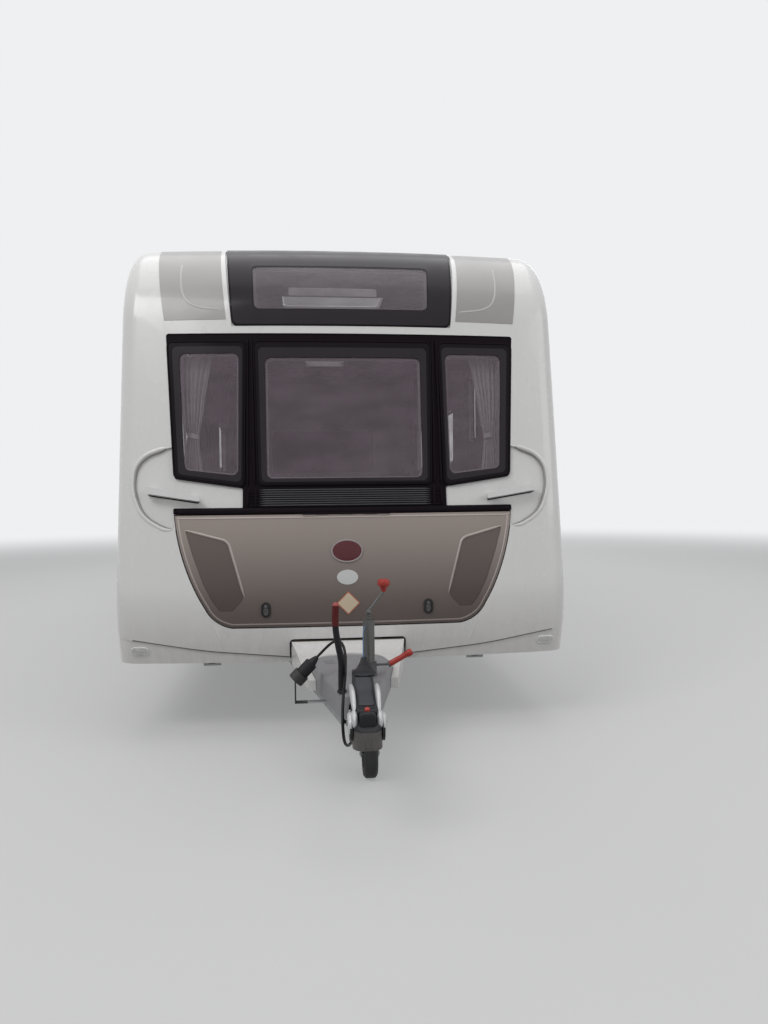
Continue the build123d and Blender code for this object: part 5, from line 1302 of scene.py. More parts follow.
@dataclass
class AcrylicWindow:
    """A window as acrylic windows are: a printed black border, a crowned clear middle, a blind's frame.

    Heights proud are in metres: back is the border's inner face, front its outer face. A smoked
    print lies over the border from smoked_from, as a share of the way from its edge, if that is
    below 1.
    """

    shape: PaneShape
    surface: Surface
    body: Body = Body.CARAVAN
    front: float = 0.0022
    back: float = -0.018
    edge: float = 0.0025
    crown: float = 0.004
    sheet: float = 0.003
    sheet_sink: float = 0.0012
    sheet_lap: float = 0.0015
    blind_depth: float = 0.012
    blind_width: float = 0.010
    blind_wall: float = 0.01
    blind_slope: float = 0.002
    steps: int = 7
    clear_finish: Finish = Finishes.pane
    replaced: str = ""
    smoked_from: float = 1.0
    smoked_to: float = 0.97
    print_rise: float = 0.0005
    print_foot: float = -0.001

    def build(self) -> None:
        """Makes the border, its print, the clear sheet and the blind's frame behind it."""
        name, surface, front, steps = self.shape.name, self.surface, self.front, self.steps
        outer, clear = self.shape.outlines()
        lip, heel = inset_outline(outer, self.edge), inset_outline(outer, 4 * self.edge)
        shares = np.linspace(0, 1, steps)
        outward = [lip + (clear - lip) * share for share in shares]
        inward = [clear + (heel - clear) * share for share in shares]
        proud = [self.back, front - self.edge, *[front] * steps,
                 *np.linspace(front - 2 * self.sheet, self.back, steps)]
        rim = Piece(f"{name}_border", Finishes.gloss_black, self.body, self.replaced)
        rim.border([outer, outer, *outward, *inward], proud, surface)
        if self.smoked_from < 1:
            shares = np.linspace(self.smoked_from, self.smoked_to, steps)
            rings = [lip + (clear - lip) * share for share in shares]
            levels = [front + self.print_rise] * steps + [front + self.print_foot] * 2
            Piece(f"{name}_print", Finishes.smoked_print, self.body).border(
                [*rings, rings[-1], rings[0]], levels, surface
            )
        face = front - self.sheet_sink
        Piece(f"{name}_pane", self.clear_finish, self.body).slab(
            inset_outline(clear, -self.sheet_lap), surface, face, face - self.sheet, self.crown
        )
        slim = inset_outline(clear, self.blind_width)
        depth = front - 2 * self.sheet - self.blind_depth
        foot = depth - self.blind_wall
        Piece(f"{name}_blind_frame", Finishes.frame_line, self.body).border(
            [clear, clear, slim, slim], [foot, depth, depth - self.blind_slope, foot], surface
        )
        LOG.info("window %s", name)


@dataclass
class FrontGlazing:
    """The three front panes in their black band, with ribbed mullions and rubber seals."""

    centre: PaneShape = PaneShape(
        "front_centre",
        ((-0.452, 1.978), (0.452, 1.978), (0.431, 1.252), (-0.431, 1.252)),
        ((-0.397, 1.895), (0.397, 1.895), (0.390, 1.279), (-0.390, 1.279)),
    )
    side: PaneShape = PaneShape(
        "front_nearside",
        ((0.500, 1.977), (0.888, 1.977), (0.843, 1.291), (0.507, 1.241)),
        ((0.530, 1.918), (0.830, 1.918), (0.796, 1.326), (0.531, 1.294)),
    )
    smoked_from: float = 0.34
    seal: Triple = (0.009, 0.0035, 0.008)
    seal_gap: float = 0.004
    ribs: tuple[tuple[Pair, Pair], ...] = (
        ((0.466, 2.000), (0.452, 1.246)), ((0.486, 2.000), (0.486, 1.240)), ((0.446, 1.238), (0.446, 1.140)),
        ((0.480, 1.232), (0.488, 1.140)),
    )
    strip: tuple[Pair, ...] = ((-0.846, 1.119), (0.846, 1.119))
    vent_half: float = 0.428
    vent_heights: Pair = (1.146, 1.222)
    vent_ribs: int = 8
    sleeve: tuple[Triple, ...] = ((-0.215, -2.323, 1.1035), (0.215, -2.323, 1.1035))
    sleeve_radius: float = 0.0046

    def build(self) -> None:
        """Makes the panes, their seals, the mullions' ribs and the locker's hinge strip."""
        for shape in (self.centre, self.side, self.side.mirrored("front_offside")):
            AcrylicWindow(shape, FRONT.at, replaced="front_windows", smoked_from=self.smoked_from).build()
            edge = inset_outline(shape.outlines()[0], -self.seal_gap)
            Piece(f"{shape.name}_seal", Finishes.frame_black).bead(
                edge, dome_profile(*self.seal), FRONT.at, closed=True
            )
        for number, line in enumerate(self.ribs):
            for side, name in SIDES:
                Piece(f"mullion_rib_{number}_{name}", Finishes.frame_black).bead(
                    to_side(np.linspace(*line, 40), side), dome_profile(0.011, 0.004, 0.010), FRONT.at,
                    taper=0.01,
                )
        for number, z in enumerate(np.linspace(*self.vent_heights, self.vent_ribs)):
            line = np.linspace((-self.vent_half, z), (self.vent_half, z), 30)
            Piece(f"vent_rib_{number}", Finishes.strip_grey).bead(
                line, dome_profile(0.008, 0.0055, 0.010, 7), FRONT.at, taper=0.006
            )
        Piece("locker_hinge_strip", Finishes.frame_black).bead(
            np.linspace(*self.strip, 60), dome_profile(0.028, 0.005, 0.008), FRONT.at, taper=0.012
        )
        sleeve = np.linspace(*self.sleeve, 24)
        Piece("locker_hinge_sleeve", Finishes.frame_black).tube(sleeve, self.sleeve_radius)


@dataclass
class Sunroof:
    """The curved roof window over the front, its blind's bar and grip behind it, and lines on its corner
    panels in a painted highlight.

    Corners are given by x and height, and places on the roof's curve by x and run, so that rows
    stay even where it turns level.
    """

    outer: tuple[Pair, ...] = ((-0.565, 2.063), (0.565, 2.063), (0.627, 2.573), (-0.627, 2.573))
    clear: tuple[Pair, ...] = ((-0.452, 2.152), (0.444, 2.152), (0.462, 2.400), (-0.466, 2.400))
    bar: tuple[Pair, ...] = ((-0.276, 2.244), (0.184, 2.240), (0.184, 2.288), (-0.276, 2.292))
    grip: tuple[Pair, ...] = ((-0.200, 2.152), (0.049, 2.150), (0.049, 2.168), (-0.200, 2.170))
    inside: float = -0.022
    thickness: float = 0.012
    moulding: tuple[Pair, ...] = (
        (0.838, 2.430), (0.836, 2.346), (0.824, 2.250), (0.796, 2.190), (0.740, 2.162), (0.607, 2.147),
    )
    line_rise: float = 0.0012

    def by_run(self, corners: tuple[Pair, ...]) -> Array:
        """Corners given by x and height, as x and run."""
        return np.array([(x, float(FRONT.run_at(z))) for x, z in corners])

    def build(self) -> None:
        """Makes the window, the bar and grip behind it, and the lines moulded in the corner panels, in a
        painted highlight.
        """
        shape = PaneShape("sunroof", self.by_run(self.outer), self.by_run(self.clear), 0.034, 0.030)
        AcrylicWindow(
            shape, FRONT.at_run, front=0.005, back=-0.006, edge=0.004, crown=0.003, blind_width=0.014,
            clear_finish=Finishes.roof_pane, replaced="sunroof", smoked_from=0.05,
        ).build()
        for name, corners in (("sunroof_blind_bar", self.bar), ("sunroof_blind_grip", self.grip)):
            outline = rounded_outline(self.by_run(corners), 0.006, per_side=10)
            Piece(name, Finishes.blind_bar).slab(
                outline, FRONT.at_run, self.inside, self.inside - self.thickness, 0.003
            )
        path = eased_path(self.by_run(self.moulding), 0.05, 70)
        profile = dome_profile(0.010, 0.0022, 0.004) + np.array([0, self.line_rise])
        for side, name in SIDES:
            # the corner panels' moulded lines, in a painted highlight
            Piece(f"corner_line_{name}", Finishes.corner_highlight).bead(
                to_side(path, side), profile, FRONT.at_run, taper=0.03
            )


@dataclass
class LockerLid:
    """The gas locker's lid: pressed wedges, its rolled rim, two latches and three plain blanks; the wedges'
    edges and the rim carry a painted highlight.
    """

    wedge: tuple[Pair, ...] = ((0.790, 1.029), (0.582, 0.973), (0.503, 0.700))
    ridge: tuple[Pair, ...] = (
        (-0.008, -0.006), (-0.006, 0.0002), (-0.003, 0.0022), (0.000, 0.0026), (0.003, 0.0016),
        (0.005, -0.002), (0.007, -0.006),
    )
    top: Pair = (0.842, 1.100)
    waist: Pair = (0.789, 0.858)
    shin: Pair = (0.690, 0.648)
    heel: Pair = (0.640, 0.586)
    toe: Pair = (0.562, 0.553)
    wedge_field: tuple[Pair, ...] = (
        (0.793, 1.031), (0.582, 0.975), (0.500, 0.700), (0.560, 0.634), (0.622, 0.634), (0.659, 0.682),
        (0.702, 0.764), (0.756, 0.909),
    )
    wedge_radii: tuple[float, ...] = (0.010, 0.040, 0.060, 0.020, 0.020, 0.060, 0.200, 0.0)
    wedge_ease: float = 0.030
    wedge_taper: float = 0.05
    field_gap: float = 0.0015
    field_slab: Pair = (-0.0035, -0.012)
    rim_inset: float = 0.014
    rim: Triple = (0.008, 0.0018, 0.004)
    latch: Pair = (0.400, 0.638)
    latch_size: Pair = (0.047, 0.075)
    latch_steps: Steps = (
        (1.0, -0.006), (1.0, 0.003), (0.93, 0.006), (0.80, 0.006), (0.74, 0.001), (0.72, 0.0),
    )
    pull_drop: float = 0.010
    pull_size: Pair = (0.024, 0.036)
    pull_steps: Steps = ((1.0, -0.001), (1.0, 0.004), (0.8, 0.0062), (0.5, 0.0050))
    barrel_rise: float = 0.018
    barrel_half: Pair = (0.0085, 0.0085)
    barrel_steps: Steps = ((1.0, -0.001), (1.0, 0.004), (0.85, 0.0055), (0.5, 0.0055), (0.45, 0.0045))
    badge: Quad = (0.0, 0.918, 0.079, 0.057)
    badge_steps: Steps = (
        (0.0, -0.002), (0.0, 0.003), (0.002, 0.0048), (0.006, 0.0048), (0.008, 0.003),
    )
    badge_gap: float = 0.0075
    badge_slab: Triple = (0.0034, 0.001, 0.0045)
    disc: Quad = (0.0, 0.790, 0.052, 0.036)
    disc_slab: Triple = (0.0012, -0.002, 0.0012)
    label: Triple = (0.002, 0.664, 0.058)
    label_layers: tuple[tuple[Finish, float, float], ...] = (
        (Finishes.label_edge, 1.0, 0.0006), (Finishes.label_blank, 0.88, 0.0012),
    )
    label_corner: float = 0.004
    label_back: float = -0.002

    def piece(self, name: str, finish: Finish, replaced: str = "") -> Piece:
        """A piece that rides on the lid."""
        return Piece(name, finish, Body.LID, replaced)

    def arc(self, start: Pair, middle: Pair, end: Pair, count: int = 24) -> Array:
        """Points on the curve that passes through three places: a quadratic through the middle one."""
        start, middle, end = (np.array(place) for place in (start, middle, end))
        control = 2 * middle - (start + end) / 2
        step = np.linspace(0, 1, count)[:, None]
        return (1 - step) ** 2 * start + 2 * step * (1 - step) * control + step ** 2 * end

    def outline(self) -> Array:
        """The lid's edge, closed, from its top corners round its feet."""
        flank = np.concatenate([
            self.arc(self.top, self.waist, self.shin), self.arc(self.shin, self.heel, self.toe)[1:]
        ])
        foot = np.linspace(self.toe, (-self.toe[0], self.toe[1]), 40)[1:-1]
        back = np.linspace((-self.top[0], self.top[1]), self.top, 60)[1:-1]
        return np.concatenate([flank, foot, to_side(flank, -1)[::-1], back])

    def add_latch(self, side: int, name: str) -> None:
        """One latch: an oval surround, a sunk pull and its key barrel."""
        x, z = side * self.latch[0], self.latch[1]
        width, height = self.latch_size
        shares, proud = zip(*self.latch_steps)
        rings = [stadium(x, z, width * share, height - width + width * share) for share in shares]
        self.piece(f"latch_surround_{name}", Finishes.fitting, "lid_fittings").terrace(
            rings, proud, FRONT.at
        )
        width, height = self.pull_size
        shares, proud = zip(*self.pull_steps)
        low = z - self.pull_drop
        rings = [stadium(x, low, width * share, height - width * (1 - share)) for share in shares]
        self.piece(f"latch_pull_{name}", Finishes.latch_grey).terrace(rings, proud, FRONT.at)
        self.piece(f"latch_barrel_{name}", Finishes.zinc_tube).boss(
            (x, z + self.barrel_rise), self.barrel_half, self.barrel_steps, FRONT.at, 40
        )

    def build(self) -> None:
        """Makes the wedge's pressed edges and the rim, both in a painted highlight, the latches and the
        blanks.
        """
        path = eased_path(self.wedge, self.wedge_ease, 80)
        for side, name in SIDES:
            ridge = to_side(np.array(self.ridge), side)
            # the wedge's pressed edge, in a painted highlight
            self.piece(f"lid_wedge_edge_{name}", Finishes.bronze_highlight).bead(
                to_side(path, side), ridge, FRONT.at, taper=self.wedge_taper
            )
            self.add_latch(side, name)
            sunk = to_side(rounded_outline(self.wedge_field, np.array(self.wedge_radii)), side)
            self.piece(f"lid_wedge_{name}", Finishes.bronze_dark).slab(
                inset_outline(sunk, self.field_gap), FRONT.at, *self.field_slab
            )
        rim = inset_outline(self.outline(), self.rim_inset)
        # the rolled rim, in a painted highlight
        self.piece("lid_rim", Finishes.bronze_highlight).bead(
            rim, dome_profile(*self.rim), FRONT.at, closed=True
        )
        x, z, wide, high = self.badge
        cuts, proud = zip(*self.badge_steps)
        frame = [ellipse(x, z, wide - cut, high - cut) for cut in cuts]
        self.piece("badge_rim", Finishes.badge_rim).terrace(frame, proud, FRONT.at)
        self.piece("blank_badge", Finishes.blank_oval).slab(
            ellipse(x, z, wide - self.badge_gap, high - self.badge_gap), FRONT.at, *self.badge_slab
        )
        self.piece("blank_disc", Finishes.pale_oval).slab(ellipse(*self.disc), FRONT.at, *self.disc_slab)
        x, z, reach = self.label
        diamond = np.array([(0, -1), (1, 0), (0, 1), (-1, 0)])
        for finish, share, front in self.label_layers:
            corners = diamond * (reach * share) + np.array([x, z])
            outline = rounded_outline(corners, self.label_corner)
            self.piece(finish.name, finish).slab(outline, FRONT.at, front, self.label_back)


@dataclass
class FrontTrim:
    """Lines of the white front: the drawbar notch's seal, the bumper's crease and seam, the cheeks' lips, and
    lines of painted shade and shadow beside the cheeks and the grab handles.

    Each line is given for the nearside. Its shift moves its section across and proud.
    """

    notch_half: float = 0.2845
    notch_top: float = 0.4845
    notch_foot: float = 0.392
    notch_ease: float = 0.02
    notch_seal: Triple = (0.007, 0.002, 0.006)
    crease: tuple[Pair, ...] = ((0.652, 0.567), (0.603, 0.429))
    seam: tuple[Pair, ...] = ((1.052, 0.4937), (0.700, 0.434), (0.290, 0.3965))
    grip_line: tuple[Pair, ...] = ((0.976, 1.205), (0.722, 1.165))
    cheek: tuple[Pair, ...] = (
        (0.884, 1.437), (0.991, 1.399), (1.042, 1.338), (1.050, 1.230), (1.012, 1.128), (0.968, 1.080),
        (0.895, 1.040), (0.852, 1.033),
    )

    def build(self) -> None:
        """Makes the seal round the notch and the lines beside it."""
        half, top, foot = self.notch_half, self.notch_top, self.notch_foot
        path = eased_path([(-half, foot), (-half, top), (half, top), (half, foot)], self.notch_ease, 120)
        Piece("notch_seal", Finishes.frame_black).bead(path, dome_profile(*self.notch_seal), FRONT.at)
        crease, grip = np.linspace(*self.crease, 30), np.linspace(*self.grip_line, 40)
        seam, cheek = eased_path(self.seam, 0.10, 90), eased_path(self.cheek, 0.05, 120)
        lines = (
            ("bumper_crease", Finishes.white, crease, (0.016, 0.0016, 0.001), (0, 0), 0.05),
            ("bumper_seam", Finishes.seam_grey, seam, (0.0055, 0.0008, 0.003), (0, 0), 0.0),
            # painted shadow: a black strip under each grab handle's blade where its shadow falls
            ("grip_painted_shadow", Finishes.frame_black, grip, (0.011, 0.004, 0.004), (0, -0.0125), 0.01),
            # painted shade: a grey line along the top of each grab handle's blade
            ("grip_painted_shade", Finishes.painted_shade_grey, grip, (0.005, 0.003, 0.004), (0, 0.0135), 0.01),
            ("cheek_edge", Finishes.white, cheek, (0.018, 0.0045, 0.012), (0.007, 0), 0.04),
            # painted shade: a grey line on the inner side of each cheek's lip
            ("cheek_painted_shade", Finishes.painted_shade_grey, cheek, (0.009, 0.0030, 0.012), (-0.0045, 0), 0.04),
        )
        for side, side_name in SIDES:
            for name, finish, line, sizes, shift, taper in lines:
                profile = dome_profile(*sizes) + to_side(np.array(shift), side)
                Piece(f"{name}_{side_name}", finish).bead(to_side(line, side), profile, FRONT.at, taper=taper)


@dataclass
class Lamps:
    """Front markers, rear clusters, the high brake lamp and the reflectors.

    Steps are rows of how much is cut from the size, or for the bulb a share of its size, and how
    far it stands proud there.
    """

    marker_place: Pair = (1.021, 0.436)
    marker_size: Pair = (0.088, 0.042)
    marker_steps: Steps = (
        (0.0, -0.012), (0.0, -0.002), (0.006, 0.0), (0.012, -0.003), (0.030, -0.008),
    )
    cover_gap: float = 0.002
    cover_slab: Triple = (0.0015, 0.0005, 0.0045)
    bulb_shift: float = 0.012
    bulb_half: Pair = (0.008, 0.008)
    bulb_steps: Steps = ((1.0, -0.009), (1.0, -0.002), (0.8, 0.0005), (0.4, 0.0015))
    cluster_place: Pair = (0.965, 0.740)
    cluster_size: Pair = (0.120, 0.300)
    cluster_steps: Steps = ((0.0, -0.004), (0.0, 0.013), (0.008, 0.018), (0.012, 0.018))
    cluster_corner: float = 0.024
    lens_margin: float = 0.016
    lens_corner: float = 0.010
    lens_slab: Triple = (0.0205, 0.016, 0.003)
    segments: tuple[tuple[str, Finish, float, float], ...] = (
        ("tail", Finishes.red_lens, 0.098, 0.080), ("turn", Finishes.amber_lens, 0.022, 0.062),
        ("stop", Finishes.red_lens, -0.046, 0.062), ("reverse", Finishes.clear_lens, -0.112, 0.058),
    )
    reflector_place: Pair = (0.965, 0.520)
    reflector: tuple[Pair, ...] = ((-0.055, -0.032), (0.055, -0.032), (0.0, 0.063))
    reflector_corner: float = 0.006
    reflector_slab: Triple = (0.005, 0.0, 0.001)
    side_places: tuple[float, ...] = (-1.35, -0.10, 1.95, 3.20)
    side_height: float = 0.430
    side_size: Triple = (0.090, 0.028, 0.008)
    side_inset: float = 0.004
    side_slab: Triple = (0.007, 0.0, 0.003)
    brake: Quad = (0.0, 2.330, 0.360, 0.036)
    brake_corner: float = 0.014
    brake_slab: Triple = (0.010, 0.0, 0.002)

    def marker(self, side: int, name: str) -> None:
        """One front marker: a bright dish, a bulb in it and a clear cover."""
        x, z = side * self.marker_place[0], self.marker_place[1]
        width, height = self.marker_size
        cuts, proud = zip(*self.marker_steps)
        rings = [stadium(x, z, width - cut, height - cut) for cut in cuts]
        Piece(f"marker_base_{name}", Finishes.reflector, replaced="lamps").terrace(rings, proud, FRONT.at)
        Piece(f"marker_lens_{name}", Finishes.marker_lens).slab(
            stadium(x, z, width - self.cover_gap, height - self.cover_gap), FRONT.at, *self.cover_slab
        )
        Piece(f"marker_bulb_{name}", Finishes.pale_oval).boss(
            (x + self.bulb_shift, z), self.bulb_half, self.bulb_steps, FRONT.at, 32
        )

    def cluster(self, side: int, name: str) -> None:
        """One rear cluster: a black housing and four lenses, one below the other."""
        x, z = side * self.cluster_place[0], self.cluster_place[1]
        width, height = self.cluster_size
        cuts, proud = zip(*self.cluster_steps)
        rings = [plate(x, z, width - cut, height - cut, self.cluster_corner) for cut in cuts]
        Piece(f"rear_lamp_{name}", Finishes.frame_black).terrace(rings, proud, rear_surface)
        for part, finish, rise, tall in self.segments:
            lens = plate(x, z + rise, width - self.lens_margin, tall, self.lens_corner)
            Piece(f"{part}_lens_{name}", finish).slab(lens, rear_surface, *self.lens_slab)

    def build(self) -> None:
        """Makes all lamps and the reflectors on the sides and the rear."""
        for side, name in SIDES:
            self.marker(side, name)
            self.cluster(side, name)
            corners = np.array(self.reflector) + to_side(np.array(self.reflector_place), side)
            outline = rounded_outline(corners, self.reflector_corner, per_side=8)
            Piece(f"rear_reflector_{name}", Finishes.red_lens).slab(
                outline, rear_surface, *self.reflector_slab
            )
            flank = side_surface(side, HALF_WIDTH - self.side_inset)
            for number, y in enumerate(self.side_places):
                Piece(f"side_marker_{number}_{name}", Finishes.amber_lens).slab(
                    plate(y, self.side_height, *self.side_size), flank, *self.side_slab
                )
        Piece("brake_lens", Finishes.red_lens).slab(
            plate(*self.brake, self.brake_corner), rear_surface, *self.brake_slab
        )


@dataclass
class SideGlazing:
    """The side and rear windows, the door's window and its furniture, and the flaps' locks.

    A place is the middle of a window on its side, (y, z) or (x, z), with its width and height.
    """

    windows: tuple[tuple[str, int, Quad], ...] = (
        ("nearside_front", 1, (-1.330, 1.610, 0.860, 0.700)),
        ("nearside_middle", 1, (0.980, 1.690, 0.640, 0.540)),
        ("nearside_rear", 1, (2.600, 1.690, 0.800, 0.540)),
        ("offside_front", -1, (-1.330, 1.610, 0.860, 0.700)),
        ("offside_middle", -1, (0.040, 1.690, 0.900, 0.540)),
        ("offside_rear", -1, (2.350, 1.690, 0.640, 0.540)),
    )
    corner: float = 0.090
    print_width: float = 0.042
    proud: float = 0.010
    rail_rise: float = 0.006
    rail: Triple = (0.016, 0.008, 0.001)
    rail_taper: float = 0.01
    rear: Quad = (0.0, 1.700, 1.300, 0.560)
    blind_inset: float = 0.030
    blind_corner: float = 0.04
    blind_slab: Pair = (-0.036, -0.044)
    door: Quad = (-0.130, 1.850, 0.300, 0.560)
    door_corner: float = 0.060
    handle: Pair = (0.110, 1.180)
    handle_plate: Triple = (0.060, 0.206, 0.018)
    handle_steps: Steps = ((0.0, -0.002), (0.0, 0.004), (0.006, 0.0070), (0.016, 0.0070))
    handle_reach: Pair = (0.070, -0.040)
    handle_bar: Triple = (0.026, 0.006, 0.002)
    handle_stand: float = 0.0068
    handle_taper: float = 0.02
    lock_drop: float = 0.070
    lock_half: Pair = (0.011, 0.011)
    lock_steps: Steps = ((1.0, 0.005), (1.0, 0.0105), (0.8, 0.0120))
    flap_proud: float = 0.002
    boss_half: Pair = (0.017, 0.017)
    boss_steps: Steps = ((1.0, -0.002), (1.0, 0.003), (0.85, 0.006), (0.5, 0.006), (0.5, 0.003))
    barrel_half: Pair = (0.0078, 0.0078)
    barrel_steps: Steps = ((1.0, 0.001), (1.0, 0.0055), (0.8, 0.0065))
    battery_locks: tuple[Pair, ...] = ((1.520, 0.585), (1.760, 0.585))
    cassette_lock: Pair = (3.165, 0.770)

    def window(
        self, name: str, place: Quad, surface: Surface, corner: float, body: Body = Body.CARAVAN,
        replaced: str = "side_windows",
    ) -> None:
        """One outward window with its print, hinge rail and blind's frame.

        Args:
            name: The window's name.
            place: Its middle, width and height.
            surface: The side that it is on.
            corner: Its corners' radius.
            body: The body that carries it.
            replaced: The frame's node that it stands for.
        """
        clear = rectangle(*place, self.print_width)
        shape = PaneShape(name, rectangle(*place), clear, corner, corner - self.print_width / 2)
        AcrylicWindow(
            shape, surface, body, front=self.proud, back=-0.001, edge=0.003, crown=0.004, replaced=replaced
        ).build()
        a, b, width, height = place
        level = b + height / 2 + self.rail_rise
        rail = np.linspace((a - width / 2 + corner / 2, level), (a + width / 2 - corner / 2, level), 20)
        Piece(f"{name}_rail", Finishes.frame_black, body).bead(
            rail, dome_profile(*self.rail), surface, taper=self.rail_taper
        )

    def door_furniture(self) -> None:
        """The door's handle over its plate, and its lock."""
        surface = side_surface(1)
        y, z = self.handle
        width, height, corner = self.handle_plate
        cuts, proud = zip(*self.handle_steps)
        rings = [plate(y, z, width - cut, height - cut, corner) for cut in cuts]
        Piece("door_handle_plate", Finishes.fitting, Body.DOOR).terrace(rings, proud, surface)
        top, foot = self.handle_reach
        section = dome_profile(*self.handle_bar) + np.array([0, self.handle_stand])
        Piece("door_handle", Finishes.handle, Body.DOOR).bead(
            np.linspace((y, z + top), (y, z + foot), 24), section, surface, taper=self.handle_taper
        )
        Piece("door_lock", Finishes.zinc_tube, Body.DOOR).boss(
            (y, z - self.lock_drop), self.lock_half, self.lock_steps, surface, 32
        )

    def lock(self, name: str, side: int, place: Pair, body: Body) -> None:
        """A small round lock on a flap: a black boss and a bright barrel."""
        surface = side_surface(side, HALF_WIDTH + self.flap_proud)
        Piece(f"{name}_boss", Finishes.fitting, body).boss(
            place, self.boss_half, self.boss_steps, surface, 40
        )
        Piece(f"{name}_barrel", Finishes.zinc_tube, body).boss(
            place, self.barrel_half, self.barrel_steps, surface, 32
        )

    def build(self) -> None:
        """Makes every window behind the front, and what is on the door and the flaps."""
        for name, side, place in self.windows:
            self.window(f"{name}_window", place, side_surface(side), self.corner)
        self.window("rear_window", self.rear, rear_surface, self.corner)
        self.window(
            "door_window_pane", self.door, side_surface(1), self.door_corner, Body.DOOR, "door_window"
        )
        blind = rounded_outline(rectangle(*self.rear, self.blind_inset), self.blind_corner)
        Piece("rear_blind", Finishes.blind_cloth).slab(blind, rear_surface, *self.blind_slab)
        self.door_furniture()
        for number, place in enumerate(self.battery_locks):
            self.lock(f"battery_lock_{number}", 1, place, Body.BATTERY_FLAP)
        self.lock("cassette_lock", -1, self.cassette_lock, Body.CASSETTE_FLAP)


@dataclass
class Wheels:
    """Tyres with cut tread and moulded sidewalls, and the rims' bolts and caps.

    Profiles are rows of distance along the axle, from the rim's face, and radius.
    """

    centre: Triple = (1.004, 0.800, 0.317)
    half_tread: float = 0.0855
    half_bulge: float = 0.0975
    bead_radius: float = 0.196
    bulge_radius: float = 0.245
    wall_radius: float = 0.300
    groove_places: tuple[float, ...] = (-0.050, -0.020, 0.020, 0.050)
    groove_half: float = 0.004
    groove_depth: float = 0.006
    lugs: int = 54
    around: int = 270
    ring_height: float = 0.0012
    ring_radius: float = 0.232
    ring_step: float = 0.020
    rim_face: float = 0.050
    bolt_circle: float = 0.050
    bolts: int = 5
    bolt_seat: tuple[Pair, ...] = (
        (-0.002, 0.0), (-0.002, 0.0115), (0.002, 0.0115), (0.0022, 0.009), (0.0022, 0.0),
    )
    bolt: tuple[Pair, ...] = ((0.0, 0.0), (0.0, 0.0082), (0.009, 0.0082), (0.0105, 0.0066), (0.0105, 0.0))
    cap: tuple[Pair, ...] = (
        (-0.004, 0.0), (-0.004, 0.031), (0.006, 0.031), (0.010, 0.029), (0.0125, 0.024), (0.0142, 0.014),
        (0.0148, 0.0),
    )

    def section(self) -> Array:
        """The tyre's section as (across, radius): bulged walls and a tread with fine steps."""
        edge = self.centre[2]
        wall = eased_path([
            (self.half_tread - 0.012, edge), (self.half_tread, edge - 0.001),
            (self.half_bulge, self.bulge_radius), (0.084, self.bead_radius), (0.070, self.bead_radius),
        ], 0.030, 26)
        tread = np.linspace(-self.half_tread + 0.013, self.half_tread - 0.013, 66)
        crown = np.stack([tread, np.full_like(tread, edge)], axis=1)
        return np.concatenate([to_side(wall, -1)[::-1], crown, wall])

    def tyre(self, side: int, name: str, body: Body) -> None:
        """One tyre: the section turned about the axle, less grooves round and across the tread.

        Args:
            side: 1 for the nearside, -1 for the offside.
            name: The side's name.
            body: The wheel that carries it.
        """
        across, radius = self.section().T
        turn = np.linspace(0, 2 * np.pi, self.around, endpoint=False)[:, None]
        nearest = np.abs(across - np.array(self.groove_places)[:, None]).min(axis=0)
        circular = np.clip((self.groove_half - nearest) / 0.001, 0, 1)
        phase = (turn * self.lugs / (2 * np.pi) + np.abs(across)[None, :] * 14) % 1.0
        sipe = np.clip((0.12 - np.abs(phase - 0.5)) / 0.03, 0, 1) * (np.abs(across) > 0.024)[None, :]
        on_tread = np.clip((radius - self.wall_radius) / 0.008, 0, 1)
        cut = np.maximum(circular[None, :], 0.8 * sipe) * on_tread * self.groove_depth
        wall = np.clip((self.wall_radius - radius) / 0.004, 0, 1) * np.clip((radius - 0.205) / 0.004, 0, 1)
        wave = np.cos((radius - self.ring_radius) * 2 * np.pi / self.ring_step)
        rings = self.ring_height * np.clip(wave * 4 - 3, 0, 1) * wall
        distance = radius[None, :] - cut
        width = across + np.sign(across) * rings
        x, y, z = self.centre
        points = np.stack([
            np.broadcast_to(side * (x + width), distance.shape),
            y + distance * np.cos(turn),
            z + distance * np.sin(turn),
        ], axis=-1)
        Piece(f"{name}_road_tyre", Finishes.tyre, body, f"{name}_tyre").skin(points, 35, looped=True)

    def hub(self, side: int, name: str, body: Body) -> None:
        """The rim's middle: five bolts in sunk seats and a domed cap."""
        x, y, z = self.centre
        face, out = side * (x + self.rim_face), (side, 0, 0)
        for number in range(self.bolts):
            turn = 2 * np.pi * (number + 0.25) / self.bolts
            place = (face, y + self.bolt_circle * np.cos(turn), z + self.bolt_circle * np.sin(turn))
            seat = Piece(f"{name}_bolt_seat_{number}", Finishes.zinc_tube, body)
            seat.turned(self.bolt_seat, place, out, 28)
            Piece(f"{name}_bolt_{number}", Finishes.zinc_tube, body).turned(self.bolt, place, out, 6, 20)
        Piece(f"{name}_cap", Finishes.alloy, body).turned(self.cap, (face, y, z), out, 40)

    def build(self) -> None:
        """Makes both tyres and both hubs."""
        for side, name in SIDES:
            body = Body(f"{name}_wheel")
            self.tyre(side, name, body)
            self.hub(side, name, body)


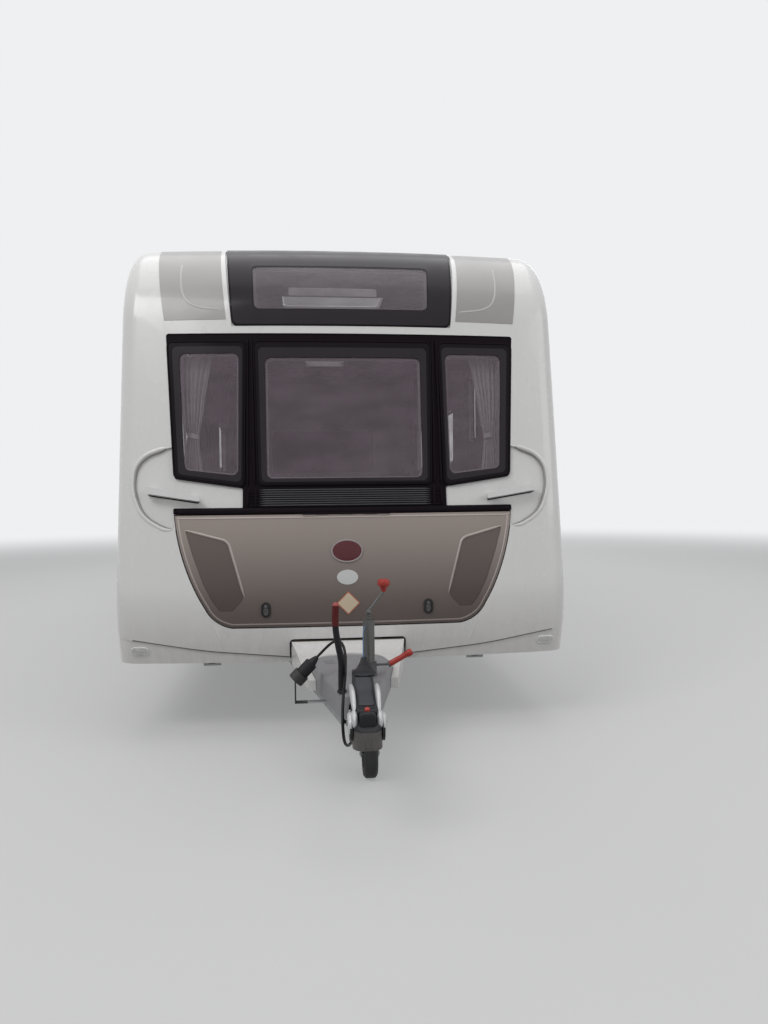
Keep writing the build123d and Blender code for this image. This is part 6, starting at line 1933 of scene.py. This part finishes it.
@dataclass
class Hitch:
    """What dresses the coupling, the handbrake and the jockey wheel.

    Profiles are rows of distance along an axis and radius.
    """

    handle_line: tuple[Pair, ...] = (
        (-3.616, 0.482), (-3.475, 0.512), (-3.355, 0.552), (-3.275, 0.545), (-3.195, 0.520),
    )
    panel: tuple[Pair, ...] = (
        (-0.028, -3.580), (0.028, -3.580), (0.033, -3.480), (0.026, -3.392), (-0.026, -3.392),
        (-0.033, -3.480),
    )
    panel_corner: float = 0.012
    panel_slab: Triple = (0.0035, -0.004, 0.002)
    indicator: Pair = (0.0, -3.606)
    indicator_half: Pair = (0.0095, 0.0095)
    indicator_steps: Steps = ((1.0, -0.002), (1.0, 0.004), (0.7, 0.007), (0.3, 0.008))
    step: tuple[Pair, ...] = ((-0.030, -3.592), (0.030, -3.592))
    step_section: Pair = (0.008, 0.003)
    step_taper: float = 0.006
    blade: tuple[Pair, ...] = (
        (-3.610, 0.452), (-3.585, 0.487), (-3.530, 0.512), (-3.465, 0.520), (-3.415, 0.512),
    )
    blade_ends: Pair = (0.06, 0.10)
    blade_ease: float = 0.6
    blade_half: Pair = (0.0095, 0.023)
    blade_power: float = 2.6
    blade_spread: Pair = (0.041, 0.006)
    housing: Triple = (0.0425, -3.590, 0.449)
    housing_half: Triple = (0.0135, 0.044, 0.031)
    housing_end: float = 0.05
    housing_power: float = 2.3
    block_half: Pair = (0.0275, 0.016)
    block_power: float = 4.5
    block_foot: float = 0.420
    block_height: float = 0.064
    block_front: float = -3.626
    block_lean: float = 0.010
    block_ends: int = 8
    neck_start: Triple = (0.006, -3.392, 0.546)
    neck_run: Triple = (0.026, 0.385, -0.018)
    neck_half: Pair = (0.015, 0.036)
    neck_height: float = 0.011
    neck_shoulder: float = 0.8
    neck_ease: float = 1.4
    neck_power: float = 3.2
    neck_ends: int = 10
    least_end: float = 0.02
    pad: Pair = (-3.572, 0.432)
    pad_face: float = 0.0575
    pad_half: Pair = (0.050, 0.036)
    pad_steps: Steps = ((1.0, -0.004), (1.0, 0.001), (0.94, 0.0045), (0.80, 0.0070), (0.5, 0.0078))
    screw_half: Pair = (0.010, 0.010)
    screw_steps: Steps = ((1.0, 0.004), (1.0, 0.010), (0.9, 0.011))
    lever: tuple[Triple, ...] = (
        (-0.067, -3.195, 0.444), (-0.067, -3.195, 0.500), (-0.066, -3.195, 0.560), (-0.081, -3.191, 0.625),
        (-0.091, -3.187, 0.700), (-0.087, -3.185, 0.773),
    )
    lever_foot: Pair = (-0.067, -3.194)
    grip_start: float = 0.76
    grip_radius: float = 0.0138
    lever_radii: Steps = ((0.0, 0.0145), (0.4, 0.0140), (0.7, 0.0125), (1.0, 0.0125))
    tip_reach: float = 1.7
    tip_end: float = 0.985
    boot_long: float = 1.3
    boot: Steps = ((0.0185, 0.438), (0.0185, 0.443), (0.0165, 0.447), (0.0145, 0.449))
    crank_top: Triple = (0.122, -2.945, 0.792)
    crank_foot: Triple = (0.058, -2.945, 0.675)
    knob: tuple[Pair, ...] = (
        (0.0, 0.0), (0.0, 0.0090), (0.007, 0.0110), (0.020, 0.0175), (0.026, 0.0245), (0.030, 0.0262),
        (0.040, 0.0262), (0.047, 0.0235), (0.0515, 0.0150), (0.0525, 0.0),
    )
    joint: tuple[Pair, ...] = (
        (0.0, 0.0), (0.0, 0.0125), (0.013, 0.0125), (0.015, 0.0085), (0.021, 0.0085), (0.025, 0.0125),
        (0.032, 0.0145), (0.039, 0.0125), (0.0425, 0.0070), (0.0430, 0.0),
    )
    clamp_from: Triple = (0.138, -2.945, 0.482)
    clamp_to: Triple = (0.234, -2.945, 0.534)
    clamp_grip: tuple[Pair, ...] = (
        (0.004, 0.0), (0.004, 0.0095), (0.012, 0.0125), (0.030, 0.0120), (0.060, 0.0118), (0.088, 0.0120),
        (0.094, 0.0150),
    )
    clamp_end: tuple[Pair, ...] = ((0.001, 0.0150), (0.006, 0.0110), (0.007, 0.0))
    wire: tuple[Triple, ...] = (
        (0.041, -2.968, 0.652), (0.033, -2.985, 0.640), (0.030, -3.000, 0.600), (0.028, -3.030, 0.560),
        (0.026, -3.060, 0.5385),
    )
    wire_diameter: float = 0.0044
    level_half: float = 0.024
    fall: float = 3.0
    fall_width: float = 0.02

    def handle_surface(self, x: Array, y: Array, proud: Array | float = 0.0) -> Array:
        """The handle's upper face: level across, its height read along y and rounded off at its sides."""
        x, y, proud = np.broadcast_arrays(x, y, proud)
        height = np.interp(y, *np.array(self.handle_line).T)
        rounding = self.fall * np.clip(np.abs(x) - self.level_half, 0, None) ** 2 / self.fall_width
        return np.stack([x, y, height + proud - rounding], axis=-1)

    def handle(self) -> None:
        """What lies on the handle's upper face: its panel, the wear indicator and a step."""
        outline = rounded_outline(self.panel, self.panel_corner, per_side=8)
        Piece("handle_panel", Finishes.handle_panel).slab(outline, self.handle_surface, *self.panel_slab)
        Piece("wear_indicator", Finishes.indicator).boss(
            self.indicator, self.indicator_half, self.indicator_steps, self.handle_surface, 40
        )
        line, section = np.linspace(*self.step, 24), dome_profile(*self.step_section)
        Piece("handle_step", Finishes.handle).bead(
            line, section, self.handle_surface, taper=self.step_taper
        )

    def cheeks(self) -> None:
        """The pad housings' silver covers: a tall blade over an oval on each side of the handle."""
        path = eased_path(self.blade, 0.03, 40)
        first, last = self.blade_ends
        share = np.sin(np.linspace(first, np.pi - last, 40)) ** self.blade_ease
        wide, high = self.blade_half
        blade = soft_ring(wide * share, high * share, self.blade_power, 24)
        spread = self.blade_spread[0] + self.blade_spread[1] * np.linspace(0, 1, 40)
        turn = np.linspace(self.housing_end, np.pi - self.housing_end, 28)
        x, y, z = self.housing
        wide, long, high = self.housing_half
        ring = soft_ring(wide * np.sin(turn), high * np.sin(turn), self.housing_power, 28)
        housing = upright(ring, x, y - long * np.cos(turn), z)
        for side, name in SIDES:
            Piece(f"coupling_blade_{name}", Finishes.silver_pad).skin(
                upright(blade, side * spread, path[:, 0], path[:, 1]), 40, capped=True
            )
            Piece(f"pad_housing_{name}", Finishes.silver_pad).skin(
                housing * np.array([side, 1, 1]), 40, capped=True
            )
            surface = side_surface(side, self.pad_face)
            Piece(f"pad_cover_{name}", Finishes.silver_pad).boss(
                self.pad, self.pad_half, self.pad_steps, surface, 56
            )
            Piece(f"pad_screw_{name}", Finishes.zinc_tube).boss(
                self.pad, self.screw_half, self.screw_steps, surface, 6
            )

    def front_block(self) -> None:
        """The handle's black front below the indicator: rounded sections that narrow downwards."""
        rise = np.linspace(0, 1, 16)
        share = np.sqrt(np.clip(1 - (2 * rise - 1) ** self.block_ends, self.least_end, 1))
        ring = soft_ring(self.block_half[0] * share, self.block_half[1] * share, self.block_power, 40)
        z = np.broadcast_to((self.block_foot + self.block_height * rise)[:, None], ring.shape[:2])
        y = self.block_front + self.block_lean * (rise[:, None] - 1) ** 2 + ring[..., 1]
        Piece("handle_front", Finishes.handle).skin(np.stack([ring[..., 0], y, z], axis=-1), 40, capped=True)

    def neck(self) -> None:
        """The handle's rear: shoulders that narrow to a neck as they run back over the cover."""
        run = np.linspace(0, 1, 30)
        slim, extra = self.neck_half
        half = slim + extra * (1 - np.clip(run / self.neck_shoulder, 0, 1)) ** self.neck_ease
        share = np.sqrt(np.clip(1 - (2 * run - 1) ** self.neck_ends, self.least_end, 1))
        ring = soft_ring(half * share, self.neck_height * share, self.neck_power, 32)
        places = (start + reach * run for start, reach in zip(self.neck_start, self.neck_run))
        Piece("handle_neck", Finishes.handle).skin(upright(ring, *places), 40, capped=True)

    def breakaway_wire(self) -> None:
        """The thin blue wire that is tied from the jockey tube's collar down to the handle."""
        line = eased_path(self.wire, 0.05, 60)
        wire = Piece("breakaway_wire", Finishes.blue_wire).tube(line, self.wire_diameter / 2, 12)

    def handbrake(self) -> None:
        """The handbrake's lever with its red grip and domed tip, and the boot at its foot."""
        lever = eased_path(self.lever, 0.04, 90)
        part = int(len(lever) * self.grip_start)
        radius = np.interp(np.linspace(0, 1, part + 1), *zip(*self.lever_radii))
        Piece("handbrake_lever", Finishes.lever, replaced="handbrake").tube(lever[:part + 1], radius, 20)
        grip = lever[part:]
        Piece("handbrake_grip", Finishes.lever_red).tube(grip, self.grip_radius, 24)
        crown = grip[-1] + np.linspace(0, 1, 12)[:, None] * (grip[-1] - grip[-3]) * self.tip_reach
        dome = self.grip_radius * np.sqrt(1 - np.linspace(0, self.tip_end, 12) ** 2)
        Piece("handbrake_tip", Finishes.lever_tip).tube(crown, dome)
        halves, heights = zip(*self.boot)
        root = [ellipse(*self.lever_foot, half, half * self.boot_long, 40) for half in halves]
        Piece("handbrake_boot", Finishes.bellows).terrace(root, heights, level_surface)

    def build(self) -> None:
        """Makes the handle's details, the wire, the handbrake, and the crank's and clamp's grips."""
        self.handle()
        self.cheeks()
        self.front_block()
        self.neck()
        self.breakaway_wire()
        self.handbrake()
        Piece("crank_knob", Finishes.knob_red).turned(self.knob, self.crank_top, (0.02, 0, 1))
        Piece("crank_joint", Finishes.zinc_tube).turned(self.joint, self.crank_foot, (0, 0, 1))
        along = np.subtract(self.clamp_to, self.clamp_from)
        reach = np.linalg.norm(along)
        profile = [*self.clamp_grip, *((reach + extra, radius) for extra, radius in self.clamp_end)]
        Piece("clamp_grip", Finishes.knob_red).turned(profile, self.clamp_from, along)


@dataclass
class RoofLights:
    """The two opening roof lights: pale frames and smoked domes."""

    lights: tuple[tuple[str, Quad], ...] = (
        ("lounge", (0.0, -0.500, 0.700, 0.500)), ("washroom", (0.0, 2.050, 0.400, 0.400)),
    )
    corner: float = 0.050
    rim: float = 0.033
    foot: float = 0.0005
    edge: Triple = (0.006, 0.008, 0.014)
    lip: float = 0.004
    rise: float = 0.020
    dome_gap: float = 0.0005
    dome_stand: Pair = (0.008, 0.003)
    crown: float = 0.026

    def build(self) -> None:
        """Makes each light's frame and dome."""
        cut, low, high = self.edge
        front, back = (self.rise + stand for stand in self.dome_stand)
        for name, place in self.lights:
            inner = rounded_outline(rectangle(*place), self.corner)
            outer = inset_outline(inner, -self.rim)
            bevel, lip = inset_outline(outer, cut), inset_outline(inner, -self.lip)
            Piece(f"{name}_light_frame", Finishes.white, replaced="roof_lights").border(
                [outer, outer, bevel, lip, inner, inner],
                [self.foot, low, high, self.rise, self.rise, self.foot], roof_surface,
            )
            Piece(f"{name}_light_dome", Finishes.roof_pane).slab(
                inset_outline(inner, self.dome_gap), roof_surface, front, back, self.crown
            )
            LOG.info("roof light %s", name)


@dataclass
class Curtains:
    """The two tied-back curtains behind the side panes, in pleats that tighten at their ties.

    A curtain's point is x = inner + u * (outer - inner), with both edges read by height, and it
    stands behind the surface by depth + amplitude * sin(2 pi * pleats * u + sway).
    """

    heights: tuple[float, ...] = (1.955, 1.870, 1.710, 1.620, 1.550, 1.510, 1.470, 1.390, 1.300)
    inner: tuple[float, ...] = (0.660, 0.686, 0.712, 0.722, 0.735, 0.742, 0.740, 0.730, 0.715)
    outer: tuple[float, ...] = (0.872, 0.864, 0.846, 0.834, 0.814, 0.798, 0.804, 0.818, 0.826)
    pleats: int = 7
    amplitude: float = 0.0125
    depth: float = 0.071
    rows: int = 70
    columns: int = 217
    thickness: float = 0.0009
    length: float = 0.660
    tie_height: float = 1.510
    tie_half: float = 0.012
    tie_slack: float = 0.003
    tie_slope: float = 0.004
    tie_depth: float = 0.005
    rail: Pair = (0.56, 0.895)
    rail_height: float = 1.962
    rail_radius: float = 0.006

    def edges(self, z: Array | float) -> tuple[Array, Array]:
        """The curtain's inner and outer edges at a height."""
        inner, outer = (np.interp(z, self.heights[::-1], edge[::-1]) for edge in (self.inner, self.outer))
        return inner, outer

    def points(self, side: int) -> Array:
        """One curtain's grid, from its rail down."""
        z = np.linspace(self.heights[0], self.heights[-1], self.rows)[:, None]
        u = np.linspace(0, 1, self.columns)[None, :]
        inner, outer = self.edges(z)
        sway = 0.5 * np.sin(3.1 * z * 2 + u * 9.0)
        fold = np.sin(2 * np.pi * self.pleats * u + sway)
        fold = fold * (0.82 + 0.18 * np.sin(17.0 * u + 2.0 * z))
        return FRONT.at(side * (inner + u * (outer - inner)), z + 0 * u, -self.depth - self.amplitude * fold)

    def tie(self, side: int, name: str) -> bpy.types.Object:
        """One curtain's tie: a flat band round its waist."""
        across = np.linspace(0, 2 * np.pi, 64)
        low, high = self.edges(self.tie_height)
        middle, half = (low + high) / 2, (high - low) / 2 + self.tie_slack
        x = side * (middle + half * np.cos(across))
        z = self.tie_height + self.tie_slope * np.cos(across)
        proud = -self.depth + (self.amplitude + self.tie_depth) * np.sin(across)
        band = np.stack([
            FRONT.at(x, z + rise, proud * grow - self.depth * (1 - grow))
            for rise, grow in (
                (-self.tie_half, 1.0), (self.tie_half, 1.0), (self.tie_half, 0.97), (-self.tie_half, 0.97)
            )
        ])
        faces = grid_faces(4, len(across), wrap_rows=True)
        return Piece(f"{name}_curtain_tie", Finishes.curtain_tie).mesh(band, faces, 40)

    def hang(self, side: int, name: str) -> None:
        points = self.points(side)
        u, v = np.meshgrid(np.linspace(0, 0.5, self.columns), np.linspace(0, self.length, self.rows))
        curtain = Piece(f"{name}_curtain", Finishes.curtain, replaced="curtains").mesh(
            points, grid_faces(self.rows, self.columns), uv=np.stack([u, v], axis=-1)
        )
        walls = curtain.modifiers.new("cloth_thickness", "SOLIDIFY")
        walls.thickness = self.thickness
        walls.offset = 0
        x = np.linspace(*self.rail, 24) * side
        rail = Piece(f"{name}_curtain_rail", Finishes.blind_bar).tube(
            FRONT.at(x, self.rail_height, -self.depth), self.rail_radius
        )
        tie = self.tie(side, name)
        LOG.info("curtain %s", name)

    def build(self) -> None:
        """Hangs both curtains."""
        for side, name in SIDES:
            self.hang(side, name)


@dataclass
class Cushions:
    """The lounge's seat and back cushions: foam in woven covers, crowned, with piped seams.

    Each starts as rings of a superellipse along y whose size falls as (1 - |t|^p)^(1/p), is blown up
    a little by a cloth simulation, and is held to the room that it has.
    """

    rooms: tuple[tuple[str, Triple, Triple], ...] = (
        ("nearside_seat_cushion", (0.484, -1.815, 0.901), (0.934, -0.500, 1.030)),
        ("nearside_back_cushion", (0.944, -1.815, 0.901), (1.084, -0.500, 1.320)),
        ("offside_seat_cushion", (-0.934, -1.815, 0.901), (-0.484, -0.255, 1.030)),
        ("offside_back_cushion", (-1.084, -1.815, 0.901), (-0.944, -0.255, 1.320)),
    )
    slack: float = 0.010
    voxel: float = 0.012
    frames: int = 20
    pressure: float = 4.0
    cap: float = 0.012
    margin: float = 0.0005
    fill: float = 0.8
    power: float = 9.0
    ring_power: float = 7.0
    piping: float = 0.0045
    seam_inset: float = 0.021
    seam_corner: float = 0.045

    def start(self, low: Array, high: Array) -> Array:
        """The first form's rings within its room, less its slack."""
        middle, half = (low + high) / 2, (high - low) / 2 - self.slack
        turn = np.linspace(-np.pi / 2, np.pi / 2, 41)
        place = np.sign(turn) * np.abs(np.sin(turn)) ** (2 / self.power)
        size = np.clip(np.cos(turn), 0.004, 1) ** (2 / self.power)
        ring = soft_ring(half[0] * size, half[2] * size, self.ring_power, 72)
        return upright(ring, middle[0], middle[1] + half[1] * place, middle[2])

    def inflate(self, piece: bpy.types.Object, low: Array, high: Array) -> None:
        """Remeshes a cushion, blows it up, and holds it to its room.

        Args:
            piece: The cushion.
            low: Its room's lowest corner.
            high: Its room's highest corner.
        """
        remesh = piece.modifiers.new("even", "REMESH")
        remesh.mode = "VOXEL"
        remesh.voxel_size = self.voxel
        self.apply(piece)
        before = self.places(piece)
        cloth = piece.modifiers.new("cover", "CLOTH")
        cloth.settings.use_pressure = True
        cloth.settings.uniform_pressure_force = self.pressure
        cloth.settings.effector_weights.gravity = 0
        scene = bpy.context.scene
        for frame in range(1, self.frames + 1):
            scene.frame_set(frame)
        self.apply(piece)
        scene.frame_set(1)
        move = self.places(piece) - before
        far = np.linalg.norm(move, axis=1, keepdims=True)
        held = before + move * np.minimum(1, self.cap / np.maximum(far, 1e-9))
        held = np.clip(held, low + self.margin, high - self.margin)
        piece.data.vertices.foreach_set("co", held.astype(np.float32).ravel())
        piece.data.update()

    def apply(self, piece: bpy.types.Object) -> None:
        """Replaces the piece's mesh with what its modifiers make."""
        graph = bpy.context.evaluated_depsgraph_get()
        mesh = bpy.data.meshes.new_from_object(piece.evaluated_get(graph))
        piece.modifiers.clear()
        piece.data = mesh

    def places(self, piece: bpy.types.Object) -> Array:
        """The piece's vertices as an array."""
        flat = np.zeros(len(piece.data.vertices) * 3, dtype=np.float32)
        piece.data.vertices.foreach_get("co", flat)
        return flat.reshape(-1, 3).astype(float)

    def pipe(self, name: str, low: Array, high: Array) -> None:
        """The piping round a cushion's two seams: a round section carried round a rounded outline."""
        corners = np.array([(low[0], low[1]), (high[0], low[1]), (high[0], high[1]), (low[0], high[1])])
        outline = rounded_outline(corners, self.seam_corner, per_side=40)
        outline = inset_outline(outline, self.slack * 0.9)
        turn = np.linspace(0, 2 * np.pi, 12, endpoint=False)
        across = self.piping * np.stack([np.cos(turn), np.sin(turn)], axis=1)
        for part, z in (("upper", high[2] - self.seam_inset), ("lower", low[2] + self.seam_inset)):
            Piece(f"{name}_{part}_piping", Finishes.piping).bead(
                outline, across + np.array([0, z]), level_surface, closed=True
            )

    def build(self) -> None:
        """Makes the four cushions."""
        for name, low, high in self.rooms:
            low, high = np.array(low), np.array(high)
            cushion = Piece(name, Finishes.upholstery).skin(self.start(low, high), 0, capped=True)
            self.inflate(cushion, low, high)
            finer = cushion.modifiers.new("rounder", "SUBSURF")
            finer.levels = finer.render_levels = 1
            cushion.data.shade_smooth()
            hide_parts("cushions")
            self.pipe(name, low, high)
            LOG.info("cushion %s", name)


def dress_frame(nodes: dict[str, bpy.types.Object]) -> None:
    """Gives each of the frame's own nodes its finish and smooths its curved faces.

    Args:
        nodes: The frame's nodes by name.
    """
    for name, node in nodes.items():
        finish = Finishes.galvanised if name.endswith(("_strut", "_leg")) else NODE_FINISHES[name]
        if not node.material_slots:
            node.data.materials.append(None)
        for material_slot in node.material_slots:
            material_slot.link = "OBJECT"
            material_slot.material = finish.material()
        smooth_by_angle(node, 32)
        LOG.info("dressed %s in %s", name, finish.name)


def main() -> None:
    """Builds the scene in order."""
    logging.basicConfig(level=logging.INFO, format="%(name)s: %(message)s")
    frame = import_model()
    Studio().build()
    parts = (
        FrontGlazing(), Sunroof(), LockerLid(), FrontTrim(), Lamps(), SideGlazing(), RoofLights(), Wheels(),
        Hitch(), Curtains(), Cushions(),
    )
    for part in parts:
        part.build()
        LOG.info("built %s", type(part).__name__)
    Cable().build(frame["nodes"])
    dress_frame(frame["nodes"])


if __name__ == "__main__":
    main()
